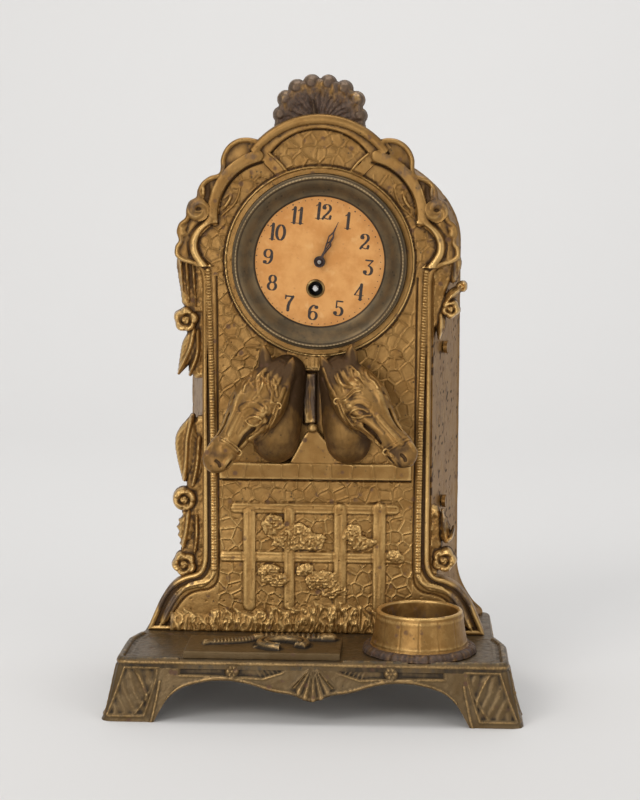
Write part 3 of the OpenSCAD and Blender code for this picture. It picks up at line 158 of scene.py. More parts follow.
class Recipe:
    """The node tree of one material while it is written."""

    def __init__(self, name: str) -> None:
        """Starts a material with a bare Principled shader.

        Args:
            name: the material's name.
        """
        self.material = bpy.data.materials.new(name)
        self.material.use_nodes = True
        self.tree = self.material.node_tree
        self.shader = self.tree.nodes["Principled BSDF"]
        self._place: bpy.types.NodeSocket | None = None

    def node(self, kind: str, settings: dict | None = None,
             sockets: dict | None = None) -> bpy.types.Node:
        """Adds a node, sets it, then fills or links its sockets.

        Args:
            kind: the node's type name.
            settings: attributes, which are set first.
            sockets: values, Values or sockets by input name or index.

        Returns:
            The new node.
        """
        made = self.tree.nodes.new(kind)
        for key, value in (settings or {}).items():
            setattr(made, key, value)
        for key, value in (sockets or {}).items():
            self.feed(made.inputs[key], value)
        return made

    def feed(self, target: bpy.types.NodeSocket, value: object) -> None:
        """Links or sets one input socket.

        Args:
            target: the input.
            value: a Value, a socket, a number or a tuple.
        """
        source = value.socket if isinstance(value, Value) else value
        if isinstance(source, bpy.types.NodeSocket):
            self.tree.links.new(source, target)
        elif isinstance(value, tuple) and len(value) == 3 and target.type == "RGBA":
            target.default_value = (*value, 1.0)
        else:
            target.default_value = value

    @property
    def place(self) -> bpy.types.NodeSocket:
        """Object coordinates, shared by the patterns of this material.

        Returns:
            The socket.
        """
        if self._place is None:
            self._place = self.node("ShaderNodeTexCoord").outputs["Object"]
        return self._place

    def attribute(self, name: str) -> Value:
        """A value stored on the mesh, such as "relief"."""
        made = self.node("ShaderNodeAttribute", {"attribute_name": name})
        return Value(self, made.outputs["Fac"])

    def noise(self, size: float, detail: float = 3.0, rough: float = 0.55,
              stretch: Point = (1.0, 1.0, 1.0), seed: float = 0.0) -> Value:
        """Cloudy noise.

        Args:
            size: size of a blotch in millimetres.
            detail: number of finer layers.
            rough: strength of the finer layers.
            stretch: how many times finer it is along each axis.
            seed: shifts the pattern.

        Returns:
            Noise around 0.5.
        """
        moved = self.node("ShaderNodeMapping", {}, {
            "Vector": self.place, "Location": (seed, seed * 0.7, seed * 0.3), "Scale": stretch})
        made = self.node("ShaderNodeTexNoise", {}, {
            "Vector": moved.outputs[0], "Scale": 1 / (size * MM), "Detail": detail,
            "Roughness": rough})
        return Value(self, made.outputs[0])

    def spots(self, size: float, spread: float = 1.0) -> Value:
        """Distance to scattered points, for pits and specks.

        Args:
            size: mean distance between the points in millimetres.
            spread: randomness of the points, 0 to 1.

        Returns:
            The distance in shares of the mean distance.
        """
        made = self.node("ShaderNodeTexVoronoi", {"feature": "F1"}, {
            "Vector": self.place, "Scale": 1 / (size * MM), "Randomness": spread})
        return Value(self, made.outputs["Distance"])

    def mix(self, share: object, first: object, second: object) -> bpy.types.NodeSocket:
        """Mixes two colours.

        Args:
            share: how much of the second.
            first: colour or socket at 0.
            second: colour or socket at 1.

        Returns:
            The mixed colour's socket.
        """
        made = self.node("ShaderNodeMix", {"data_type": "RGBA"}, {0: share, 6: first, 7: second})
        return made.outputs[2]

    def bump(self, height: Value, depth: float, strength: float = 1.0) -> None:
        """Feeds a Bump node into the shader's normal.

        Args:
            height: the height, about 0 to 1.
            depth: what 1 means, in millimetres.
            strength: the node's strength.
        """
        made = self.node("ShaderNodeBump", {}, {
            "Height": height, "Distance": depth * MM, "Strength": strength})
        self.feed(self.shader.inputs["Normal"], made.outputs[0])

    def finish(self, colour: object, rough: object, metal: object) -> Material:
        """Feeds the main channels.

        Args:
            colour: base colour or its socket.
            rough: roughness.
            metal: metallic share.

        Returns:
            The finished material.
        """
        for key, value in (("Base Color", colour), ("Roughness", rough), ("Metallic", metal)):
            self.feed(self.shader.inputs[key], value)
        return self.material


@dataclass(frozen=True)
class CastFinish:
    """Worn gilding over a cast metal: bright where rubbed, dark in the recesses; the relief and
    tarnish marks also carry painted light and shade.
    """

    name: str
    gold: Colour
    bright: Colour
    recess: Colour
    bare: Colour
    verdigris: Colour = (0.16, 0.17, 0.12)
    metal: float = 0.72
    rough: float = 0.42
    pits: float = 0.5
    speckle: float = 0.35

    def material(self) -> Material:
        """Writes the material.

        Returns:
            The finished material.
        """
        mix = Recipe(self.name)
        relief = mix.attribute("relief")
        tarnish = mix.attribute("tarnish")
        cloud = mix.noise(9.0, 4.0, 0.6)
        grain = mix.noise(1.1, 3.0, 0.6, seed=3.0)
        streak = mix.noise(3.2, 4.0, 0.65, stretch=(1.0, 1.0, 0.45), seed=7.0)
        fleck = mix.spots(5.5)
        speck = mix.spots(2.3)
        tone = mix.mix(cloud.step(0.35, 0.68), self.gold,
                       tuple(c * k for c, k in zip(self.gold, (0.80, 0.74, 0.62))))
        # Bright where rubbed; where the relief mark is raised towards the front's foot, this is
        # painted light.
        worn = (relief + (grain - 0.5) * self.speckle).step(0.14, 0.72)
        tone = mix.mix(worn * 0.85, tone, self.bright)
        # Dark in the recesses; where the relief mark is lowered at the front's top and on the necks
        # under the heads, this is painted shade.
        hollow = (relief * -1.0 + (streak - 0.5) * 0.55).step(0.05, 0.62)
        tone = mix.mix(hollow.least(0.93), tone, self.recess)
        # Bare metal where the gilding is worn; where the tarnish mark is laid in the stable
        # opening, this is painted shade.
        bare_and_painted_shade = (tarnish * 1.25 + (streak - 0.5) * 0.9 + relief * 0.25).step(0.42, 0.78)
        patina_and_painted_shade = mix.mix(grain.step(0.42, 0.6), self.bare, self.verdigris)
        tone = mix.mix(bare_and_painted_shade * 0.9, tone, patina_and_painted_shade)
        rust = (0.30 - fleck).step(0.0, 0.16) * cloud.step(0.48, 0.6)
        tone = mix.mix(rust * 0.7, tone, (0.105, 0.045, 0.022))
        dark = (0.26 - speck).step(0.0, 0.14) * streak.step(0.5, 0.66)
        tone = mix.mix(dark * 0.75, tone, (0.028, 0.024, 0.017))
        rough = (self.rough + (grain - 0.5) * 0.22 + hollow * 0.22 + bare_and_painted_shade * 0.12
                 + rust * 0.25 - worn * 0.08)
        metal = (self.metal - hollow * 0.10 - rust * 0.5 - bare_and_painted_shade * 0.12)
        height = grain * 0.6 + cloud * 0.4 - dark * self.pits - rust * self.pits * 0.6
        mix.bump(height, 0.16, 0.75)
        return mix.finish(tone, rough, metal)


@dataclass(frozen=True)
class MetalFinish:
    """A plain metal with fine grain and clouds of tarnish."""

    name: str
    tone: Colour
    dull: Colour
    rough: float = 0.32
    metal: float = 1.0
    cloud: float = 6.0
    depth: float = 0.03

    def material(self) -> Material:
        """Writes the material.

        Returns:
            The finished material.
        """
        mix = Recipe(self.name)
        cloud = mix.noise(self.cloud, 4.0, 0.6)
        brush = mix.noise(0.5, 3.0, 0.6, seed=5.0)
        spot = (0.25 - mix.spots(self.cloud * 0.8)).step(0.0, 0.2) * cloud.step(0.45, 0.62)
        tone = mix.mix(cloud.step(0.38, 0.68), self.tone, self.dull)
        tone = mix.mix(spot * 0.5, tone, tuple(c * 0.35 for c in self.dull))
        mix.bump(brush, self.depth, 0.6)
        return mix.finish(tone, self.rough + (brush - 0.5) * 0.2 + spot * 0.2, self.metal)


@dataclass(frozen=True)
class BezelFinish:
    """Dull brown-grey brass of the bezel, with brighter beads."""

    name: str = "bezel_brass"

    def material(self) -> Material:
        """Writes the material.

        Returns:
            The finished material.
        """
        mix = Recipe(self.name)
        relief = mix.attribute("relief")
        cloud = mix.noise(7.0, 4.0, 0.6)
        ring = mix.noise(1.3, 3.0, 0.6, seed=2.0)
        speck = (0.24 - mix.spots(3.1)).step(0.0, 0.14) * cloud.step(0.46, 0.62)
        tone = mix.mix(cloud.step(0.35, 0.66), (0.165, 0.112, 0.055), (0.105, 0.078, 0.045))
        tone = mix.mix(relief.step(0.1, 0.7), tone, (0.44, 0.32, 0.17))
        tone = mix.mix((relief * -1.0).step(0.05, 0.5) * 0.9, tone, (0.035, 0.024, 0.014))
        tone = mix.mix(speck * 0.7, tone, (0.05, 0.045, 0.03))
        mix.bump(ring * 0.5 + cloud * 0.5 - speck * 0.4, 0.07, 0.6)
        return mix.finish(tone, 0.46 + (ring - 0.5) * 0.2 + speck * 0.2, 0.72)


@dataclass(frozen=True)
class PaperFinish:
    """Aged orange-buff paper with foxing and a browner rim."""

    name: str = "dial_paper_aged"
    centre: Point = (-0.001, 0.003, 0.219)

    def material(self) -> Material:
        """Writes the material.

        Returns:
            The finished material.
        """
        mix = Recipe(self.name)
        away = mix.node("ShaderNodeVectorMath", {"operation": "DISTANCE"},
                        {0: mix.place, 1: self.centre})
        radius = Value(mix, away.outputs["Value"])
        cloud = mix.noise(11.0, 5.0, 0.62)
        fine = mix.noise(0.6, 3.0, 0.6, seed=4.0)
        tone = mix.mix(cloud.step(0.36, 0.66), (0.70, 0.345, 0.108), (0.59, 0.258, 0.066))
        tone = mix.mix(mix.noise(5.0, 3.0, 0.5, seed=9.0).step(0.55, 0.75) * 0.45, tone,
                       (0.78, 0.465, 0.19))
        rim = (radius + (cloud - 0.5) * 0.006).step(0.025, 0.033)
        tone = mix.mix(rim * 0.45, tone, (0.50, 0.22, 0.06))
        foxing = (0.2 - mix.spots(4.2)).step(0.0, 0.16) * fine.step(0.45, 0.6)
        tone = mix.mix(foxing * 0.5, tone, (0.40, 0.16, 0.05))
        mix.bump(fine, 0.03, 0.4)
        return mix.finish(tone, 0.82 + (fine - 0.5) * 0.1, 0.0)


@dataclass(frozen=True)
class InkFinish:
    """Black printing ink, worn thin in places."""

    name: str = "dial_ink"

    def material(self) -> Material:
        """Writes the material.

        Returns:
            The finished material.
        """
        mix = Recipe(self.name)
        wear = mix.noise(1.4, 4.0, 0.65).step(0.50, 0.72)
        tone = mix.mix(wear * 0.5, (0.022, 0.014, 0.011), (0.20, 0.10, 0.045))
        return mix.finish(tone, 0.62 + wear * 0.15, 0.0)


@dataclass(frozen=True)
class FloorFinish:
    """Pale studio paper."""

    name: str = "studio_paper"
    tone: Colour = (0.70, 0.695, 0.69)

    def material(self) -> Material:
        """Writes the material."""
        mix = Recipe(self.name)
        return mix.finish(self.tone, 0.95, 0.0)


# ------------------------------------------------------------------------ number work

class Noise:
    """Repeatable smooth noise on a lattice, for arrays of points."""

    def __init__(self, seed: int) -> None:
        """Draws the lattice."""
        self.size = 32
        self.table = np.random.default_rng(seed).random((self.size,) * 3).astype(np.float32)

    def at(self, x: Array, y: Array | float, z: Array | float, scale: float) -> Array:
        """Noise of one layer.

        Args:
            x, y, z: coordinates in millimetres.
            scale: size of a blotch in millimetres.

        Returns:
            Values from -1 to 1.
        """
        parts = []
        for c in (x, y, z):
            c = np.atleast_1d(c).astype(np.float32) / scale
            whole = np.floor(c).astype(np.int32)
            part = c - whole
            parts.append((whole % self.size, (whole + 1) % self.size,
                          part * part * (3 - 2 * part)))
        (x0, x1, fx), (y0, y1, fy), (z0, z1, fz) = parts
        t = self.table
        low = (t[x0, y0, z0] * (1 - fx) + t[x1, y0, z0] * fx) * (1 - fy) + (
            t[x0, y1, z0] * (1 - fx) + t[x1, y1, z0] * fx) * fy
        high = (t[x0, y0, z1] * (1 - fx) + t[x1, y0, z1] * fx) * (1 - fy) + (
            t[x0, y1, z1] * (1 - fx) + t[x1, y1, z1] * fx) * fy
        return (low * (1 - fz) + high * fz) * 2 - 1

    def layers(self, x: Array, y: Array | float, z: Array, scale: float,
               count: int = 3) -> Array:
        """Sum of layers, each half the size and strength of the last.

        Args:
            x, y, z: coordinates in millimetres.
            scale: size of the largest blotch.
            count: number of layers.

        Returns:
            Values of about -1 to 1.
        """
        total, weight = 0, 0.0
        for i in range(count):
            total = total + self.at(x + 7.3 * i, y, z - 3.1 * i, scale / 2**i) / 2**i
            weight += 1 / 2**i
        return total / weight


def ramp(value: Array, low: float, high: float) -> Array:
    """Smooth step of an array from 0 at low to 1 at high."""
    t = np.clip((value - low) / (high - low), 0, 1)
    return t * t * (3 - 2 * t)


def bead(distance: Array, half: float) -> Array:
    """Round section of height 1 and half width half."""
    return np.sqrt(np.clip(1 - (distance / half) ** 2, 0, 1))


def hump(distance: Array, half: float) -> Array:
    """Bell-shaped section of height 1."""
    return np.exp(-((distance / half) ** 2))


def blur(values: Array, sigma: Sequence[float]) -> Array:
    """Gaussian blur by Fourier transform.

    Args:
        values: an array of two or three dimensions.
        sigma: width along each axis, in cells.

    Returns:
        The blurred array.
    """
    pad = [(int(3 * s) + 1,) * 2 for s in sigma]
    wide = np.pad(values, pad, mode="edge")
    spectrum = np.fft.rfftn(wide)
    for axis, s in enumerate(sigma):
        n = wide.shape[axis]
        last = axis == wide.ndim - 1
        f = np.fft.rfftfreq(n) if last else np.fft.fftfreq(n)
        shape = [1] * wide.ndim
        shape[axis] = len(f)
        spectrum *= np.exp(-2 * (math.pi * s * f) ** 2).reshape(shape)
    out = np.fft.irfftn(spectrum, s=wide.shape, axes=range(wide.ndim))
    return out[tuple(slice(p[0], p[0] + n) for p, n in zip(pad, values.shape))].astype(np.float32)


def curve(points: Line, per: int = 8) -> Array:
    """A smooth line through points.

    Args:
        points: the points, of two or three coordinates.
        per: samples for each stretch.

    Returns:
        The samples, one a row.
    """
    p = np.asarray(points, float)
    p = np.vstack([2 * p[0] - p[1], p, 2 * p[-1] - p[-2]])
    out = []
    for i in range(1, len(p) - 2):
        t = np.linspace(0, 1, per, endpoint=False)[:, None]
        a, b, c, d = p[i - 1], p[i], p[i + 1], p[i + 2]
        out.append(0.5 * (2 * b + (c - a) * t + (2 * a - 5 * b + 4 * c - d) * t**2
                          + (3 * b - a - 3 * c + d) * t**3))
    return np.vstack([*out, p[-2][None]])


def arc(centre: Sequence[float], radius: float, start: float, end: float,
        count: int = 24) -> Array:
    """Points on a circle in the plane.

    Args:
        centre: the centre.
        radius: the radius.
        start: first angle in degrees.
        end: last angle in degrees.
        count: number of points.

    Returns:
        The points, one a row.
    """
    a = np.radians(np.linspace(start, end, count))
    return np.stack([centre[0] + radius * np.cos(a), centre[1] + radius * np.sin(a)], 1)


def unit(v: Sequence[float]) -> Array:
    """A vector at length 1."""
    v = np.asarray(v, float)
    return v / np.linalg.norm(v)


def to_stretch(u: Array, v: Array, start: Sequence[float],
               end: Sequence[float]) -> tuple[Array, Array, float]:
    """Measures points against one straight stretch of a line.

    Args:
        u, v: coordinates of the points.
        start: where the stretch begins.
        end: where it ends.

    Returns:
        The distance to it, the share of it passed, 0 to 1, and its length.
    """
    dx, dy = end[0] - start[0], end[1] - start[1]
    length = math.hypot(dx, dy) or 1e-9
    t = np.clip(((u - start[0]) * dx + (v - start[1]) * dy) / length**2, 0, 1)
    return np.hypot(u - start[0] - t * dx, v - start[1] - t * dy), t, length


def outward(tangent: Array) -> Array:
    """Unit directions square to a line's own, to its right."""
    out = np.stack([tangent[:, 1], -tangent[:, 0]], 1)
    return out / np.linalg.norm(out, axis=1)[:, None]


def eased(edge: Array, radius: float) -> Array:
    """How far a sheet falls where its rim is rounded, by its distance from the rim."""
    rounded = np.clip(edge + radius, 0, radius)
    return radius - np.sqrt(np.clip(radius**2 - rounded**2, 0, None))


def turning(profile: Array, count: int) -> tuple[Array, Array, Array]:
    """Radius, height and angle over a turned profile, one row for each angle."""
    a = np.linspace(0, FULL_TURN, count, endpoint=False)[:, None]
    return profile[:, 0] + 0 * a, profile[:, 1] + 0 * a, a + 0 * profile[:, 0]


def link(name: str, data: bpy.types.ID) -> bpy.types.Object:
    """Hangs a mesh, lamp or camera in the scene as an object.

    Args:
        name: its name.
        data: the mesh, lamp or camera.

    Returns:
        The new object.
    """
    made = bpy.data.objects.new(name, data)
    bpy.context.scene.collection.objects.link(made)
    return made


# --------------------------------------------------------------------------- meshes

@dataclass
class Piece:
    """A mesh on its way into the scene."""

    name: str
    verts: Array
    faces: list[Array]
    marks: dict[str, Array] = field(default_factory=dict)

    def joined(self, other: "Piece") -> "Piece":
        """This piece and another as one.

        Args:
            other: the piece to add.

        Returns:
            The joined piece.
        """
        shift = len(self.verts)
        marks = {key: np.concatenate([self.marks[key], other.marks[key]])
                 for key in self.marks if key in other.marks}
        return Piece(self.name, np.vstack([self.verts, other.verts]),
                     [*self.faces, *[f + shift for f in other.faces]], marks)

    def place(self, material: Material, body: str, slot: str,
              stands_for: Sequence[str] = (), crease: float = 40) -> bpy.types.Object:
        """Writes the mesh and hangs it on the frame.

        Args:
            material: its finish.
            body: the CAD body it rides on.
            slot: the record's material slot; not used.
            stands_for: CAD nodes that it replaces.
            crease: edges sharper than this angle stay sharp.

        Returns:
            The new object.
        """
        mesh = bpy.data.meshes.new(self.name)
        mesh.vertices.add(len(self.verts))
        mesh.vertices.foreach_set("co", (self.verts * MM).astype(np.float32).ravel())
        faces = [f for f in self.faces if len(f)]
        sizes = np.concatenate([np.full(len(f), f.shape[1]) for f in faces])
        mesh.loops.add(int(sizes.sum()))
        mesh.loops.foreach_set("vertex_index",
                               np.concatenate([f.ravel() for f in faces]).astype(np.int32))
        mesh.polygons.add(len(sizes))
        starts = np.concatenate([[0], np.cumsum(sizes)[:-1]]).astype(np.int32)
        mesh.polygons.foreach_set("loop_start", starts)
        mesh.update(calc_edges=True)
        mesh.validate()
        for key, values in self.marks.items():
            layer = mesh.attributes.new(key, "FLOAT", "POINT")
            layer.data.foreach_set("value", values.astype(np.float32))
        mesh.shade_smooth()
        mesh.set_sharp_from_angle(angle=math.radians(crease))
        mesh.materials.append(material)
        made = link(self.name, mesh)
        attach(made, body)
        if stands_for:
            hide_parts(*stands_for)
        log.info("%s: %d faces", self.name, len(sizes))
        return made


def clip(faces: Array, value: Array) -> tuple[Array, Field]:
    """Cuts a triangle sheet along the line where a value is 0, keeping what is below.

    Args:
        faces: triangles by vertex number.
        value: the value at each vertex.

    Returns:
        Triangles by new number, and the function that carries values from the old
        vertices to the new.
    """
    n = len(value)
    value = np.where(np.abs(value) < 1e-4, -1e-4, value)
    inside = value < 0
    count = inside[faces].sum(1)
    parts = [faces[count == 3]]

    def turned(rows: Array, flag: Array) -> Array:
        """Turns each triangle so that its odd corner comes first."""
        at = np.argmax(flag[rows], axis=1)
        idx = (at[:, None] + np.arange(3)) % 3
        return np.take_along_axis(rows, idx, 1)

    one = turned(faces[count == 1], inside)
    two = turned(faces[count == 2], ~inside)
    edges = np.concatenate([one[:, [0, 1]], one[:, [0, 2]], two[:, [0, 1]], two[:, [0, 2]]])
    edges = np.sort(edges, 1)
    key, where = np.unique(edges[:, 0].astype(np.int64) * n + edges[:, 1], return_inverse=True)
    low, high = key // n, key % n
    share = value[low] / (value[low] - value[high])
    where = where.ravel() + n
    a, b = len(one), len(two)
    ab, ac = where[:a], where[a:2 * a]
    db, dc = where[2 * a:2 * a + b], where[2 * a + b:]
    parts.append(np.stack([one[:, 0], ab, ac], 1))
    parts.append(np.stack([db, two[:, 1], two[:, 2]], 1))
    parts.append(np.stack([db, two[:, 2], dc], 1))
    kept = np.concatenate(parts)
    used, again = np.unique(kept, return_inverse=True)
    first = np.concatenate([np.arange(n), low])[used]
    second = np.concatenate([np.arange(n), high])[used]
    share = np.concatenate([np.zeros(n), share])[used]

    def blend(field_: Array) -> Array:
        """Values of the new vertices from one value or row for each old one."""
        rows = field_.reshape(n, -1)
        out = (rows[first].T * (1 - share) + rows[second].T * share).T
        return out[:, 0] if out.shape[1] == 1 else out

    return again.reshape(kept.shape), blend


def rim_edges(faces: Array) -> Array:
    """Directed edges that only one triangle has.

    Args:
        faces: triangles by vertex number.

    Returns:
        Pairs of vertex numbers, one a row.
    """
    e = np.concatenate([faces[:, [0, 1]], faces[:, [1, 2]], faces[:, [2, 0]]]).astype(np.int64)
    n = int(e.max()) + 1
    key = e[:, 0] * n + e[:, 1]
    back = e[:, 1] * n + e[:, 0]
    return e[~np.isin(key, back)]


def slab(name: str, front: Array, back: Array, faces: Array, marks: dict[str, Array]) -> Piece:
    """A closed solid between a sheet and its copy behind.

    Args:
        name: the piece's name.
        front: the sheet's points.
        back: the same points moved back.
        faces: the sheet's triangles, seen from the front.
        marks: values on the sheet's points.

    Returns:
        The piece.
    """
    n = len(front)
    e = rim_edges(faces)
    rim = np.stack([e[:, 1], e[:, 0], e[:, 0] + n, e[:, 1] + n], 1)
    both = {k: np.concatenate([v, v]) for k, v in marks.items()}
    return Piece(name, np.vstack([front, back]), [faces, faces[:, ::-1] + n, rim], both)


def capped(name: str, front: Array, level: float, faces: Array,
           marks: dict[str, Array]) -> Piece:
    """A closed solid: a sheet, walls straight back from its rim, and a flat back.

    Args:
        name: the piece's name.
        front: the sheet's points.
        level: where the flat back lies along Y.
        faces: the sheet's triangles, seen from the front.
        marks: values on the sheet's points.

    Returns:
        The piece.
    """
    n = len(front)
    e = rim_edges(faces)
    rim, where = np.unique(e, return_inverse=True)
    where = where.reshape(e.shape)
    back = front[rim].copy()
    back[:, 1] = level
    walls = np.stack([e[:, 1], e[:, 0], where[:, 0] + n, where[:, 1] + n], 1)
    onward: dict[int, list[int]] = {}
    for a, b in where:
        onward.setdefault(int(a), []).append(int(b))
    loops = []
    while onward:
        start = next(iter(onward))
        loop, at = [], start
        while at in onward:
            loop.append(at)
            ways = onward[at]
            following = ways.pop()
            if not ways:
                del onward[at]
            at = following
            if at == start:
                break
        if len(loop) > 2:
            loops.append(loop)
    order = np.concatenate([np.array(loop) for loop in loops])
    cap = np.array(tessellate_polygon(
        [[Vector((back[i, 0], back[i, 2], 0)) for i in loop] for loop in loops]))
    cap = order[cap]
    p, q, s = (back[cap[:, k]][:, [0, 2]] for k in range(3))
    turn = (q[:, 0] - p[:, 0]) * (s[:, 1] - p[:, 1]) - (q[:, 1] - p[:, 1]) * (s[:, 0] - p[:, 0])
    cap = np.where((turn > 0)[:, None], cap[:, ::-1], cap) + n
    both = {k: np.concatenate([v, v[rim]]) for k, v in marks.items()}
    return Piece(name, np.vstack([front, back]), [faces, walls, cap], both)


def grid_faces(nu: int, nv: int, wrap: bool = False) -> Array:
    """Triangles of a grid of points in rows.

    Args:
        nu: number of rows.
        nv: points in a row.
        wrap: whether the last row joins the first.

    Returns:
        The triangles.
    """
    i = np.arange(nu if wrap else nu - 1)[:, None]
    j = np.arange(nv - 1)[None, :]
    a = i * nv + j
    b = ((i + 1) % nu) * nv + j
    quads = np.stack([a, b, b + 1, a + 1], -1).reshape(-1, 4)
    return np.concatenate([quads[:, [0, 1, 2]], quads[:, [0, 2, 3]]])


def hoop_faces(nu: int, nv: int) -> Array:
    """Quads of a grid of points that joins up both ways, nu rows of nv.

    Args:
        nu: number of rows.
        nv: points in a row.

    Returns:
        The quads.
    """
    i, j = np.arange(nu)[:, None], np.arange(nv)[None, :]
    on, over = (i + 1) % nu, (j + 1) % nv
    return np.stack([i * nv + j, on * nv + j, on * nv + over, i * nv + over], -1).reshape(-1, 4)


# --------------------------------------------------------------------------- relief

class Relief:
    """A height map over two axes, in millimetres, that mouldings are added to."""

    def __init__(self, low: Sequence[float], high: Sequence[float], step: float) -> None:
        """Lays out a flat map.

        Args:
            low: lower corner.
            high: upper corner.
            step: size of a cell.
        """
        self.low, self.step = np.asarray(low, float), step
        self.axes = [np.arange(a, b + step, step) for a, b in zip(low, high)]
        self.u, self.v = np.meshgrid(*self.axes, indexing="ij")
        self.h = np.zeros_like(self.u)
        self.tarnish = np.zeros_like(self.u)

    def patch(self, low: Sequence[float], high: Sequence[float]) -> tuple[slice, slice]:
        """The cells of a rectangle."""
        return tuple(slice(max(0, int((a - l) / self.step)), max(0, int((b - l) / self.step) + 2))
                     for a, b, l in zip(low, high, self.low))

    def along(self, path: Array, reach: float) -> tuple[tuple, Array, Array, Array]:
        """Measures a path.

        Args:
            path: its points.
            reach: how far either side is wanted.

        Returns:
            The cells near it, their distance, their place along it and their offset to
            its left.
        """
        part = self.patch(path.min(0) - reach, path.max(0) + reach)
        u, v = self.u[part], self.v[part]
        best = np.full(u.shape, FAR)
        place, left = np.zeros(u.shape), np.zeros(u.shape)
        done = 0.0
        for a, b in zip(path[:-1], path[1:]):
            d, t, length = to_stretch(u, v, a, b)
            near = d < best
            best = np.where(near, d, best)
            place = np.where(near, done + t * length, place)
            offset = ((v - a[1]) * (b[0] - a[0]) - (u - a[0]) * (b[1] - a[1])) / length
            left = np.where(near, offset, left)
            done += length
        return part, best, place, left

    def lift(self, part: tuple, height: Array, within: Array | bool = True) -> None:
        """Raises the cells of a patch to a height, within a mask, where they are lower."""
        self.h[part] = np.maximum(self.h[part], np.where(within, height, BELOW))

    def moulding(self, points: Line, half: float, height: float,
                 base: float = 0, smooth: bool = True, ribs: float = 0,
                 taper: float = 0) -> None:
        """Adds a round moulding along a line.

        Args:
            points: points that the line passes through.
            half: half its width.
            height: its height above base.
            base: the level it stands on.
            smooth: whether the line curves through the points.
            ribs: pitch of ribs across it, or 0.
            taper: share of the length over which each end thins out.
        """
        path = curve(points) if smooth else np.asarray(points, float)
        part, d, place, _ = self.along(path, half + 1)
        h = bead(d, half) * height
        if ribs:
            h *= 0.78 + 0.22 * np.cos(place * FULL_TURN / ribs)
        if taper:
            total = place.max()
            h *= ramp(place, -0.01, taper * total) * ramp(total - place, -0.01, taper * total)
        self.lift(part, base + h, d < half)

    def put(self, mask: Array, height: Array | float) -> None:
        """Sets the cells of a mask to a height."""
        self.h = np.where(mask, height, self.h)

    def groove(self, points: Line, half: float, depth: float,
               smooth: bool = True) -> None:
        """Cuts a soft groove along a line.

        Args:
            points: points that the line passes through.
            half: half its width.
            depth: its depth.
            smooth: whether the line curves through the points.
        """
        path = curve(points) if smooth else np.asarray(points, float)
        part, d, _, _ = self.along(path, half * 2.5)
        self.h[part] -= hump(d, half) * depth

    def stain(self, at: Sequence[float], radii: Sequence[float], strength: float) -> None:
        """Adds a patch where the gilding is worn to bare metal; in the stable opening the same
        patch is painted shade.
        """
        d = np.hypot((self.u - at[0]) / radii[0], (self.v - at[1]) / radii[1])
        self.tarnish = np.maximum(self.tarnish, strength * ramp(d, 1.25, 0.35))

    def cavity(self, width: float, gain: float) -> Array:
        """How much each cell stands out from its surroundings.

        Args:
            width: size of the surroundings in millimetres.
            gain: scale of the result.

        Returns:
            Values from about -1 to 1.
        """
        away = self.h - blur(self.h, (width / self.step,) * 2)
        return np.clip(away * gain, -1.2, 1.2)


def crazing(u: Array, v: Array, pitch: float, seed: int) -> Array:
    """Heights of crazy paving: thin raised joints, each beside a faint groove.

    Args:
        u, v: coordinates.
        pitch: mean size of a stone.
        seed: draws the stones.

    Returns:
        Heights about 0.
    """
    n = 64
    rng = np.random.default_rng(seed)
    jitter = rng.uniform(-0.42, 0.42, (n, n, 2))
    mark = rng.random((n, n))
    gu, gv = u / pitch, v / (pitch * 0.86)
    cu, cv = np.floor(gu).astype(int), np.floor(gv).astype(int)
    first = np.full(u.shape, 1e9)
    second = np.full(u.shape, 1e9)
    near = [np.zeros(u.shape) for _ in range(3)]
    next_ = [np.zeros(u.shape) for _ in range(3)]
    for i in (-2, -1, 0, 1, 2):
        for j in (-2, -1, 0, 1, 2):
            a, b = cu + i, cv + j
            jx = jitter[a % n, b % n]
            su = (a + 0.5 + jx[..., 0] + 0.5 * (b % 2)) * pitch
            sv = (b + 0.5 + jx[..., 1]) * pitch * 0.86
            mk = mark[a % n, b % n]
            d = (u - su) ** 2 + (v - sv) ** 2
            closer = d < first
            between = (~closer) & (d < second)
            for k, value in enumerate((su, sv, mk)):
                next_[k] = np.where(closer, near[k], np.where(between, value, next_[k]))
                near[k] = np.where(closer, value, near[k])
            second = np.where(closer, first, np.where(between, d, second))
            first = np.where(closer, d, first)
    gap = np.hypot(near[0] - next_[0], near[1] - next_[1])
    edge = (second - first) / (2 * np.maximum(gap, 0.1))
    signed = np.where(near[2] > next_[2], edge, -edge)
    stone = (near[2] - 0.5) * 0.10
    broken = ramp(NOISE.at(u, 8, v, 9), -0.75, -0.35)
    joint = 0.30 * hump(edge, 0.36) - 0.16 * hump(signed - 0.85, 0.40)
    return joint * (0.35 + 0.65 * broken) + stone * ramp(edge, 0.2, 1.6)


def inside_outline(u: Array, v: Array, outline: Array) -> Array:
    """Signed distance to a closed outline, negative inside.

    Args:
        u, v: coordinates.
        outline: its corners in order.

    Returns:
        The distance.
    """
    best = np.full(u.shape, 1e9)
    odd = np.zeros(u.shape, bool)
    for (ax, ay), (bx, by) in zip(outline, np.roll(outline, -1, 0)):
        dx, dy = bx - ax, by - ay
        square = dx * dx + dy * dy
        if square < 1e-12:
            continue
        t = np.clip(((u - ax) * dx + (v - ay) * dy) / square, 0, 1)
        best = np.minimum(best, (u - ax - t * dx) ** 2 + (v - ay - t * dy) ** 2)
        if ay != by:
            odd ^= ((ay > v) != (by > v)) & (u < dx * (v - ay) / dy + ax)
    return np.where(odd, -1, 1) * np.sqrt(best)


# ----------------------------------------------------------------------------- clay

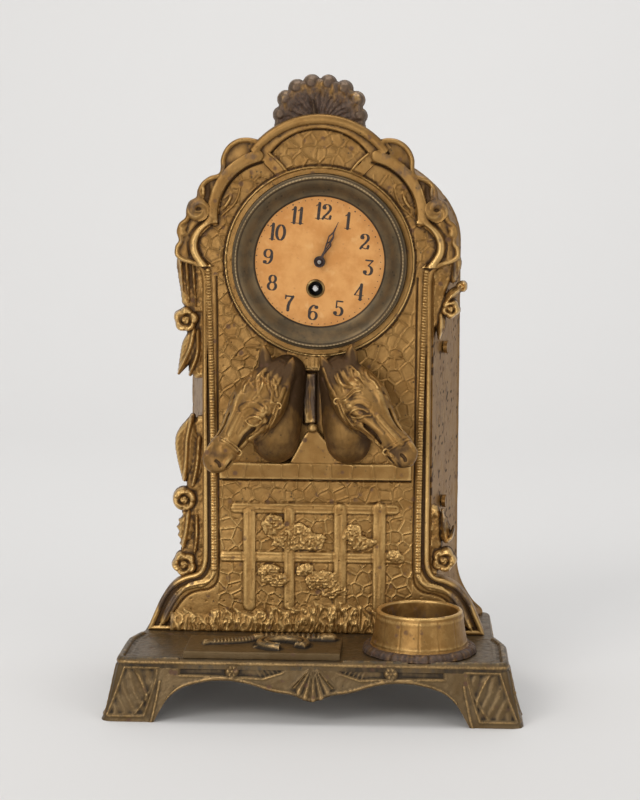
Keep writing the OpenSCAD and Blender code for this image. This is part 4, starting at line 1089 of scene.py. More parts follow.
class Clay:
    """A block of voxels holding a distance field, which shapes are pressed into."""

    def __init__(self, low: Sequence[float], high: Sequence[float], voxel: float) -> None:
        """Makes an empty block.

        Args:
            low: lower corner.
            high: upper corner.
            voxel: size of a cell.
        """
        self.voxel = voxel
        self.low = np.asarray(low, np.float32)
        self.axes = [np.arange(a, b + voxel, voxel, dtype=np.float32) for a, b in zip(low, high)]
        self.d = np.full([len(a) for a in self.axes], 9, np.float32)

    def part(self, low: Array, high: Array) -> tuple[tuple, list[Array]]:
        """The cells of a box and their coordinates, ready to broadcast.

        Args:
            low: lower corner.
            high: upper corner.

        Returns:
            The cells, and their coordinates along each axis.
        """
        cells = tuple(
            slice(int(np.clip((a - l) / self.voxel - 1, 0, len(x))),
                  int(np.clip((b - l) / self.voxel + 2, 0, len(x))))
            for a, b, l, x in zip(low, high, self.low, self.axes))
        where = [x[c].reshape([-1 if k == i else 1 for k in range(3)])
                 for i, (x, c) in enumerate(zip(self.axes, cells))]
        return cells, where

    def press(self, cells: tuple, d: Array, blend: float = 0, cut: bool = False) -> None:
        """Joins a field to the block, or takes it away.

        Args:
            cells: the cells it covers.
            d: its distance field there.
            blend: width of the soft join.
            cut: whether it is taken away.
        """
        a = self.d[cells]
        if a.size == 0:
            return
        b = -d if cut else d
        sign = -1.0 if cut else 1.0
        a, b = a * sign, b * sign
        out = np.minimum(a, b)
        if blend:
            out = out - np.maximum(blend - np.abs(a - b), 0) ** 2 / (4 * blend)
        self.d[cells] = out * sign

    def ball(self, at: Sequence[float], radii: Sequence[float] | float, blend: float = 0,
             cut: bool = False, turn: Array | None = None) -> None:
        """Presses an ellipsoid.

        Args:
            at: its centre.
            radii: its half axes, or one radius.
            blend: width of the soft join.
            cut: whether it is taken away.
            turn: rows are its axes, if it is turned.
        """
        r = np.full(3, radii, float) if np.isscalar(radii) else np.asarray(radii, float)
        at = np.asarray(at, float)
        reach = r.max() + blend + 2 * self.voxel
        cells, (x, y, z) = self.part(at - reach, at + reach)
        q = [x - at[0], y - at[1], z - at[2]]
        if turn is not None:
            q = [q[0] * row[0] + q[1] * row[1] + q[2] * row[2] for row in turn]
        k0 = np.sqrt(sum((c / s) ** 2 for c, s in zip(q, r)))
        k1 = np.sqrt(sum((c / s**2) ** 2 for c, s in zip(q, r)))
        self.press(cells, k0 * (k0 - 1) / np.maximum(k1, 1e-4), blend, cut)

    def rope(self, points: Line, radii: Sequence[float] | float,
             blend: float = 0, cut: bool = False, smooth: bool = True) -> None:
        """Presses a rope of changing thickness.

        Args:
            points: points that it passes through.
            radii: thickness at those points, or one radius.
            blend: width of the soft join.
            cut: whether it is taken away.
            smooth: whether it curves through the points.
        """
        p = np.asarray(points, float)
        r = np.full(len(p), radii, float) if np.isscalar(radii) else np.asarray(radii, float)
        both = np.hstack([p, r[:, None]])
        both = curve(both, 4) if smooth and len(p) > 2 else both
        reach = both[:, 3].max() + blend + 2 * self.voxel
        cells, (x, y, z) = self.part(both[:, :3].min(0) - reach, both[:, :3].max(0) + reach)
        best = None
        for a, b in zip(both[:-1], both[1:]):
            e = b[:3] - a[:3]
            t = np.clip(((x - a[0]) * e[0] + (y - a[1]) * e[1] + (z - a[2]) * e[2])
                        / max(e @ e, 1e-9), 0, 1)
            d = np.sqrt((x - a[0] - t * e[0]) ** 2 + (y - a[1] - t * e[1]) ** 2
                        + (z - a[2] - t * e[2]) ** 2) - (a[3] + (b[3] - a[3]) * t)
            best = d if best is None else np.minimum(best, d)
        self.press(cells, best, blend, cut)

    def piece(self, name: str, hollow: float = 1.5, gain: float = 1.6) -> Piece:
        """Turns the block into a mesh with its relief mark.

        Args:
            name: the piece's name.
            hollow: size of the surroundings that the relief is measured against.
            gain: scale of the relief.

        Returns:
            The piece.
        """
        edge = 3.0 * self.voxel
        grid = vdb.FloatGrid()
        grid.background = edge
        grid.copyFromArray(np.clip(self.d, -edge, edge))
        points, _, quads = grid.convertToPolygons(0, 0)
        soft = blur(np.clip(self.d, -6, 6), (hollow / self.voxel,) * 3)
        i = np.clip(points, 0, np.array(self.d.shape) - 1.001)
        k = i.astype(int)
        f = i - k
        total = 0.0
        for corner in np.ndindex(2, 2, 2):
            w = np.prod([f[:, a] if c else 1 - f[:, a] for a, c in enumerate(corner)], 0)
            total = total + w * soft[tuple(k[:, a] + c for a, c in enumerate(corner))]
        verts = points * self.voxel + self.low
        relief = np.clip((total - 0.10 * hollow) * gain, -1.2, 1.2)
        return Piece(name, verts.astype(float), [quads[:, ::-1].astype(np.int64)],
                     {"relief": relief, "tarnish": np.zeros(len(verts))})


def stain(piece: Piece, at: Sequence[float], radii: Sequence[float] | float,
          strength: float) -> None:
    """Marks a worn patch on a piece.

    Args:
        piece: the piece.
        at: the patch's centre.
        radii: its half sizes, or one radius.
        strength: how bare it is, 0 to 1.
    """
    r = np.full(3, radii, float) if np.isscalar(radii) else np.asarray(radii, float)
    d = np.linalg.norm((piece.verts - np.asarray(at, float)) / r, axis=1)
    piece.marks["tarnish"] = np.maximum(piece.marks["tarnish"], strength * ramp(d, 1.2, 0.3))


NOISE = Noise(7)


# ----------------------------------------------------------------------- the casting

BROAD = [[29.6, 271.2], [36.4, 268.4], [42.5, 263.8], [46.7, 258.9], [49.5, 253.6],
         [51.1, 248.4], [51.6, 243.6], [51, 239.6]]


@dataclass
class CaseFront:
    """The ornate front: crazed wall, frame, arch, scrolls, fence, foliage and grass."""

    centre: float = -1.4
    depth: float = 9.0
    step: float = 0.4
    split_z: float = 113.6
    bead_pitch: float = 1.43
    half: float = 57.4
    soft: float = 1.1
    dial: tuple[float, float] = (-0.1, 218.9)
    ring_r: float = 47.4
    crown: tuple[float, float, float] = (-0.4, 249, 43)
    crown_in: tuple[float, float, float] = (-0.4, 247.6, 39.4)
    lunette: tuple[float, float, float] = (-0.4, 254.5, 30)

    def half_outline(self) -> Array:
        """Right half of the outline from the foot up to the lobe, about the centre line.

        Returns:
            Points, one a row.
        """
        foot = curve([[86, 30], [84.9, 33.5], [82.4, 39.5], [79.2, 46.5], [75.4, 52.2],
                      [71, 56.2], [66, 58.6], [61.6, 59.8], [59, 62], [57.7, 66],
                      [self.half, 72]], 6)
        side = np.array([[self.half, 100], [self.half, 209]])
        top = curve([[self.half, 209], [58.4, 213.6], [61.6, 216.6], [67.6, 218.6],
                     [71, 221.6], [70.9, 226.2], [69.2, 229.2], [70.2, 233.4], [69, 237.6],
                     [65.8, 240.6], [65.4, 244.6], [63.8, 248.6], [60.4, 250.7], [59.7, 254.2],
                     [57.6, 258], [53.6, 261], [49.2, 262.4], [48.1, 265.2], [48, 269.6],
                     [46.4, 273.9], [43.6, 277.3], [39.5, 279.6], [35, 280.2],
                     [31.4, 279.6]], 6)
        return np.vstack([foot, side, top])

    def outline(self) -> Array:
        """The whole outline.

        Returns:
            Points, one a row.
        """
        right = self.half_outline()
        left = right[::-1] * [-1, 1]
        cx, cz, r = self.crown
        top = arc((cx, cz), r, 44.5, 135.5, 40)
        return np.vstack([right + [self.centre, 0], top, left + [self.centre, 0]])

    def model(self) -> Relief:
        """Builds the height map.

        Returns:
            The map.
        """
        r = Relief((-89, 29.5), (87, 292.8), self.step)
        u, v = r.u, r.v
        xs = u - self.centre
        ax = np.abs(xs)
        self.edge = inside_outline(u, v, self.outline())
        paving = crazing(u, v, 6.4, 11)
        smooth = 0.10 * NOISE.layers(u, 0, v, 12)
        crazed = (ax < 49.5) & (v < 262)
        r.h = np.where(crazed, paving, 0) + smooth
        radius = np.hypot(u - self.dial[0], v - self.dial[1])
        self.shoulders(r, xs, paving + smooth, radius)
        self.borders(r, ax)
        self.ring(r, radius)
        self.stable(r)
        self.fence(r)
        self.grass(r)
        for side in (-1, 1):
            for x, z, radii, strength in ((62, 250, (9, 13), 0.46), (43, 264, (9, 5), 0.42),
                                          (74, 46, (9, 16), 0.46)):
                r.stain((-2.0 + side * x, z), radii, strength)
        # Painted shade on the strip and wall between the necks.
        r.stain((-3, 152), (9, 17), 0.50)
        r.groove([[-49.9, 108.6], [46.3, 108.6]], 0.5, 0.9, smooth=False)
        r.h += 0.05 * NOISE.layers(u, 0, v, 2.2)
        r.h -= 0.35 * ramp(NOISE.at(u, 3, v, 1.3), 0.72, 0.9)
        return r

    def borders(self, r: Relief, ax: Array) -> None:
        """Rolled edge, channel, ribbed strip and dark line up each side.

        Args:
            r: the height map.
            ax: distances from the centre line.
        """
        line = np.array([[76.5, 32.5], [72.6, 39], [68.4, 45.4], [64, 49.2], [59, 50.9],
                         [54.6, 51.7], [51, 54.4], [49.5, 60], [49.3, 75], [49.6, 110],
                         [49.8, 160], [49.9, 190], [50.2, 211]])
        strip = np.array([[51.9, 62.6], [51.9, 75], [52, 100], [52.5, 140],
                          [53.4, 180], [54.2, 205], [54.6, 214]])
        foot = np.array([[51.9, 63.5], [52.6, 58.6], [55.6, 55.4], [60.4, 54.4], [65.8, 52.6],
                         [70, 48.6], [74, 42.4], [78.2, 34]])
        low = (r.v < 216) & (ax > 49.2)
        r.put(low & (self.edge < 1), 0.15)
        channel = -1.25 * ramp(self.edge, -4.9, -3.6) * ramp(self.edge, -1.5, -2.4)
        r.put(low & (r.v < 214), r.h + channel)
        lip = 1.1 * bead(self.edge + 1.2, 1.35) - 0.3
        r.put(low & (self.edge > -2.5) & (self.edge < 0.6), np.maximum(r.h, lip))
        for s in (1, -1):
            mirror = lambda points: points * [s, 1] + [self.centre, 0]
            part, d, place, _ = r.along(mirror(curve(strip)), 2.5)
            roll = 0.95 * bead(d, 1.55) + 0.30 * bead(d, 1.6) * np.cos(
                place * FULL_TURN / self.bead_pitch)
            r.lift(part, roll + 0.1, d < 1.6)
            for shift, half, high in ((0, 1, 0.9), (-2, 0.65, 0.5), (2.1, 0.7, 0.6)):
                moved = mirror(curve(foot + np.array([0.62, -0.75]) * shift))
                part, d, place, _ = r.along(moved, 2)
                fade = ramp(place, 0, 4)
                r.lift(part, high * bead(d, half) * fade, d < half)
            part, d, _, _ = r.along(mirror(curve(line)), 2)
            r.h[part] -= 0.85 * hump(d, 0.42)

    def shoulders(self, r: Relief, xs: Array, crazed: Array, radius: Array) -> None:
        """Arch band, lunette and lobes, then what each flank carries.

        Args:
            r: the height map.
            xs: places right of the centre line.
            crazed: heights of the crazed wall.
            radius: distances from the dial's centre.
        """
        u, v, edge = r.u, r.v, self.edge
        ax = np.abs(xs)
        to_arc = lambda spec: np.hypot(u - spec[0], v - spec[1]) - spec[2]
        out, inner, pane = to_arc(self.crown), to_arc(self.crown_in), to_arc(self.lunette)
        rise = v - np.abs(u - self.lunette[0])
        upper = v > 216
        # Smooth outer metal of the shoulders, then the lobes' dished faces.
        outer = upper & (ax > 50.5) & (edge < 1)
        fold = 0.35 * np.sin(ax * 0.9 + 0.25 * v) + 0.5 * NOISE.layers(u, 0, v, 7)
        rim = 1.0 * bead(edge + 1.2, 1.3)
        r.put(outer, 0.7 + fold * ramp(edge, -0.5, -3))
        within = inside_outline(u, v, np.array(
            [[self.centre + s * a, b] for s, pts in ((1, BROAD), (-1, BROAD[::-1]))
             for a, b in pts]))
        lobes = (v > 250) & (within > 0) & (edge < 1) & (out > -1)
        dish = 0.3 + 1.5 * ramp(edge, -3, -11)
        r.put(lobes, dish)
        r.put(upper & (ax > 30) & (edge < 1) & (edge > -2.6), np.maximum(r.h, rim + 0.5))
        # Crown: rounded band, flat band, dark line and the crazed lunette.
        crown = (rise > 240) & (ax < 39) & (radius > self.ring_r) & (out < 1.5)
        share = np.clip(inner / np.maximum(inner - out, 0.1), 0, 1)
        band = 0.8 + 1.5 * np.sqrt(np.clip(1 - (2 * share - 0.9) ** 2, 0, 1)) * ramp(ax, 39, 33)
        flat = np.where(inner > 0, band, 0.75)
        r.put(crown & ((inner > 0) | (ax < 34)), np.maximum(flat, r.h * (inner > 0)))
        window = crown & (pane < 0) & (rise > 247.6)
        r.put(window, crazed + 0.1)
        r.h -= np.where(crown & (rise > 247), 0.9 * hump(pane, 0.42), 0)
        for side in (1, -1):
            self.flank(r, side, crazed)
        r.stain((self.centre + 50, 258), (4, 7), 0.36)

    def flank(self, r: Relief, s: int, crazed: Array) -> None:
        """Broad band, lobe's curl, S curve, rose and bud of one side.

        Args:
            r: the height map.
            s: side, 1 for the viewer's right.
            crazed: heights of the crazed wall.
        """
        c = self.centre
        m = lambda pts: [[c + s * a, b] for a, b in pts]
        part, d, _, left = r.along(curve(m(BROAD)), 4)
        lean = 0.25 * np.clip(left * s / 2.9, -1, 1)
        h = 1.25 + 0.75 * np.sqrt(np.clip(1 - (d / 3) ** 4, 0, 1)) + lean
        r.lift(part, h, d < 3)
        r.moulding([[-0.7 + s * a, b] for a, b in ((24.6, 272.4), (19.4, 267.9),
                                                   (15.2, 262.6))], 0.75, 0.85, 0.55)
        r.groove(m([[27, 268.1], [33.5, 265.9], [39.8, 261.8], [44.2, 256.9],
                    [47.6, 250.8], [49, 245.2], [49.3, 240]]), 0.45, 1)
        # Crescent leaf inside the groove.
        r.moulding(m([[38.4, 256.9], [39.1, 252], [41.6, 247], [46.4, 242.6],
                      [48.8, 240.2]]), 0.6, 0.55, 0.1, taper=0.1)
        r.moulding(m([[42.8, 253.4], [43.4, 250], [45.4, 246.8], [47.9, 244.6]]), 0.9,
                   0.95, 0.2, taper=0.3)
        # Second lobe's curl.
        r.moulding(m([[57.4, 257], [56.6, 253.8], [57.2, 250.6]]), 1, 0.9, 1, taper=0.3)
        at = np.array([c + s * 54.6, 254])
        part = r.patch(at - 5, at + 5)
        hollow = np.hypot((r.u[part] - c - s * 54.4) / 1.3, (r.v[part] - 254) / 3.6)
        r.h[part] -= 1.3 * hump(hollow, 1)
        # S curve from the rose, and the lobed crazed panel inside it.
        panel = curve(m([[49.6, 243], [49.4, 237.2], [50.8, 236.6], [54.4, 235.4],
                         [57.2, 232.6], [58.8, 229.2], [59, 225.6], [57.4, 221.6],
                         [54.6, 218.4], [50, 216.4], [44, 224], [44, 238]]))
        r.put(inside_outline(r.u, r.v, panel) < 0, crazed)
        sweep = [[51.6, 241.6], [54.6, 237.8], [58, 234.6], [60.7, 230.9], [61.6, 227],
                 [60.9, 222.8], [58.4, 218.8], [55.2, 214.6]]
        r.moulding(m(sweep), 2.1, 1.5, 0.9, taper=0.06)
        r.groove(m([[49.6, 237.6], [53.6, 236.6], [57, 233.8], [59, 229.8],
                    [59.3, 225.4], [57.6, 221], [54.4, 217]]), 0.42, 0.9)
        r.groove(m([[54.6, 241.6], [57.6, 238], [61.4, 235], [63.9, 231],
                    [64.6, 226.4], [63.6, 221.6]]), 0.6, 0.7)
        self.cup(r, (c + s * 59.2, 244.5), 6, s)
        # Small bud outside the rose and the sag below it.
        r.moulding(m([[66.6, 237.6], [67.6, 234], [66, 230.4]]), 2.2, 1.2, 0.6, taper=0.3)
        for x, z, radii, worn in ((33, 271, (5, 3), 0.45), (67, 228, (4, 12), 0.32),
                                  (66, 247, (5, 6), 0.30)):
            r.stain((c + s * x, z), radii, worn)

    def cup(self, r: Relief, at: Sequence[float], size: float, side: int) -> None:
        """A cupped rose: a smooth ring round a dark hollow with a crescent in it.

        Args:
            r: the height map.
            at: its centre.
            size: its radius.
            side: side, 1 for the viewer's right.
        """
        part = r.patch((at[0] - size - 1, at[1] - size - 1), (at[0] + size + 1, at[1] + size + 1))
        du, dv = r.u[part] - at[0], r.v[part] - at[1]
        rad, ang = np.hypot(du, dv), np.arctan2(dv, du)
        reach = size * (0.98 + 0.02 * np.cos(5 * ang + 0.6 * side))
        h = 1.0 + 1.1 * bead(rad - reach * 0.62, reach * 0.48)
        h += 0.35 * np.sin(2 * ang + 1.5 * rad) * ramp(rad, 0.2 * size, 0.5 * size)
        bowl = np.hypot(du / 1.35, dv + 0.3)
        h -= 1.1 * hump(bowl, size * 0.26)
        crescent = np.hypot(du / 1.3, dv - 0.8)
        h = np.maximum(h, np.where(dv < 0.2, 0.4 + 1.0 * bead(crescent - size * 0.30, 0.7), -9))
        r.h[part] = np.where(rad < reach, h, r.h[part])

    def ring(self, r: Relief, radius: Array) -> None:
        """Flat ring and thin bright edge that the bezel stands in.

        Args:
            r: the height map.
            radius: distances from the dial's centre.
        """
        line = 0.9 + 0.5 * bead(radius - (self.ring_r - 0.5), 0.55)
        r.put(radius < self.ring_r, line)
        r.h -= 0.45 * hump(radius - self.ring_r - 0.5, 0.45)

    def stable(self, r: Relief) -> None:
        """Dark opening behind the necks, with painted shade in it, and the strip that hangs in it.

        Args:
            r: the height map.
        """
        u, v = r.u, r.v
        cx = -4.2
        opening = ramp(np.abs(u - cx), 15.5, 13.5) * ramp(v, 164.6, 163.2) * ramp(v, 117, 119)
        r.h = r.h * (1 - opening) - 3.0 * opening
        grain = 0.25 * NOISE.at(u / 0.6, 0, v / 3, 1.6)
        strip = 2.6 * ramp(np.abs(u + 4.7), 3.5, 2.6) * ramp(v, 137, 138) * ramp(v, 163.4, 162.4)
        r.put((strip > 0.1) & (opening > 0.2), np.maximum(r.h, strip - 3.0 + grain))
        plate = ramp(np.abs(u + 4.6), 12, 11.2) * ramp(v, 165.2, 165.8) * ramp(v, 174.5, 173.5)
        r.put(plate > 0.1, np.maximum(r.h, 0.5 * plate + grain * 0.5))
        # Painted shade in the opening behind the necks.
        r.stain((cx, 150), (12, 16), 0.25)

    def fence(self, r: Relief) -> None:
        """Low rails and posts with their grain, and clumps of leaves.

        Args:
            r: the height map.
        """
        u, v = r.u, r.v
        grain = 0.09 * NOISE.at(u / 12, 0, v, 0.8) + 0.07 * NOISE.at(u / 6, 5, v, 1.6)
        for z, x0, x1 in ((94, -44.6, 40.6), (68.9, -50, 43.4)):
            part, d, _, _ = r.along(np.array([[x0 + 2.4, z], [x1 - 2.4, z]]), 4)
            h = 0.55 * np.clip((1 - (d / 2.7) ** 6), 0, 1) ** 0.5 + grain[part]
            h -= 0.12 * hump(np.abs(r.v[part] - z) - 0.9, 0.3)
            r.lift(part, h, d < 2.7)
            ring = (d > 2.7) & (d < 3.9)
            r.h[part] = np.where(ring, r.h[part] - 0.22 * hump(d - 3.1, 0.45), r.h[part])
        upright = 0.08 * NOISE.at(u, 0, v / 12, 0.8) + 0.06 * NOISE.at(
            u, 3, v / 6, 1.7)
        for x, top, wide in ((-35.1, 93.9, 3.3), (-14.9, 95, 2.8), (11, 96.9, 3.3),
                             (30.8, 97.6, 3.4)):
            part, d, _, _ = r.along(np.array([[x, 44], [x, top - wide]]), 5)
            h = 0.68 * np.clip((1 - (d / wide) ** 6), 0, 1) ** 0.5 + upright[part]
            r.lift(part, h, d < wide)
            r.h[part] = np.where(d > wide, r.h[part] - 0.18 * hump(d - wide - 0.35, 0.4),
                                 r.h[part])
        leaf = NOISE.at(u, 0, v, 1.5)
        finer = NOISE.at(u, 9, v, 0.85)
        ragged = NOISE.layers(u, 6, v, 5)
        clumps = ((-23, 84.5, 5.6, 6.2), (-16, 78.5, 9, 5.6), (-5, 77.5, 8.6, 4.4),
                  (-8.5, 82, 5.5, 4), (-26, 61.5, 5.6, 3.2), (-21.5, 57.2, 7.2, 3.6),
                  (-7, 62.5, 4.6, 3.4), (1.5, 57.5, 8.8, 5), (7.5, 51.8, 6.2, 4.6),
                  (17.5, 80.5, 4.2, 5), (23, 77, 6.4, 3.6), (38.8, 70.6, 4, 2.8))
        for cu, cv, ru, rv in clumps:
            part = r.patch((cu - ru * 1.6, cv - rv * 1.6), (cu + ru * 1.6, cv + rv * 1.6))
            du, dv = (u[part] - cu) / ru, (v[part] - cv) / rv
            rad = np.hypot(du, dv) + 0.55 * ragged[part] + 0.12 * leaf[part]
            grainy = 0.50 + 0.62 * np.abs(leaf[part]) + 0.55 * np.abs(finer[part])
            h = 1.25 * np.clip(1.08 - rad, 0, 1) ** 0.4 * grainy
            r.lift(part, h + 0.35, rad < 1.05)

    def grass(self, r: Relief) -> None:
        """Swirling tufts of grass along the foot, bushier in the middle.

        Args:
            r: the height map.
        """
        u, v = r.u, r.v
        tips = NOISE.at(u + 0.8 * (v - 38), 4, 0, 2.2)
        top = 41.0 + 1.2 * NOISE.at(u, 0, 0, 7) + 4.4 * hump(u - 4, 24) + 1.9 * tips
        level = ramp(v, top, top - 1.9)
        lean = 2.6 * NOISE.at(u, 5, v / 1.6, 8) + 0.9 * NOISE.at(u, 1, v, 3.5)
        stems = 0.85 * (1 - np.abs(NOISE.at(u + lean, 2, v / 3.4, 1.9))) ** 2
        stems += 0.45 * (1 - np.abs(NOISE.at(u + 0.6 * lean, 7, v / 3, 1))) ** 2
        bush = 0.8 * np.abs(NOISE.at(u, 2, v, 3.6)) * hump(u - 4, 28)
        h = (0.3 + 0.8 * ramp(v, top, 32)) * level + (bush + stems) * level
        r.put((level > 0) & (np.abs(u - self.centre) < 74), np.maximum(r.h, h))

    def build(self, material: Material) -> None:
        """Cuts the map to the outline and places its two halves.

        Args:
            material: the finish.
        """
        r = self.model()
        edge = self.edge
        # The relief mark is softened at the top. Painted light raises it towards the foot so the
        # lower front reads lighter, and painted shade lowers it at the top.
        relief = r.cavity(1.5, 1.1) * (1 - 0.35 * ramp(r.v, 215, 245))
        relief += 0.26 * ramp(r.v, 112, 80) - 0.10 * ramp(r.v, 215, 245)
        hole = self.ring_r - 3.5 - np.hypot(r.u - self.dial[0], r.v - self.dial[1])
        height = r.h - eased(edge, self.soft)
        for name, low, high in (("front_lower", 0, self.split_z),
                                ("front_upper", self.split_z, FAR)):
            cols = np.where((r.axes[1] > low - 1) & (r.axes[1] < high + 1))[0]
            c0, c1 = cols[0], cols[-1] + 1
            pick = lambda a: a[:, c0:c1].ravel()
            value = np.maximum.reduce([pick(edge), pick(hole), low - pick(r.v),
                                       pick(r.v) - high])
            if low == 0.0:
                value = np.maximum(value, BASE_TOP - pick(r.v))
            faces = grid_faces(r.u.shape[0], c1 - c0)
            faces, blend = clip(faces, value)
            x, z, h = (blend(pick(f)) for f in (r.u, r.v, height))
            front = np.stack([x, FACE_Y - h, z], 1)
            marks = {"relief": blend(pick(relief)), "tarnish": blend(pick(r.tarnish))}
            piece = capped(name, front, FACE_Y + self.depth, faces, marks)
            piece.place(material, "case", "gilt_casting", ["front_casting"])


@dataclass
class CaseBody:
    """The splayed sides and arched top behind the front, as one shell."""

    front_y: float = 7.0
    back_y: float = 53.0
    wall: float = 3.4
    rows: int = 60
    left: tuple[float, float] = (-58.6, -69.3)
    right: tuple[float, float] = (56, 70.9)
    top: float = 277.0
    arch_z: float = 227.0

    def half_outline(self) -> Array:
        """Half outline at width 1, from the foot up to the crown.

        Returns:
            Points, one a row.
        """
        foot = curve([[1.20, 30], [1.19, 33], [1.12, 38], [1.05, 46], [1.01, 54],
                      [1, 60]], 8)
        side = np.stack([np.ones(120), np.linspace(61.4, self.arch_z, 120)], 1)
        a = np.radians(np.linspace(1.5, 90, 70))
        top = np.stack([np.cos(a), self.arch_z + (self.top - self.arch_z) * np.sin(a)], 1)
        return np.vstack([foot, side, top])

    def build(self, material: Material) -> None:
        """Builds the shell and places it.

        Args:
            material: the finish.
        """
        half = self.half_outline()
        floor = np.stack([np.linspace(-1.2, 1.2, 42)[1:-1], np.full(40, BASE_TOP)], 1)
        loop = np.vstack([half, (half[:-1] * [-1, 1])[::-1], floor])
        n = len(loop)
        normal = outward(np.roll(loop * [60, 1], -1, 0) - np.roll(loop * [60, 1], 1, 0))
        rows = []
        for k in range(self.rows):
            y = self.front_y + (self.back_y - self.front_y) * k / (self.rows - 1)
            t = (y - FACE_Y) / (self.back_y - FACE_Y)
            wide_l = self.left[0] + (self.left[1] - self.left[0]) * t
            wide_r = self.right[0] + (self.right[1] - self.right[0]) * t
            x = np.where(loop[:, 0] < 0, -loop[:, 0] * wide_l, loop[:, 0] * wide_r)
            z = loop[:, 1]
            lumps = 0.15 * NOISE.layers(x * 0.6, y, z, 7)
            pits = -0.25 * ramp(NOISE.at(x, y, z, 1.5), 0.50, 0.9)
            ridge = 0.5 * hump(y - self.back_y + 1.6, 1.2)
            out = (lumps + pits) * ramp(z, 31, 36) + ridge
            soft = max(0, y - (self.back_y - 0.9))
            x = x + normal[:, 0] * (out - soft * 0.8)
            z = z + normal[:, 1] * (out - soft * 0.8)
            rows.append(np.stack([x, np.full(n, y), np.maximum(z, BASE_TOP)], 1))
        inner = []
        for y in (self.back_y, self.front_y + 0.4):
            t = (y - FACE_Y) / (self.back_y - FACE_Y)
            wide = 57.7 + 11.8 * t - self.wall
            x = loop[:, 0] * wide
            z = np.clip(loop[:, 1], BASE_TOP + self.wall, None)
            z = np.where(z > self.arch_z, self.arch_z + (z - self.arch_z) * (
                self.top - self.arch_z - self.wall) / (self.top - self.arch_z), z)
            inner.append(np.stack([x, np.full(n, y), z], 1))
        skin = np.stack([*rows, *inner])
        quads = hoop_faces(len(skin), n)[:, [0, 3, 2, 1]]
        verts = skin.reshape(-1, 3)
        lump = NOISE.at(verts[:, 0], verts[:, 1], verts[:, 2], 1.9)
        relief = np.clip(-ramp(lump, 0.35, 0.8) + 0.15, -1, 1)
        edge = ramp(verts[:, 1], 12, 6) * (verts[:, 0] > 0)
        piece = Piece("case_body", verts, [quads], {
            "relief": relief, "tarnish": 0.12 + 0.16 * edge})
        stain(piece, (63, 24, 150), (16, 40, 40), 0.34)
        piece.place(material, "case", "gilt_casting", ["front_casting"], crease=35)


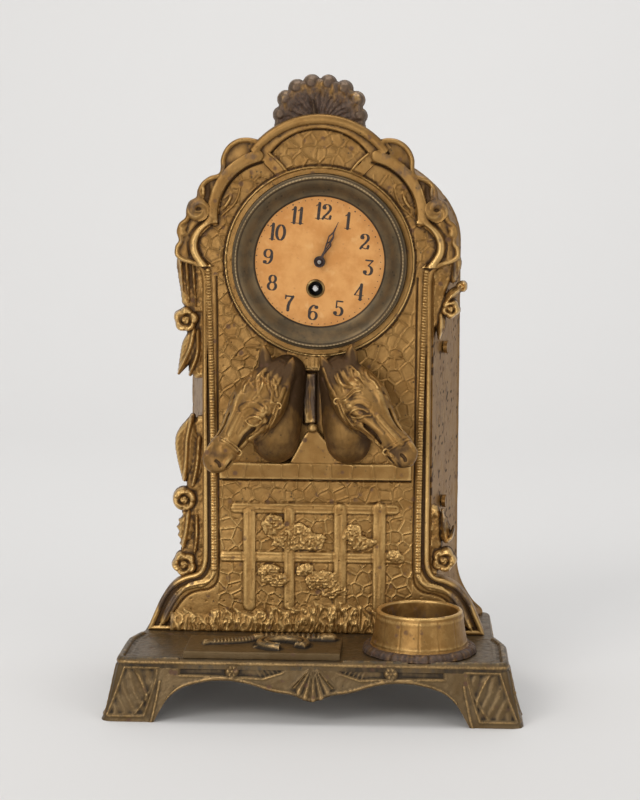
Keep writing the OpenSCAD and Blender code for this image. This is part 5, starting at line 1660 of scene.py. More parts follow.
class Spray:
    """A thin two-sided sheet of ornament: heights in front of a plane, and behind it."""

    def __init__(self, low: Sequence[float], high: Sequence[float], y: float,
                 step: float, depth: float = 3.2) -> None:
        """Lays out an empty sheet.

        Args:
            low: lower corner, X and Z.
            high: upper corner, X and Z.
            y: the plane.
            step: size of a cell.
            depth: how far the back lies behind the plane.
        """
        self.map = Relief(low, high, step)
        self.map.h -= 60.0
        self.y, self.depth = y, depth

    def press(self, part: tuple, outside: Array, level: Array, soft: float = 1.4) -> None:
        """Adds a shape with a rounded rim.

        Args:
            part: the cells it covers.
            outside: distance outside its outline, negative within.
            level: its height there.
            soft: radius of its rim.
        """
        rise = 1 - np.clip(1 + outside / soft, 0, 1)
        share = np.sqrt(np.clip(1 - (1 - rise) ** 2, 0, 1))
        h = -self.depth + (level + self.depth) * share
        h = np.where(outside > 0, -self.depth - 3 * outside, h)
        self.map.h[part] = np.maximum(self.map.h[part], h)

    def rose(self, at: Sequence[float], size: float, seed: float, high: float = 2.4,
             petals: int = 5, square: float = 0) -> None:
        """A rose seen from the front: petals, a dark ring and a button.

        Args:
            at: its centre.
            size: its radius.
            seed: turns it.
            high: how far it stands out.
            petals: how many petals.
            square: how far its outline is squared.
        """
        m = self.map
        part = m.patch(np.array(at) - size - 2, np.array(at) + size + 2)
        du, dv = m.u[part] - at[0], m.v[part] - at[1]
        rad, ang = np.hypot(du, dv), np.arctan2(dv, du) + seed
        crease = hump(np.abs(np.sin(petals * ang / 2)), 0.16)
        reach = size * (0.94 - 0.06 * np.cos(petals * ang) + square * np.cos(4 * ang))
        level = high + 1.3 * bead(rad - 0.66 * size, 0.38 * size)
        level -= 1.0 * crease * ramp(rad, 0.35 * size, 0.8 * size)
        level -= 0.6 * hump(rad - 0.37 * size, 0.11 * size)
        level += 0.7 * NOISE.layers(m.u[part], seed, m.v[part], 2.2)
        level = np.where(rad < 0.29 * size, high + 0.5 + 1.0 * bead(rad, 0.29 * size), level)
        level += 0.25 * np.sin(3 * ang + 2.2 * rad)
        self.press(part, rad - reach, level, 1.9)

    def leaf(self, points: Line, widths: Sequence[float],
             high: float = 1.6, folds: int = 1, lobes: float = 0) -> None:
        """A leaf along a line, with a rib down it.

        Args:
            points: points that its rib passes through.
            widths: half widths at those points.
            high: its level.
            folds: number of soft folds either side of the rib.
            lobes: how deep its edge is cut, in millimetres.
        """
        both = curve(np.hstack([np.asarray(points, float), np.asarray(widths)[:, None]]), 8)
        path = both[:, :2]
        steps = np.concatenate([[0], np.cumsum(np.linalg.norm(np.diff(path, axis=0), axis=1))])
        part, d, place, left = self.map.along(path, max(widths) + 3)
        half = np.interp(place, steps, both[:, 2])
        half = half - lobes * np.abs(np.sin(place * 0.75))
        share = np.clip(d / np.maximum(half, 0.3), 0, 1)
        level = high + 1.1 * np.cos(share * folds * math.pi) * (1 - 0.35 * share)
        level += 0.7 * hump(left, 0.6) - 0.5 * hump(np.abs(left) - 1.4, 0.5)
        level += 0.22 * np.cos((np.abs(left) * 1.3 - place) * 1.9) * share
        self.press(part, d - half, level)

    def mass(self, outline: Line, level: float) -> None:
        """The lumpy ground that the ornament grows from.

        Args:
            outline: its outline.
            level: its height.
        """
        m = self.map
        part = m.patch(np.min(outline, 0) - 3, np.max(outline, 0) + 3)
        out = inside_outline(m.u[part], m.v[part], np.asarray(outline, float))
        out = out + 0.7 * NOISE.layers(m.u[part], 0, m.v[part], 5)
        lumps = 0.9 * NOISE.layers(m.u[part], 3, m.v[part], 4)
        self.press(part, out, level + lumps, 2.2)

    def piece(self, name: str) -> Piece:
        """Closes the sheet with its back, which bulges where it is broad.

        Args:
            name: the piece's name.

        Returns:
            The piece.
        """
        m = self.map
        body = blur((m.h > -self.depth).astype(float), (2.2 / m.step,) * 2)
        h = m.h + 0.10 * NOISE.layers(m.u, 0, m.v, 1.6)
        bulge = self.depth + 2.2 * np.clip(body - 0.5, 0, 1) * ramp(h, -self.depth, 0)
        level = np.maximum(m.h, -self.depth)
        relief = np.clip((level - blur(level, (1.3 / m.step,) * 2)) * 0.95, -1.2, 1.2)
        value = np.clip(-(h + self.depth), -6, 6).ravel()
        faces, mix = clip(grid_faces(*m.u.shape), value)
        x, z = mix(m.u), mix(m.v)
        front = np.stack([x, self.y - np.maximum(mix(np.maximum(h, -self.depth)), -self.depth),
                          z], 1)
        back = np.stack([x, self.y + mix(bulge), z], 1)
        marks = {"relief": mix(relief), "tarnish": mix(m.tarnish)}
        return slab(name, front, back, faces, marks)


@dataclass
class EdgeOrnament:
    """Roses and leaves that stand out from the front's edges, one spray a side."""

    y: float = 8.5
    step: float = 0.36

    def left(self) -> Piece:
        """Builds the viewer's left side: drapery, roses and leaves.

        Returns:
            The piece.
        """
        s = Spray((-78, 52), (-53, 236), self.y, self.step)
        for low, high in ((57, 140), (159, 231)):
            s.mass([[-66.6, low + 4], [-63, low], [-55.5, low], [-55.5, high],
                    [-62, high], [-66.8, high - 5]], 0.4)
        s.mass([[-69, 231], [-72, 226.5], [-72.4, 217], [-71, 207], [-70, 198],
                [-66, 192], [-56, 192], [-56, 232]], 1.2)
        for x, z0, z1 in ((-69.6, 203, 226.5), (-66.6, 198, 231), (-63.2, 196, 230)):
            s.leaf([[x + 1, z1], [x - 0.4, (z0 + z1) / 2 + 5], [x + 0.8, z0]],
                   [1, 2, 0.8], 1.5)
        s.rose((-67.4, 189.1), 6.9, 0.4)
        s.mass([[-67.6, 185], [-67, 174], [-63, 160], [-56, 159], [-56, 186]],
               0.8)
        s.leaf([[-63.6, 183], [-65.6, 174.5], [-71.6, 161.6]], [3, 4.7, 0.7], 1.9, folds=1)
        s.leaf([[-61.5, 182], [-61.8, 172], [-65.8, 161]], [3, 4, 0.8], 1.4)
        s.leaf([[-64.6, 139.8], [-67, 129], [-67.6, 118.5], [-68.6, 107.6]],
               [1.4, 6.2, 5.2, 1.6], 1.6)
        s.mass([[-70.5, 86], [-70.8, 64], [-58, 60], [-58, 86]], 0.8)
        s.mass([[-68, 126], [-68, 104], [-67.5, 90], [-67, 70], [-56, 60],
                [-56, 136], [-63, 137]], 0.7)
        s.leaf([[-61, 128], [-62, 116], [-64.2, 105]], [3, 4.2, 2], 1.4)
        s.rose((-68.6, 97.4), 6.8, 0.2, 2.3, petals=4, square=0.05)
        s.leaf([[-66.6, 90], [-67.6, 82], [-69.8, 70.6]], [3.8, 5.6, 1.2], 1.5, lobes=1.1)
        s.leaf([[-62.4, 88], [-62.4, 78], [-63.6, 69.5]], [2.6, 3.8, 1.6], 1, lobes=0.7)
        s.rose((-68.8, 63.9), 6.9, 1.1)
        for z, r in ((172, 6), (64, 7), (222, 7)):
            s.map.stain((-66, z), (9, r), 0.22)
        return s.piece("ornament_left")

    def right(self) -> Piece:
        """Builds the viewer's right side: buds, a flower, leaf tips and a rose.

        Returns:
            The piece.
        """
        s = Spray((50, 52), (78, 230), self.y, self.step)
        s.mass([[55, 184], [60, 186.5], [62, 192], [63.5, 204], [66.6, 212],
                [67, 224], [55, 226]], 0.3)
        s.mass([[55, 58], [60.5, 59.5], [62, 66], [62.4, 80], [62, 91],
                [60.4, 96], [55, 97]], 0.5)
        s.leaf([[64, 226], [66.8, 219], [66.8, 210]], [2.4, 3.8, 1.8], 1)
        s.leaf([[63.4, 199], [66.4, 203], [70.6, 206.4]], [2.4, 2.6, 1.6], 1.2)
        s.rose((71, 206.8), 3, 0, 1.4, petals=3)
        s.rose((65.4, 195.6), 5.2, 0.9, 2)
        s.leaf([[60.6, 192], [60.6, 186], [60, 180.6]], [2.6, 2.4, 0.8], 0.8)
        s.leaf([[62.6, 93], [63.4, 86], [64.4, 79.4]], [0.7, 3, 3.2], 1.4, lobes=0.5)
        s.leaf([[65.2, 78], [67.2, 80], [68.6, 84.4]], [2.2, 1.6, 0.5], 1.3)
        s.rose((63.6, 67.9), 6.8, 0.7)
        for z, r in ((217, 9), (86, 6)):
            s.map.stain((65, z), (9, r), 0.34)
        return s.piece("ornament_right")

    def build(self, material: Material) -> None:
        """Models and places the sprays of both sides."""
        for piece in (self.left(), self.right()):
            piece.place(material, "case", "gilt_casting", ["front_casting"], crease=60)


@dataclass
class ShellCrest:
    """Dished shell with round lobes and ragged flutes, on top of the arch."""

    y: float = 8.4
    step: float = 0.3
    foot: tuple[float, float] = (-1, 286)

    def build(self, material: Material) -> None:
        """Models and places the crest.

        Args:
            material: the finish.
        """
        s = Spray((-28, 280), (27, 314), self.y, self.step, 3.6)
        m = s.map
        lobes = np.array([[-20, 291.6], [-17.4, 299.2], [-11.9, 304.6], [-4.6, 307],
                          [3.5, 306.8], [11.5, 304.2], [17.4, 298.8], [19, 291]])
        reach = 1.0 + 2.6 / np.hypot(*(lobes - self.foot).T)[:, None]
        outline = np.vstack([[-23.6, 284], (lobes - self.foot) * reach + self.foot,
                             [22.4, 284]])
        out = inside_outline(m.u, m.v, outline)
        du, dv = m.u - self.foot[0], m.v - self.foot[1]
        ang = np.degrees(np.arctan2(du, np.maximum(dv, 0.1)))
        rad = np.hypot(du, dv)
        turn = np.degrees(np.arctan2(*(lobes - self.foot).T))
        level = 0.6 + 1.5 * ramp(rad, 12, 19.5)
        for a in turn:
            level += 0.5 * hump((ang - a) * rad / RADIAN, 1.5) * ramp(rad, 3, 9)
        for a in np.concatenate([turn, (turn[:-1] + turn[1:]) / 2]):
            bent = (ang - a) * rad / RADIAN + 0.5 * NOISE.at(m.u, 3, m.v, 3)
            level -= 0.45 * hump(bent, 0.45) * ramp(rad, 4, 8) * ramp(rad, 18, 15)
        level += 0.5 * NOISE.layers(m.u, 0, m.v, 2.4)
        s.press(np.s_[:, :], out, level, 1.6)
        for k, (x, z) in enumerate(lobes):
            part = m.patch((x - 6, z - 6), (x + 6, z + 6))
            near = np.hypot(m.u[part] - x, m.v[part] - z)
            r = 4.5 if 0 < k < 7 else 4.1
            swell = 2.1 + 1.1 * bead(near, r) + 0.3 * NOISE.at(m.u[part], 0, m.v[part], 2)
            dent = np.hypot(m.u[part] - x + 0.4, m.v[part] - z - 0.3)
            swell -= 0.35 * hump(dent - 2.6, 0.7)
            s.press(part, near - r, swell, 3)
        s.leaf([[-2.8, 288.4], [-3.2, 293.6], [-3.9, 298.6]], [2.4, 1.9, 0.9], 2.4)
        s.leaf([[-19.6, 285.6], [-1, 288.6], [17.8, 285.2]], [1.4, 2.2, 1.4], 1.9)
        m.stain((-1, 290), (34, 20), 0.70)
        m.stain((-1, 304), (34, 12), 0.52)
        piece = s.piece("shell_crest")
        piece.marks["relief"] = np.clip(piece.marks["relief"] * 1.2 - 0.15, -1.2, 1.2)
        piece.place(material, "case", "gilt_casting", ["front_casting"], crease=60)


class Side(Enum):
    """Which of the two heads."""

    LEFT = -1
    RIGHT = 1


# Ropes of one cheek: points by share of the face, offset and height, then the radii,
# the blend and whether it is cut. Cheek bone, brow and the hollow of the face; then the
# nostril's rim, the line of the mouth and the lower lip.
CHEEK_LINES = (
    (((0.52, 8.2, -0.8), (0.64, 6.6, -1.6), (0.74, 5.8, -1.6)), (1.5, 1.1, 0.6), 1.8, False),
    (((0.30, 7.6, 5.2), (0.42, 7, 5.6), (0.54, 5, 5), (0.70, 3.4, 4)),
     (1.5, 1.9, 1.3, 0.9), 1.8, False),
    (((0.56, 6.6, 2.6), (0.66, 5.4, 2.2), (0.78, 5, 1.6)), (1.1, 1.2, 0.7), 2.2, True),
    (((0.875, 5.6, 2.6), (0.945, 5.5, 2.8), (0.99, 5.2, 0.6), (0.95, 6.2, -1.4),
      (0.89, 6.5, -0.6)), (1, 1.25, 1.2, 1, 0.8), 1.1, False),
    (((1.03, 1.5, -3), (0.97, 5.2, -3.6), (0.88, 6.2, -4.2), (0.80, 6.2, -4)),
     (0.5, 0.55, 0.55, 0.3), 0.7, True),
    (((1, 4.4, -2.1), (0.90, 5.9, -2.8), (0.81, 6, -3)), (0.9, 0.8, 0.5), 0.8, False))
STROKES = {"strap": (0.90, 0.34), "cord": (0.42, 0.34), "lock": (0.65, 0.28),
           "lid": (0.48, 0.48), "ridge": (1.3, 0.28), "cut": (0.60, -0.35),
           "deep": (0.85, -1.00)}
LEFT_LINES = {
    "strap": [[(-18.5, 150), (-16.8, 154.5), (-15.4, 158.6)],
              [(-36.5, 127.1), (-37.8, 125), (-38.4, 123.3)]],
    "cord": [[(-18, 149.4), (-19.8, 144.6), (-23.4, 137.2), (-27.2, 132.9)],
             [(-19.4, 150.2), (-21.2, 145.4), (-25.1, 137), (-28.6, 132.6)],
             [(-46.9, 134.4), (-43.2, 132.6), (-40.2, 130.6), (-37.5, 128.4)],
             [(-46.7, 132.9), (-43.2, 131.2), (-40.4, 129.2), (-38.1, 127)],
             [(-27.9, 132.7), (-32, 129.9), (-36.5, 127.1)],
             [(-18.5, 150), (-22.5, 152.4), (-26.5, 152.8), (-31, 151)]],
    "lock": [[(-36.1, 169.6), (-35, 166.8), (-33.2, 162.4), (-31.3, 159.2)],
             [(-28.8, 164.7), (-29.4, 160), (-27.2, 154), (-24.1, 148.7)],
             [(-26, 166), (-26.2, 161), (-28, 156.4), (-30.4, 153.6)],
             [(-23.6, 165.4), (-23, 160), (-21.4, 156), (-21.8, 151.6)],
             [(-31.8, 166.5), (-33, 162.6), (-34.6, 160.2), (-35.4, 157.2)],
             [(-20.8, 163), (-19.4, 158.4), (-18.8, 155)]],
    "lid": [[(-34.7, 142.3), (-32.6, 143.9), (-30, 144.5), (-27.8, 143.9), (-26.2, 142.6)],
            [(-34.5, 142.2), (-32.4, 140.4), (-30, 139.8), (-27.8, 140.8), (-26.4, 142.3)]],
    "ridge": [[(-36.3, 148.7), (-33.2, 150.4), (-29.6, 150.2), (-26.5, 148.1)],
              [(-38.2, 145.6), (-40.6, 140.8), (-42.6, 135.7)],
              [(-45.5, 156.1), (-43, 158.5), (-39.3, 160.4)],
              [(-24.5, 139.5), (-27.6, 135.8), (-32, 133.4)]],
    "cut": [[(-37.8, 125.8), (-39, 122.6), (-40.9, 119.6), (-43.4, 117), (-45.9, 115.2)],
            [(-35.8, 144), (-37, 140), (-38.6, 136.4)],
            [(-24.6, 145.6), (-23.4, 142), (-24.8, 138.4)]],
    "deep": [[(-49, 122.4), (-47.6, 121.2), (-47.2, 119.8)]],
    "ring": [[(-18.5, 150), (-38, 126.6)]]}
RIGHT_LINES = {
    "strap": [[(10.2, 152.5), (8, 156.8), (6, 160.5), (3.5, 168.4)],
              [(34.6, 127.3), (37.6, 125.8)]],
    "cord": [[(10, 151.9), (13.2, 144.1), (19.4, 136.6), (26.9, 132.2), (33.1, 128)],
             [(10.8, 153.2), (14.6, 145.2), (20.5, 137.8), (27.5, 133.5), (33.6, 129.2)],
             [(11, 153.4), (14.5, 155.2), (18.1, 158.7), (21.2, 159.2)],
             [(11.4, 152.2), (15, 153.8), (18.6, 157.1), (21.6, 157.7)],
             [(37.6, 156.8), (40, 151.9), (43.1, 147), (46.1, 137.2)],
             [(34, 129.6), (37.6, 131.8), (41, 134), (45.6, 136.2)],
             [(34.8, 128), (38.2, 130.2), (41.6, 132.4), (46, 134.6)]],
    "lock": [[(13.3, 167.6), (14.6, 164.4), (16.3, 161.7), (19, 160.6), (21.8, 160.5)],
             [(20.6, 167.2), (21.4, 164.8), (23, 162.9), (25.2, 161.4), (27.3, 158.7)],
             [(17, 168.4), (18, 164.6), (20.6, 162.8), (23.6, 160)],
             [(24.2, 168), (25.4, 164.6), (28.2, 162.4), (30.2, 159.4)],
             [(10.4, 166), (11.6, 162.6), (13.6, 160.2), (16.4, 159.4)]],
    "lid": [[(16.2, 145.8), (17.8, 148), (20.4, 148.9), (23, 148.6), (25.2, 147.3)],
            [(16.4, 145.6), (18.6, 144.6), (21.4, 144.4), (24, 145.6), (26.6, 145.8)]],
    "ridge": [[(30.3, 145.2), (34, 141), (38.2, 136.6), (41.9, 132.3)],
              [(15.6, 150.2), (18.6, 152.2), (22.2, 152.4), (25.6, 150.6)],
              [(19.4, 141.6), (24, 139.4), (28.6, 136)]],
    "cut": [[(37.6, 125.8), (39.6, 123), (41.9, 119.9)],
            [(15.7, 153.3), (19, 155.6), (22.4, 156.4)],
            [(27.6, 145.2), (30.2, 141), (33.6, 137.4)]],
    "deep": [[(42, 126.4), (43.3, 125.2), (43.9, 123.7)]],
    "ring": [[(10.2, 152.5), (34.4, 127.8)]]}


@dataclass
class HorseHead:
    """One bridled horse's head on its neck, modelled in clay."""

    side: Side
    neck: tuple[float, float]
    poll: Point
    muzzle: Point
    crown: Point
    ears: tuple[Point, Point]
    lines: dict[str, list[list[tuple[float, float]]]]
    length: float = 57.0
    voxel: float = 0.40
    eye: Point = (52, -992, 272.9)
    sheet: float = -25.0

    def __post_init__(self) -> None:
        """Works out the head's own axes: along the face, across it and out of the brow."""
        self.origin = np.asarray(self.poll, float)
        self.along = unit(np.asarray(self.muzzle) - self.origin)
        self.across = unit(np.cross(self.along, np.asarray(self.crown)))
        self.up = np.cross(self.across, self.along)
        self.axes = np.stack([self.along, self.across, self.up])

    def at(self, a: float, s: float, u: float) -> Array:
        """A point by its share of the length, its offset across and its height."""
        return self.origin + self.along * a * self.length + self.across * s + self.up * u

    def local(self, x: Array, y: Array, z: Array) -> list[Array]:
        """Coordinates along, across and up, in millimetres."""
        q = [x - self.origin[0], y - self.origin[1], z - self.origin[2]]
        return [q[0] * w[0] + q[1] * w[1] + q[2] * w[2] for w in self.axes]

    def skull(self, clay: Clay) -> None:
        """Main form of the head: one lofted section after another.

        Args:
            clay: the block.
        """
        rows = np.array([
            [-0.14, 4, 3, 4], [-0.06, 7.6, 5, 8], [0.06, 10.4, 6.2, 11],
            [0.16, 12, 7.2, 13.4], [0.26, 12.8, 7.8, 14.4], [0.36, 12.7, 7.8, 13.4],
            [0.46, 11.4, 7.2, 11], [0.56, 9.4, 6.4, 8.8], [0.66, 7.9, 5.7, 7.2],
            [0.76, 7.4, 5.1, 6.5], [0.86, 7.6, 4.9, 6.6], [0.93, 7.3, 4.4, 6.2],
            [0.99, 5.8, 3.4, 4.8], [1.03, 3.6, 2, 2.8], [1.06, 0.8, 0.6, 0.8]])
        cells, (x, y, z) = clay.part(clay.low, clay.low + 200)
        a, s, u = self.local(x, y, z)
        t = a / self.length
        wide, brow, jaw = (np.interp(t, rows[:, 0], rows[:, i]).astype(np.float32)
                           for i in (1, 2, 3))
        tall = np.where(u > 0, brow, jaw)
        power = np.where(u > 0, 2.1, 2)
        rho = ((np.abs(s) / wide) ** power + (np.abs(u) / tall) ** power) ** (1 / power)
        r = np.sqrt(s * s + u * u)
        d = r - r / np.maximum(rho, 1e-3)
        d = np.maximum(d, np.maximum(-0.14 * self.length - a, a - 1.06 * self.length))
        clay.press(cells, d.astype(np.float32), 0)

    def neck_form(self, clay: Clay) -> None:
        """Smooth neck from its seat on the case up into the cheek.

        Args:
            clay: the block.
        """
        k = self.side.value
        x = self.neck[0]
        clay.rope([self.at(0.05, 0, -7), (x - k * 4, 2.5, 163), (x - k * 1.5, 1, 150),
                   (x + k * 0.5, 0, 138), (x + k * 1.5, 1, 129)], (8.5, 9.5, 11, 12.2, 11.2), 3.5)
        clay.rope([self.at(0.22, k * 1, -9), (x + k * 5.5, -5, 146), (x + k * 1.5, -3, 134)],
                  (7.5, 8, 7.5), 4)

    def features(self, clay: Clay) -> None:
        """Brow, eyes, cheeks, nostrils, mouth and chin.

        Args:
            clay: the block.
        """
        ball, rope, at = clay.ball, clay.rope, self.at
        rope([at(0.22, 0, 5.8), at(0.5, 0, 4.4), at(0.86, 0, 3.2)], (3.6, 3, 2.8), 2.5)
        ball(at(0.985, 0, -0.4), (4.6, 5.9, 4), 2, turn=self.axes)
        ball(at(0.92, 0, -5.6), (5.2, 4.4, 2.6), 1.8, turn=self.axes)
        ball(at(0.84, 0, -7), (3.4, 3.4, 2), 1.8, turn=self.axes)
        for k in (-1, 1):
            ball(at(0.30, k * 7.4, -4.6), (12.5, 5.2, 8.6), 2.8, turn=self.axes)
            for points, radii, blend, cut in CHEEK_LINES[:3]:
                rope([at(a, k * s, u) for a, s, u in points], radii, blend, cut=cut)
            # A soft socket and the eyeball.
            ball(at(0.445, k * 11.2, 3.2), (4, 1.8, 2.4), 2.2, cut=True, turn=self.axes)
            ball(at(0.45, k * 8.6, 3), (2.5, 2, 2), 0.25, turn=self.axes)
            for points, radii, blend, cut in CHEEK_LINES[3:]:
                rope([at(a, k * s, u) for a, s, u in points], radii, blend, cut=cut)
                if len(points) == 5:
                    ball(at(0.935, k * 6.2, 0.9), (2.5, 2.4, 1.45), 0.5, cut=True,
                         turn=self.axes)
        rope([at(1.035, -1.6, -3), at(1.04, 0, -3), at(1.035, 1.6, -3)], 0.5, 0.6, cut=True)

    def ear(self, clay: Clay, root: Array, tip: Array, k: float) -> None:
        """One pricked ear, hollowed on its front.

        Args:
            clay: the block.
            root: where it leaves the poll.
            tip: its tip.
            k: side of the head, -1 or 1.
        """
        way = tip - root
        front = unit(np.array([0.25 * self.side.value, -1, 0.25]) + self.across * k * 0.2)
        front = unit(front - way * (front @ way) / (way @ way))
        points = [root - way * 0.30, root + way * 0.08, root + way * 0.38, root + way * 0.68, tip]
        clay.rope(points, (3.2, 3.6, 3.2, 2.2, 0.5), 1.2)
        hollow = [root + way * f + front * o for f, o in
                  ((0.10, 4.9), (0.34, 4.8), (0.60, 3.8), (0.84, 2.3))]
        clay.rope(hollow, (1.1, 1.6, 1.2, 0.4), 1.4, cut=True)

    def lock(self, clay: Clay, points: Sequence[Array], thick: float) -> None:
        """One tapering wavy lock of hair.

        Args:
            clay: the block.
            points: points that it passes through.
            thick: its radius at the root.
        """
        n = len(points)
        radii = [thick * (0.75 + 0.25 * math.sin(i)) * (1 - 0.75 * i / (n - 1)) for i in range(n)]
        clay.rope(points, radii, 1)

    def hair(self, clay: Clay) -> None:
        """Forelock over the brow and tufts beside the ears.

        Args:
            clay: the block.
        """
        at = self.at
        rng = np.random.default_rng(5 + self.side.value)
        for i in range(9):
            s = -5.0 + 10.0 * i / 8
            wave = 1.3 * math.sin(i * 1.9)
            reach = 0.17 + 0.16 * (1 - abs(s) / 6) + rng.uniform(-0.02, 0.03)
            points = [at(-0.08, s * 0.5, 4.2), at(0.02, s * 0.8 + wave * 0.3, 6.2),
                      at(reach * 0.55, s + wave * 0.6, 7.1),
                      at(reach * 0.82, s * 1.1 - wave * 0.4, 7.3),
                      at(reach, s * 1.2 + wave * 0.3, 7)]
            self.lock(clay, [p - self.up * 0.5 for p in points], 1.1)
        for k in (-1, 1):
            for i in range(4):
                f = i / 3
                start = at(-0.02 + 0.05 * i, k * (5.4 + 2.6 * f), 3.0 - 2.0 * f)
                points = [start, start + self.across * k * 2.4 + self.along * 2,
                          start + self.across * k * 3.4 + self.along * 5.0 - self.up * 2,
                          start + self.across * k * 2.8 + self.along * 8.0 - self.up * 4]
                self.lock(clay, [p - self.up * 0.6 for p in points], 1.1)

    def strokes(self, clay: Clay) -> None:
        """Straps, lids, brows and locks as the photograph shows them, on the front skin.

        Args:
            clay: the block.
        """
        slope = np.gradient(clay.d, axis=1) / self.voxel
        where = np.nonzero((np.abs(clay.d) < 2.4) & (slope < -0.05))
        x, y, z = (axis[i] for axis, i in zip(clay.axes, where))
        facing = ramp(-slope[where], 0.05, 0.35)
        keep = y < min(self.poll[1], -6) + 6.0
        k = (self.sheet - self.eye[1]) / (y - self.eye[1])
        px = self.eye[0] + (x - self.eye[0]) * k
        pz = self.eye[2] + (z - self.eye[2]) * k
        rise = np.zeros_like(px)
        for kind, (half, height) in STROKES.items():
            for line in self.lines.get(kind, []):
                path = curve(line, 5) if len(line) > 2 else np.asarray(line, float)
                low, high = path.min(0) - half - 0.5, path.max(0) + half + 0.5
                box = np.nonzero((px > low[0]) & (px < high[0]) & (pz > low[1])
                                 & (pz < high[1]))[0]
                best = np.full(len(box), 9)
                for start, end in zip(path[:-1], path[1:]):
                    best = np.minimum(best, to_stretch(px[box], pz[box], start, end)[0])
                lift = height * bead(best, half)
                if height > 0:
                    rise[box] = np.maximum(rise[box], lift)
                    rim = 0.30 * hump(best - half - 0.35, 0.35)
                    rise[box] = np.where(rise[box] <= 0, -rim, rise[box])
                else:
                    rise[box] = rise[box] + lift
        clay.d[where] -= np.where(keep, rise * facing, 0)

    def rings(self, clay: Clay) -> None:
        """Bridle rings where the straps meet, laid on the skin.

        Args:
            clay: the block.
        """
        for cx, cz in self.lines["ring"][0]:
            best = None
            for y in np.arange(-45, 0, 0.5):
                k = (y - self.eye[1]) / (self.sheet - self.eye[1])
                p = np.array([self.eye[0] + (cx - self.eye[0]) * k, y,
                              self.eye[2] + (cz - self.eye[2]) * k])
                i = ((p - clay.low) / self.voxel).astype(int)
                if np.any(i < 0) or np.any(i >= clay.d.shape):
                    continue
                if clay.d[tuple(i)] < 0.4:
                    best = p
                    break
            if best is None:
                continue
            side, lift = np.array([1.5, 0, 0]), unit([0, -0.15, 1]) * 1.5
            ring = [best + side * math.cos(t) + lift * math.sin(t)
                    for t in np.linspace(0, FULL_TURN, 15)]
            clay.rope(ring, 0.42, 0.4, smooth=False)

    def build(self, material: Material) -> None:
        """Models the head and places it.

        Args:
            material: the finish.
        """
        k = self.side.value
        pts = np.array([self.origin, self.at(1.06, 0, 0), *self.ears,
                        (self.neck[0], 4, self.neck[1])])
        low = pts.min(0) - [17, 12, 15]
        high = pts.max(0) + [17, 4, 5]
        low[2], high[1] = max(low[2], 112), 6.5
        name = "head_" + self.side.name.lower()
        clay = Clay(low, high, self.voxel)
        for shape in (self.skull, self.neck_form, self.features):
            shape(clay)
        root = [self.at(0, 6, 3), self.at(0, -6, 3)]
        tips = [np.asarray(t, float) for t in self.ears]
        if np.linalg.norm(tips[0] - root[0]) > np.linalg.norm(tips[0] - root[1]):
            tips.reverse()
        for r, t, way in zip(root, tips, (1, -1)):
            self.ear(clay, r, t, way)
        for shape in (self.hair, self.strokes, self.rings):
            shape(clay)
        cells, (x, y, z) = clay.part(low, high)
        clay.d[cells] += 0.08 * NOISE.layers(x, y, z, 2.4)
        clay.d[cells] = np.maximum(clay.d[cells], y - SEAT_Y)
        clay.d[cells] = np.maximum(clay.d[cells], 117.6 - z)
        piece = clay.piece(name, 1.4, 1.1)
        x, y, z = piece.verts.T
        share = self.local(x, y, z)[0] / self.length
        # Painted shade on the neck under the head, near the wall: the relief mark is flattened and
        # lowered there.
        shade_under_head = ramp(y, -16, -8) * ramp(z, 172, 160)
        crown = 0.78 * ramp(share, 0.15, 0) + 0.40 * ramp(share, 0.80, 0.98)
        dark = piece.marks["relief"] * (1 - 0.75 * shade_under_head) - 0.40 * shade_under_head - crown + 0.06
        if k > 0:
            dark -= 0.30 * hump(self.local(x, y, z)[1] - 5, 4) * ramp(share, 0.3, 0.5)
        piece.marks["relief"] = np.clip(dark, -1.2, 1.2)
        piece.place(material, "case", "gilt_casting", [f"horse_{name}"], crease=70)


@dataclass
class StableLedge:
    """Ledge with faint stone joints, and the panel with its boss between the necks."""

    low: tuple[float, float] = (-49.9, 109.4)
    high: tuple[float, float] = (46.5, 117.6)
    proud: float = 3.4
    voxel: float = 0.4

    def build(self, material: Material) -> None:
        """Sculpts and places the ledge.

        Args:
            material: the finish.
        """
        clay = Clay((-53, -3.5, 106), (50, 5.5, 142), self.voxel)
        cells, (x, y, z) = clay.part(clay.low, clay.low + 200)
        one = np.ones_like(x * y * z)
        mid = [(a + b) / 2 for a, b in zip(self.low, self.high)]
        half = [(b - a) / 2 for a, b in zip(self.low, self.high)]
        front = FACE_Y - self.proud
        slope = front + 0.07 * (self.high[1] - z)
        lump = 0.16 * NOISE.layers(x, y, z, 5)
        box = np.maximum(np.maximum(np.abs(x - mid[0]) - half[0] + 1,
                                    np.abs(z - mid[1]) - half[1] + 1),
                         np.maximum(slope + 1 - y, y - 4.6)) - 1.0 + lump
        clay.press(cells, box, 0)
        rng = np.random.default_rng(3)
        at = self.low[0] + 4
        while at < self.high[0] - 3:
            lean = rng.uniform(-2, 2)
            clay.rope([(at, front + 0.55, 110.6), (at + lean, front + 0.15, 116.6)], 0.40, 0.4)
            at += rng.uniform(7, 12)
        path = np.array([(-14.6, 117.4), (13.8, 117.4), (1.4, 131.4), (-1.4, 134.8),
                         (-4.6, 134.8), (-7.2, 131.4)])
        d2 = inside_outline(x * one, z * one, path) + 0.4
        plate = np.maximum(d2, np.maximum(1.6 - y, y - 4.6)) - 0.5
        clay.press(cells, plate, 0.6)
        clay.ball((-3.1, 1.4, 135.6), (2.7, 1.8, 2.2), 0.6)
        clay.d[cells] = np.maximum(clay.d[cells], y - SEAT_Y)
        piece = clay.piece("door_ledge", 1.3, 1.2)
        piece.place(material, "case", "gilt_casting", ["stable_ledge"], crease=60)


# ------------------------------------------------------------------------- the base

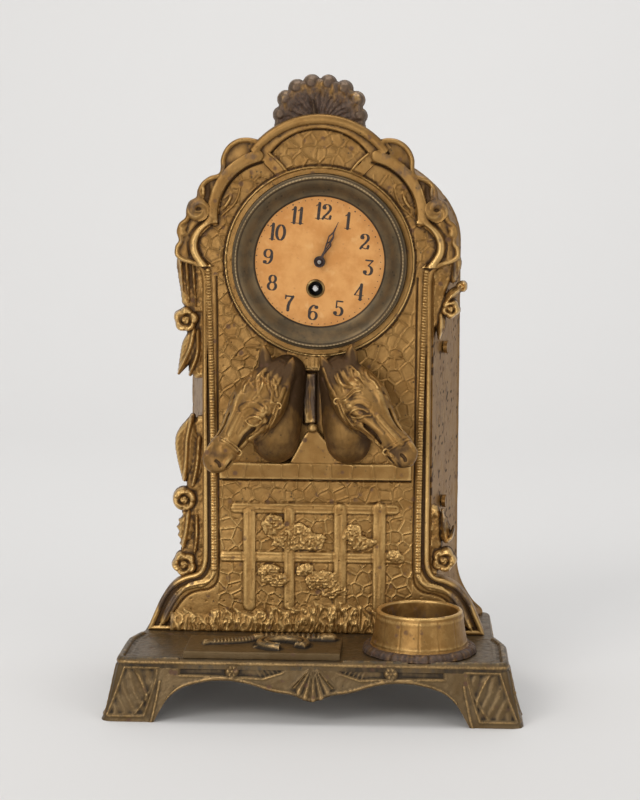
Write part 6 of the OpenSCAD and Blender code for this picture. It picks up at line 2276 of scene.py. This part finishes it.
@dataclass
class BaseCasting:
    """Footed base: relief aprons on four sides and a rimmed top."""

    half_w: float = 102.5
    half_d: float = 60.0
    batter: tuple[float, float] = (8, 3)
    wall: float = 4.0
    foot: float = 25.5
    arch: float = 20.4
    soft: float = 1.1
    side_half: float = 34.0
    step: float = 0.5

    def plan(self, shrink: float = 0) -> Array:
        """Outline of the base at its foot, counter-clockwise, with soft corners.

        Args:
            shrink: how far inside the foot's outline.

        Returns:
            Points, one a row.
        """
        w, d, corner, waist = self.half_w - shrink, self.half_d - shrink, 5, 6.5
        right = [[w - corner, -d], [w - 1.5, -d + 1.5], [w, -d + corner], [w, -d * 0.3],
                 [w - waist * 0.5, -d * 0.12], [w - waist, 4], [w - waist, d - corner],
                 [w - waist - 1.5, d - 1.5], [w - waist - corner, d]]
        left = [[-a, b] for a, b in right[::-1]]
        return np.array(right + left)

    def walk(self) -> tuple[Array, Array]:
        """The outline sampled at even steps, from the middle of the front.

        Returns:
            The points and their outward directions.
        """
        ring = self.plan()
        ring = np.vstack([[0, -self.half_d], ring, [0, -self.half_d]])
        seg = np.linalg.norm(np.diff(ring, axis=0), axis=1)
        place = np.concatenate([[0], np.cumsum(seg)])
        count = int(place[-1] / self.step)
        t = np.linspace(0, place[-1], count, endpoint=False)
        p = np.stack([np.interp(t, place, ring[:, k]) for k in (0, 1)], 1)
        for _ in range(5):
            p = (np.roll(p, 1, 0) + 2 * p + np.roll(p, -1, 0)) / 4
        return p, outward(np.roll(p, -1, 0) - np.roll(p, 1, 0))

    def arch_top(self, ax: Array, front: bool) -> Array:
        """Height of the apron's lower edge at a distance from the middle.

        Args:
            ax: distances from the side's middle.
            front: whether the side is the front.

        Returns:
            Heights above the table.
        """
        if front:
            line = curve([[0, 11], [4, 12], [8, 13.6], [12, 14.6], [16, 15],
                          [22, 16.2], [31, 18.8], [40, 20.3], [50, 20.4], [60, 18.6],
                          [67, 15.9], [71.8, 11.4], [74.4, 6], [76.4, -0.5]], 6)
        else:
            line = curve([[0, 20.4], [14, 20], [22, 17.4], [28, 12], [31.5, 6],
                          [33.6, -0.5]], 6)
        return np.interp(ax, line[:, 0], line[:, 1], right=-6)

    def relief(self, x: Array, z: Array, front: bool) -> Array:
        """Height of the apron's ornament.

        Args:
            x: place along the side from its middle.
            z: height above the table.
            front: whether the side is the front.

        Returns:
            Heights in millimetres.
        """
        ax = np.abs(x)
        half = self.half_w - self.foot if front else self.side_half
        edge = z - self.arch_top(ax, front)
        side = np.clip(ax - half + 0.6, 0, None)
        h = 0.10 * NOISE.layers(x, 0, z, 2.4)
        rim = np.where(ax < half - 4, edge, np.minimum(edge, side + 30 * (z > self.arch)))
        h = h + 0.55 * bead(rim - 1.1, 0.8) + 0.55 * bead(z - 28.9, 1)
        h -= 0.25 * hump(z - 27.2, 0.5)
        if front:
            rad = np.hypot(ax - 41, z - 25.2)
            ang = np.arctan2(z - 25.2, ax - 41)
            rosette = 0.9 * bead(rad - 1.8, 1.3) * (0.75 + 0.25 * np.cos(6 * ang))
            rosette = np.maximum(rosette, 1.0 * bead(rad, 0.9))
            h = np.where(rad < 3.4, np.maximum(h, rosette), h)
            # Long dark panels either side of the rosettes, pointed at their inner ends.
            low = np.interp(ax, [13, 25, 38, 68], [25.6, 22, 22.6, 23])
            high = 27.2 - 0.02 * (ax - 13)
            panel = ramp(np.minimum(z - low, high - z), 0, 0.5) * ramp(ax, 13, 16)
            panel *= ramp(ax, 69, 67) * ramp(rad, 3.2, 4.2)
            bars = 0.40 * np.maximum(0, np.cos((ax - 0.8 * z) * FULL_TURN / 2.6)) * ramp(
                ax, 30, 24)
            h = h + panel * (bars - 0.75)
            h += 0.30 * hump(z - low + 0.5, 0.45) * ramp(ax, 13, 16) * ramp(ax, 69, 67)
            # Fluted fan with its point at the top.
            du, dv = x - 1, 29.2 - z
            a = np.arctan2(np.abs(du), np.maximum(dv, 0.05))
            r = np.hypot(du, dv)
            reach = 17.6 - 2.6 * (a / 0.72) ** 2 + 0.5 * np.cos(a * 6 * math.pi / 0.75)
            flute = 0.25 + 0.75 * np.abs(np.cos(a / 0.76 * math.pi * 3))
            fan = flute * ramp(r, 1.5, 6) * ramp(r, reach + 0.6, reach - 0.8) * (
                0.6 + 0.6 * r / 17)
            h = np.where((a < 0.74) & (r < reach + 0.6), np.maximum(h + 0.1, fan), h)
            wing = hump(np.abs(a - 0.79) * r, 0.6) * ramp(r, 2, 4) * ramp(r, 17, 14)
            h += 0.45 * wing
        foot = ramp(ax, half + 1.5, half + 3) * ramp(z, 0.8, 2.2) * ramp(z, 27.6, 26.4)
        cx = ax - half - 12.5
        frame_ = np.maximum(np.abs(cx + 0.13 * (z - 15)) - 9.2, np.abs(z - 14.6) - 11.8)
        h += foot * 0.55 * hump(frame_, 0.6)
        inside = ramp(-frame_, 0.5, 1.4)
        sweep = np.abs(cx + 9.5 - 0.020 * (z - 1) ** 2)
        leaf = hump(sweep, 0.7) + hump(np.abs(cx + 3.5 - 0.012 * (27 - z) ** 2 + 6), 0.7)
        veins = 0.5 + 0.5 * np.cos((cx * 0.9 - 0.55 * z) * 1.45 + 0.9 * np.sin(z * 0.3))
        h += foot * inside * (0.55 * leaf + 0.28 * veins - 0.42)
        return h

    def aprons(self, material: Material) -> None:
        """Builds the four sides as one closed wall.

        Args:
            material: the finish.
        """
        p, out = self.walk()
        z = np.arange(0, BASE_TOP + 0.01, self.step)
        zz = 0 * np.arange(len(p))[:, None] + z[None, :]
        px, py = p[:, 0][:, None] + 0 * zz, p[:, 1][:, None] + 0 * zz
        ox, oy = out[:, 0][:, None] + 0 * zz, out[:, 1][:, None] + 0 * zz
        facing_front, facing_back = -oy > 0.80, oy > 0.80
        h = np.where(facing_front, self.relief(px, zz, True), self.relief(py, zz, False))
        h = np.where(facing_back, self.relief(px * 0.97, zz, False) * 0.2, h)
        top_front = self.arch_top(np.abs(px), True)
        top_back = np.where(np.abs(px) < 40, self.arch, self.arch_top(np.abs(px), True))
        top_side = self.arch_top(np.abs(py), False)
        value = np.where(facing_front, top_front, np.where(facing_back, top_back, top_side)) - zz
        value = np.where((np.abs(ox) > 0.55) & (np.abs(oy) > 0.55), -9, value)
        share = zz / BASE_TOP
        sx = 1 - self.batter[0] * share ** 0.8 / self.half_w
        sy = 1 - self.batter[1] * share / self.half_d
        outer = np.stack([px * sx + ox * (h - 0.4), py * sy + oy * (h - 0.4), zz], -1)
        limit = np.array([self.half_w, self.half_d])
        outer[..., :2] = np.clip(outer[..., :2], -limit, limit)
        inner = np.stack([(px - ox * self.wall) * sx, (py - oy * self.wall) * sy,
                          np.minimum(zz, BASE_TOP - 1)], -1)
        faces = grid_faces(len(p), len(z), wrap=True)
        soft = blur(h, (1.4 / self.step,) * 2)
        relief = np.clip((h - soft) * 1.5, -1.2, 1.2)
        faces, mix = clip(faces, value.ravel())
        marks = {"relief": mix(relief), "tarnish": mix(0.22 + 0.10 * ramp(zz, 8, 0))}
        piece = slab("base_aprons", mix(outer), mix(inner), faces, marks)
        piece.place(material, "case", "dark_gilt_casting", ["base_casting"], crease=35)

    def top(self, material: Material) -> None:
        """Builds the top plate with its rim, dished a little inside it.

        Args:
            material: the finish.
        """
        r = Relief((-97, -57.5), (97, 57.5), 0.68)
        ring = self.plan() * [1 - self.batter[0] / self.half_w, 1 - self.batter[1] / self.half_d]
        edge = inside_outline(r.u, r.v, ring)
        sides = np.abs(r.u) > 64
        lip = 1.1 * bead(edge + 1.9, 1.5) - 0.3 * ramp(edge, -3.4, -6)
        r.h = np.where((r.v < -4) & (sides | (edge > -3.6)), lip, -0.25)
        r.put(r.v >= -4, 0)
        hide = (np.abs(r.u + 24.5) < 39.5) & (r.v < -34)
        r.put(hide, np.minimum(r.h, 0))
        tub = np.hypot(r.u - TUB_PLACE[0], r.v - TUB_PLACE[1])
        r.put(tub < 29, np.minimum(r.h, 0))
        # Dished ends with a soft inner line.
        inner = inside_outline(r.u, r.v, ring * [0.93, 0.86])
        r.h += 0.35 * hump(inner, 0.7) * sides * (tub > 29) * (r.v < -6)
        r.h += 0.14 * NOISE.layers(r.u, 0, r.v, 2)
        height = r.h - eased(edge, self.soft)
        relief = r.cavity(1.6, 1.3)
        faces, mix = clip(grid_faces(*r.u.shape), edge.ravel())
        x, y, h = mix(r.u), mix(r.v), mix(height)
        front = np.stack([x, y, BASE_TOP + h], 1)
        back = np.stack([x, y, np.full_like(x, BASE_TOP - self.wall)], 1)
        marks = {"relief": mix(relief), "tarnish": np.full(len(x), 0.42)}
        piece = slab("base_top", front, back, faces, marks)
        piece.place(material, "case", "dark_gilt_casting", ["base_casting"], crease=35)

    def build(self, material: Material) -> None:
        """Builds and places the base."""
        self.aprons(material)
        self.top(material)


@dataclass
class Plaque:
    """Flat plate with a horseshoe and a riding crop in relief."""

    centre: tuple[float, float] = (-24.5, -35.5)
    size: tuple[float, float] = (76, 33)
    thick: float = 3.4
    soft: float = 0.7
    shoe: tuple[float, float] = (9.4, -1.5)
    web_r: float = 9.6
    web: float = 3.1

    def build(self, material: Material) -> None:
        """Models and places the plaque.

        Args:
            material: the finish.
        """
        w, d = self.size[0] / 2, self.size[1] / 2
        r = Relief((-w - 0.6, -d - 0.6), (w + 0.6, d + 0.6), 0.3)
        u, v = r.u, r.v
        edge = np.maximum(np.abs(u) - w, np.abs(v) - d)
        r.h = 0.10 * NOISE.layers(u, 0, v, 4)
        # Horseshoe, open towards the front right.
        shoe = self.shoe
        du, dv = u - shoe[0], v - shoe[1]
        rad, ang = np.hypot(du / 1.05, dv / 0.86), np.degrees(np.arctan2(dv, du))
        gap = np.abs((ang + 62 + 180) % 360 - 180) < 34
        across = np.abs(rad - self.web_r) / self.web
        web = 3.0 * np.clip(1 - across**4, 0, 1) ** 0.5 - 0.9 * hump(rad - 9.4, 0.6)
        r.put((across < 1) & ~gap, np.maximum(r.h, web))
        for a in (-10, 20, 55, 125, 160, 190, 215):
            t = math.radians(a)
            nail = np.array([shoe[0] + 9.2 * math.cos(t), shoe[1] + 7.6 * math.sin(t)])
            part = r.patch(nail - 1.5, nail + 1.5)
            r.h[part] -= 0.9 * hump(np.hypot(r.u[part] - nail[0], r.v[part] - nail[1]), 0.55)
        # Crop: handle, knob, and a braided lash with a tuft.
        for line, half, high, ribs in (
                ([[29, 10.8], [18, 10.6], [6, 10.8], [-3.2, 10.2]], 2.6, 3.4, 2.6),
                ([[32.6, 11], [28.8, 10.8]], 3.2, 3.2, 0),
                ([[-2.4, 9.8], [-4.8, 8.8]], 2.8, 3, 0),
                ([[-4, 8.6], [-10, 4.4], [-17, 1.8], [-25, 0.4]], 2, 2.6, 1.7)):
            r.moulding(line, half, high, smooth=len(line) > 2, ribs=ribs)
        for k in (-0.5, 0, 0.5):
            r.moulding([[-24.5, 0.4], [-27.5, 0.2 + 2.4 * k], [-30.4, 6.0 * k]], 1, 1.5,
                       taper=0.2)
        r.moulding([[-6, -7.5], [-1.5, -6.2], [2, -8.2]], 0.8, 0.9, taper=0.3)
        height = r.h - eased(edge, self.soft)
        relief = r.cavity(1.3, 1.1)
        faces, mix = clip(grid_faces(*u.shape), edge.ravel())
        x, y = mix(u) + self.centre[0], mix(v) + self.centre[1]
        front = np.stack([x, y, BASE_TOP + self.thick + mix(height)], 1)
        back = np.stack([x, y, np.full_like(x, BASE_TOP)], 1)
        piece = slab("plaque_plate", front, back, faces,
                     {"relief": mix(relief) * 1.3, "tarnish": np.full(len(x), 0.24)})
        piece.place(material, "case", "dark_gilt_casting", ["plaque"], crease=35)


@dataclass
class FeedTub:
    """Tapered tub with staves, a foliate flange and a worn rim."""

    staves: int = 14

    def build(self, material: Material) -> None:
        """Turns the profile, adds the relief and places the tub.

        Args:
            material: the finish.
        """
        profile = curve([[2, 0], [20, 0], [27.2, 0], [27.7, 0.9], [27.2, 2.2],
                         [25.8, 3.1], [24.4, 3.3], [23.7, 4], [23.2, 6], [22.2, 12],
                         [21.3, 18], [21.2, 19], [20.9, 20.1], [20.2, 20.5], [19.3, 20.4],
                         [18.8, 19.6], [18.6, 17], [18.3, 11], [17.9, 8.3], [16.4, 7.5],
                         [9, 7.4], [2, 7.4]], 6)
        n, m = 360, len(profile)
        rr, zz, aa = turning(profile, n)
        normal = outward(np.gradient(profile, axis=0))
        index = np.arange(m)[None]
        outer = (zz > 3.6) & (zz < 18.6) & (index < 84)
        flange = (zz <= 3.4) & (rr > 23.5)
        seams = np.zeros_like(rr)
        for k in range(self.staves):
            seam = FULL_TURN * (k + 0.5) / self.staves + 0.02 * math.sin(k * 5)
            gap = np.abs((aa - seam + math.pi) % FULL_TURN - math.pi) * 22
            seams += hump(gap, 0.35)
        x, y = np.cos(aa) * rr, np.sin(aa) * rr
        lump = 0.16 * NOISE.layers(x, y, zz, 3)
        h = lump - 0.16 * seams * outer
        h += 0.25 * outer * (hump(zz - 5.2, 0.8) + hump(zz - 17.6, 0.7))
        leaf = np.abs(np.sin(aa * 9 + 0.8 * np.sin(aa * 27)))
        h += flange * (0.6 * leaf - 0.25) * ramp(rr, 23.5, 25)
        verts = np.stack([TUB_PLACE[0] + np.cos(aa) * (rr + normal[:, 0] * h),
                          TUB_PLACE[1] + np.sin(aa) * (rr + normal[:, 0] * h),
                          BASE_TOP + np.maximum(zz + normal[:, 1] * h, 0)], -1)
        soft = blur(np.vstack([h, h, h]), (4, 3))[n:2 * n]
        relief = (h - soft) * 1.2 + 1.1 * hump(zz - 20.5, 0.9) * (rr > 18) + 0.22 * outer
        relief = np.clip(relief - 0.35 * flange, -1.2, 1.2)
        quads = grid_faces(n, m, wrap=True)
        start = m * np.arange(n)
        caps = [start[None], (start + m - 1)[::-1][None]]
        tarnish = 0.08 + 0.55 * flange + 0.40 * ramp(index, 84, 104)
        piece = Piece("tub_body", verts.reshape(-1, 3), [quads[:, ::-1], *caps],
                      {"relief": relief.ravel(), "tarnish": tarnish.ravel()})
        piece.place(material, "case", "gilt_casting", ["feed_tub"], crease=50)


@dataclass
class Bezel:
    """Brass bezel: thin rim, ring of fine beads and a wide dull hollow band."""

    centre: tuple[float, float] = (0, 219)
    beads: int = 150

    def build(self, material: Material) -> None:
        """Turns the profile with its beads and places the bezel.

        Args:
            material: the finish.
        """
        n = self.beads * 7
        outline = [[43.5, 4], [43.5, 0], [43.5, -2.2], [43.3, -3.1], [42.9, -3.5],
                   [42.4, -3.6], [42.1, -3.9], [41.7, -4.2], [41.2, -4.1], [40.8, -3.7],
                   [40.2, -3.4], [39, -2.7], [37.6, -1.5], [36.2, -0.1], [34.8, 1.1],
                   [33.4, 2], [32.5, 2.4], [32.4, 3], [34.5, 3], [37.4, 0.8],
                   [39, -1], [41.4, -2.4], [42.3, -1], [42.3, 4]]
        profile = curve(outline, 4)
        rr, yy, aa = turning(profile, n)
        ring = hump(rr - 41.6, 0.42) * (yy < -3.2)
        pearl = np.abs(np.cos(aa * self.beads / 2)) ** 0.7
        y = yy - ring * (pearl * 0.42 - 0.22)
        dent = 0.06 * NOISE.layers(np.cos(aa) * rr, yy, np.sin(aa) * rr, 9)
        verts = np.stack([self.centre[0] + np.cos(aa) * (rr + dent), y + dent,
                          self.centre[1] + np.sin(aa) * (rr + dent)], -1)
        wear = 0.5 + 0.5 * NOISE.at(np.cos(aa) * rr, 0, np.sin(aa) * rr, 12)
        high = (0.35 + 0.5 * wear) * ring * (0.25 + 0.75 * pearl)
        deep = -0.55 * hump(rr - 40.6, 0.3) * (yy < -3) - 0.45 * hump(rr - 42.6, 0.3) * (yy < -3)
        deep += -0.7 * hump(rr - 32.6, 0.5)
        piece = Piece("bezel_ring", verts.reshape(-1, 3), [hoop_faces(n, len(profile))],
                      {"relief": (high + deep).ravel(), "tarnish": np.zeros(high.size)})
        piece.place(material, "case", "aged_brass_bezel", ["bezel"], crease=55)


# -------------------------------------------------------------------------- the dial

@dataclass
class Dial:
    """Paper dial with thick-and-thin numerals and a ring of minute dots."""

    centre: tuple[float, float] = (-0.6, 218.8)
    y: float = 3.0
    turn: float = -5.8
    numeral_r: float = 25.2
    numeral_h: float = 7.9
    dot_r: float = 31.0
    dot: float = 0.24
    hour_dot: float = 0.36
    ink: float = 0.05
    proud: float = 0.035
    hairline: float = 0.024
    swell: float = 0.072
    bar: float = 0.05

    def glyph(self, digit: str) -> list[tuple[Array, float]]:
        """Strokes of a digit in a box one unit high: lines and a weight for each.

        Args:
            digit: the digit.

        Returns:
            The strokes.
        """
        c = lambda x, y, rx, ry, a, b, n=26: np.stack([
            x + rx * np.cos(np.radians(np.linspace(a, b, n))),
            y + ry * np.sin(np.radians(np.linspace(a, b, n)))], 1)
        line = lambda *pts: np.array(pts, float)
        glyphs = {
            "0": [(c(0.30, 0.5, 0.25, 0.47, 0, 360), 1)],
            "1": [(line([0.30, 0.03], [0.30, 0.98]), 1), (line([0.30, 0.96], [0.12, 0.82]), 0.4),
                  (line([0.12, 0.03], [0.48, 0.03]), 0.3)],
            "2": [(np.vstack([c(0.29, 0.72, 0.22, 0.24, 170, -35, 18),
                              line([0.36, 0.42], [0.18, 0.22], [0.08, 0.05])]), 0.9),
                  (line([0.08, 0.06], [0.20, 0.11], [0.38, 0.05], [0.53, 0.10], [0.55, 0.24]), 0.8),
                  (c(0.13, 0.74, 0.05, 0.05, 0, 360, 10), 0.9)],
            "3": [(line([0.08, 0.94], [0.52, 0.94]), 0.9), (line([0.52, 0.94], [0.26, 0.60]), 0.35),
                  (c(0.26, 0.31, 0.25, 0.28, 85, -150, 24), 1),
                  (c(0.09, 0.20, 0.045, 0.045, 0, 360, 10), 0.9)],
            "4": [(line([0.40, 0.03], [0.40, 0.97]), 1), (line([0.40, 0.97], [0.03, 0.30]), 0.4),
                  (line([0.03, 0.29], [0.58, 0.29]), 0.4), (line([0.28, 0.03], [0.53, 0.03]), 0.3)],
            "5": [(line([0.13, 0.94], [0.50, 0.94]), 0.9), (line([0.13, 0.94], [0.13, 0.55]), 0.35),
                  (c(0.27, 0.31, 0.25, 0.28, 125, -150, 26), 1),
                  (c(0.09, 0.19, 0.045, 0.045, 0, 360, 10), 0.9)],
            "6": [(c(0.30, 0.29, 0.23, 0.26, 0, 360), 0.9),
                  (c(0.40, 0.50, 0.34, 0.46, 195, 95, 18), 0.9),
                  (c(0.47, 0.84, 0.045, 0.045, 0, 360, 10), 0.9)],
            "7": [(line([0.08, 0.92], [0.54, 0.92]), 0.9),
                  (line([0.54, 0.92], [0.34, 0.55], [0.28, 0.30], [0.28, 0.04]), 1),
                  (line([0.08, 0.95], [0.07, 0.76]), 0.35)],
            "8": [(c(0.30, 0.73, 0.19, 0.23, 0, 360), 0.85),
                  (c(0.30, 0.27, 0.24, 0.25, 0, 360), 0.95)],
            "9": [(c(0.29, 0.70, 0.23, 0.26, 0, 360), 0.9),
                  (c(0.19, 0.50, 0.34, 0.46, 15, -85, 18), 0.9),
                  (c(0.12, 0.15, 0.045, 0.045, 0, 360, 10), 0.9)]}
        return glyphs[digit]

    def stamp(self, text: str, at: Sequence[float], height: float, cell: float) -> Piece:
        """A flat inked shape of a number.

        Args:
            text: its digits.
            at: the middle of the number on the dial.
            height: the height of a digit.
            cell: size of the cells it is cut from.

        Returns:
            The piece.
        """
        advance = [0.40 if d == "1" else 0.60 for d in text]
        wide = sum(advance)
        low = np.array([at[0] - wide * height / 2 - 0.6, at[1] - height / 2 - 0.6])
        high = np.array([at[0] + wide * height / 2 + 0.6, at[1] + height / 2 + 0.6])
        us = np.arange(low[0], high[0] + cell, cell)
        vs = np.arange(low[1], high[1] + cell, cell)
        u, v = np.meshgrid(us, vs, indexing="ij")
        best = np.full(u.shape, 9)
        pen = at[0] - wide * height / 2
        for digit, step in zip(text, advance):
            shift = -0.10 if digit == "1" else 0.0
            for path, weight in self.glyph(digit):
                pts = path * height + [pen + shift * height, at[1] - height / 2]
                for start, end in zip(pts[:-1], pts[1:]):
                    d, _, length = to_stretch(u, v, start, end)
                    rise = abs(end[1] - start[1])
                    half = height * (self.hairline + self.swell * weight * (rise / length) ** 1.6)
                    if weight >= 0.8 and rise < 1e-6:
                        half = height * self.bar
                    best = np.minimum(best, d - half)
            pen += step * height
        faces, mix = clip(grid_faces(*u.shape), best.ravel())
        x, z = mix(u), mix(v)
        front = np.stack([x, np.full_like(x, self.y - self.proud), z], 1)
        return slab("ink", front, front + [0, self.ink, 0], faces, {})

    def disc(self, at: Sequence[float], r: float, sides: int = 12) -> Piece:
        """A small inked dot.

        Args:
            at: its centre.
            r: its radius.
            sides: its corners.

        Returns:
            The piece.
        """
        a = np.linspace(0, FULL_TURN, sides, endpoint=False)
        ring = np.stack([at[0] + r * np.cos(a), 0 * a + self.y - self.proud,
                         at[1] + r * np.sin(a)], 1)
        i = np.arange(1, sides - 1)
        faces = np.stack([0 * i, i, i + 1], 1)
        return slab("ink", ring, ring + [0, self.ink, 0], faces, {})

    def spot(self, radius: float, clock: float) -> tuple[float, float]:
        """A point on the dial at a radius and an angle in hours from twelve."""
        a = math.radians(90 - clock * 30 + self.turn)
        return (self.centre[0] + radius * math.cos(a), self.centre[1] + radius * math.sin(a))

    def build(self, paper: Material, ink: Material) -> None:
        """Builds the printing and dresses the paper.

        Args:
            paper: the paper's finish.
            ink: the printing's finish.
        """
        cos, sin = math.cos(math.radians(self.turn)), math.sin(math.radians(self.turn))
        made = []
        for hour in range(1, 13):
            x, z = self.spot(self.numeral_r, hour)
            piece = self.stamp(str(hour), (x, z), self.numeral_h, 0.11)
            q = piece.verts - [x, 0, z]
            piece.verts = np.stack([q[:, 0] * cos - q[:, 2] * sin + x, q[:, 1],
                                    q[:, 0] * sin + q[:, 2] * cos + z], 1)
            made.append(piece)
        for minute in range(60):
            radius = self.dot if minute % 5 else self.hour_dot
            made.append(self.disc(self.spot(self.dot_r, minute / 5), radius))
        whole = made[0]
        for piece in made[1:]:
            whole = whole.joined(piece)
        whole.name = "dial_printing"
        whole.place(ink, "case", "paper_dial", crease=60)
        dress("dial_paper", paper)


def dress(node: str, material: Material) -> None:
    """Gives a CAD node a finish.

    Args:
        node: the node's name.
        material: its new material.
    """
    mesh = frame["nodes"][node].data
    mesh.materials.clear()
    mesh.materials.append(material)


# --------------------------------------------------------------------------- studio

WARM, PLAIN = (1.0, 0.975, 0.94), (1.0, 1.0, 1.0)
LAMPS = (  # name, place, aim, side in metres, watts, colour
    ("key", (-1.1, -1.5, 1.4), (0, 0, 0.12), 0.9, 13.0, WARM),
    ("low", (-0.5, -1.7, 0.22), (0, 0, 0.08), 0.5, 6.0, WARM),
    ("fill", (1.5, -1.5, 0.8), (0, 0, 0.12), 1.1, 7.0, WARM),
    ("top", (0.0, -0.2, 2.0), (0, 0, 0.1), 1.2, 5.5, PLAIN),
    ("backdrop", (0.0, 0.45, 2.3), (0, 1.8, 0.9), 1.6, 23.5, PLAIN))


@dataclass
class Studio:
    """Camera at the photograph's place, a pale sweep and soft lamps."""

    azimuth: float = 3.0
    elevation: float = 7.05
    roll: float = -0.25
    distance: float = 1001.0
    aim_z: float = 150.0
    lens: float = 90.0
    shift_px: float = 1.3

    def camera(self) -> None:
        """Sets the camera."""
        a, e = math.radians(self.azimuth), math.radians(self.elevation)
        back = Vector((math.sin(a) * math.cos(e), -math.cos(a) * math.cos(e), math.sin(e)))
        data = bpy.data.cameras.new("photo_camera")
        data.lens, data.sensor_width, data.sensor_fit = self.lens, 36.0, "AUTO"
        data.shift_x = self.shift_px / PHOTO_HEIGHT
        data.clip_start, data.clip_end = 0.05, 20.0
        cam = link("photo_camera", data)
        cam.location = Vector((0, 0, self.aim_z * MM)) + back * self.distance * MM
        look = (-back).to_track_quat("-Z", "Y")
        cam.rotation_mode = "QUATERNION"
        cam.rotation_quaternion = look @ Matrix.Rotation(
            math.radians(-self.roll), 4, "Z").to_quaternion()
        bpy.context.scene.camera = cam

    def sweep(self, material: Material) -> None:
        """Floor that curves up into the backdrop.

        Args:
            material: the finish.
        """
        bend, steps = 0.9, 12
        turns = [math.radians(90 * i / steps) for i in range(1, steps + 1)]
        profile = [(-3.0, 0.0), (bend, 0.0),
                   *((bend + bend * math.sin(t), bend - bend * math.cos(t)) for t in turns),
                   (2 * bend, 4.0)]
        verts = [(x, y, z) for y, z in profile for x in (-4.0, 4.0)]
        faces = [(2 * i, 2 * i + 1, 2 * i + 3, 2 * i + 2) for i in range(len(profile) - 1)]
        mesh = bpy.data.meshes.new("studio_sweep")
        mesh.from_pydata(verts, [], faces)
        mesh.shade_smooth()
        mesh.materials.append(material)
        link("studio_sweep", mesh)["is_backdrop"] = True

    def lamp(self, name: str, at: Point, aim: Point, size: float, power: float,
             colour: Colour) -> None:
        """Hangs one soft square lamp.

        Args:
            name: its name.
            at: its place in metres.
            aim: the point it faces.
            size: its side in metres.
            power: its power in watts.
            colour: its colour.
        """
        data = bpy.data.lights.new(name, "AREA")
        data.energy, data.size, data.color = power, size, colour
        lamp = link(name, data)
        lamp.location = at
        lamp.rotation_euler = (Vector(aim) - Vector(at)).to_track_quat("-Z", "Y").to_euler()

    def world(self) -> None:
        """Pale even world, seen as the backdrop."""
        world = bpy.data.worlds.new("studio_world")
        bpy.context.scene.world = world
        world.use_nodes = True
        colour, strength = world.node_tree.nodes["Background"].inputs[:2]
        colour.default_value, strength.default_value = (0.88, 0.87, 0.86, 1), 0.52

    def build(self) -> None:
        """Dresses the studio; the camera is set before the clock is built."""
        self.sweep(FloorFinish().material())
        self.world()
        for lamp in LAMPS:
            self.lamp(*lamp)


def write_size() -> None:
    {"cad": [list(c) for c in CAD_BOX], "visual": [list(c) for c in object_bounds()]}


def main() -> None:
    """Sets the camera, builds the clock piece by piece, then dresses the studio."""
    logging.basicConfig(level=logging.INFO, format="%(message)s")
    bpy.context.scene.view_settings.view_transform = "Standard"
    studio = Studio()
    studio.camera()
    gilt = CastFinish("gilt_casting", (0.300, 0.165, 0.048), (0.66, 0.42, 0.155),
                      (0.066, 0.033, 0.012), (0.100, 0.064, 0.050),
                      (0.075, 0.056, 0.048)).material()
    dark = CastFinish("dark_gilt_casting", (0.140, 0.092, 0.042), (0.38, 0.24, 0.095),
                      (0.030, 0.021, 0.013), (0.066, 0.050, 0.038), (0.060, 0.056, 0.040),
                      speckle=0.95).material()
    brass = MetalFinish("movement_brass", (0.62, 0.44, 0.16), (0.42, 0.29, 0.11), 0.3).material()
    steel = MetalFinish("movement_steel", (0.42, 0.42, 0.42), (0.22, 0.20, 0.18), 0.35).material()
    tin = MetalFinish("tinned_sheet", (0.36, 0.35, 0.32), (0.27, 0.25, 0.21), 0.42, cloud=14.0,
                      metal=0.85).material()
    blued = MetalFinish("blued_steel", (0.055, 0.035, 0.03), (0.03, 0.02, 0.02), 0.45,
                        metal=0.6).material()
    left = HorseHead(Side.LEFT, (-20.0, 141.0), (-20.5, -10.0, 163.5), (-48.5, -38.0, 123.5),
                     (0.053, -0.834, 0.547), ((-12.4, -10.0, 172.0), (-27.4, -8.0, 178.6)),
                     LEFT_LINES)
    right = HorseHead(Side.RIGHT, (13.5, 141.0), (11.5, -9.0, 165.0), (44.5, -34.0, 126.0),
                      (-0.041, -0.855, 0.512), ((16.6, -8.0, 178.4), (1.4, -10.0, 173.0)),
                      RIGHT_LINES)
    for part, finish in ((CaseFront(), gilt), (CaseBody(), gilt), (EdgeOrnament(), gilt),
                         (ShellCrest(), gilt), (left, gilt), (right, gilt),
                         (StableLedge(), gilt), (BaseCasting(), dark), (Plaque(), dark),
                         (FeedTub(), gilt)):
        part.build(finish)
    Bezel().build(BezelFinish().material())
    Dial().build(PaperFinish().material(), InkFinish().material())
    finishes = {"movement_brass": brass, "movement_steel": steel, "tinned_sheet": tin,
                "blued_steel": blued, "dark_gilt_casting": dark, "gilt_casting": gilt}
    for row in frame["record"]["subparts"]:
        node, slot = row["node"], row["material_slot"]
        if slot in finishes and not frame["nodes"][node].hide_render:
            dress(node, finishes[slot])
    # The movement's front plate is coloured nearly black as painted shade inside the case, seen
    # through the winding hole.
    dress("front_plate", MetalFinish("tarnished_plate", (0.016, 0.012, 0.008),
                                     (0.010, 0.008, 0.006), 0.7, metal=0.1).material())
    dress("side_screws", gilt)
    dress("winding_grommet", MetalFinish("eyelet_brass", (0.26, 0.18, 0.075),
                                          (0.14, 0.09, 0.04), 0.4).material())
    for node in ("hand_nut", "minute_hand", "hour_hand"):
        dress(node, blued)
    studio.build()
    write_size()


if __name__ == "__main__":
    main()
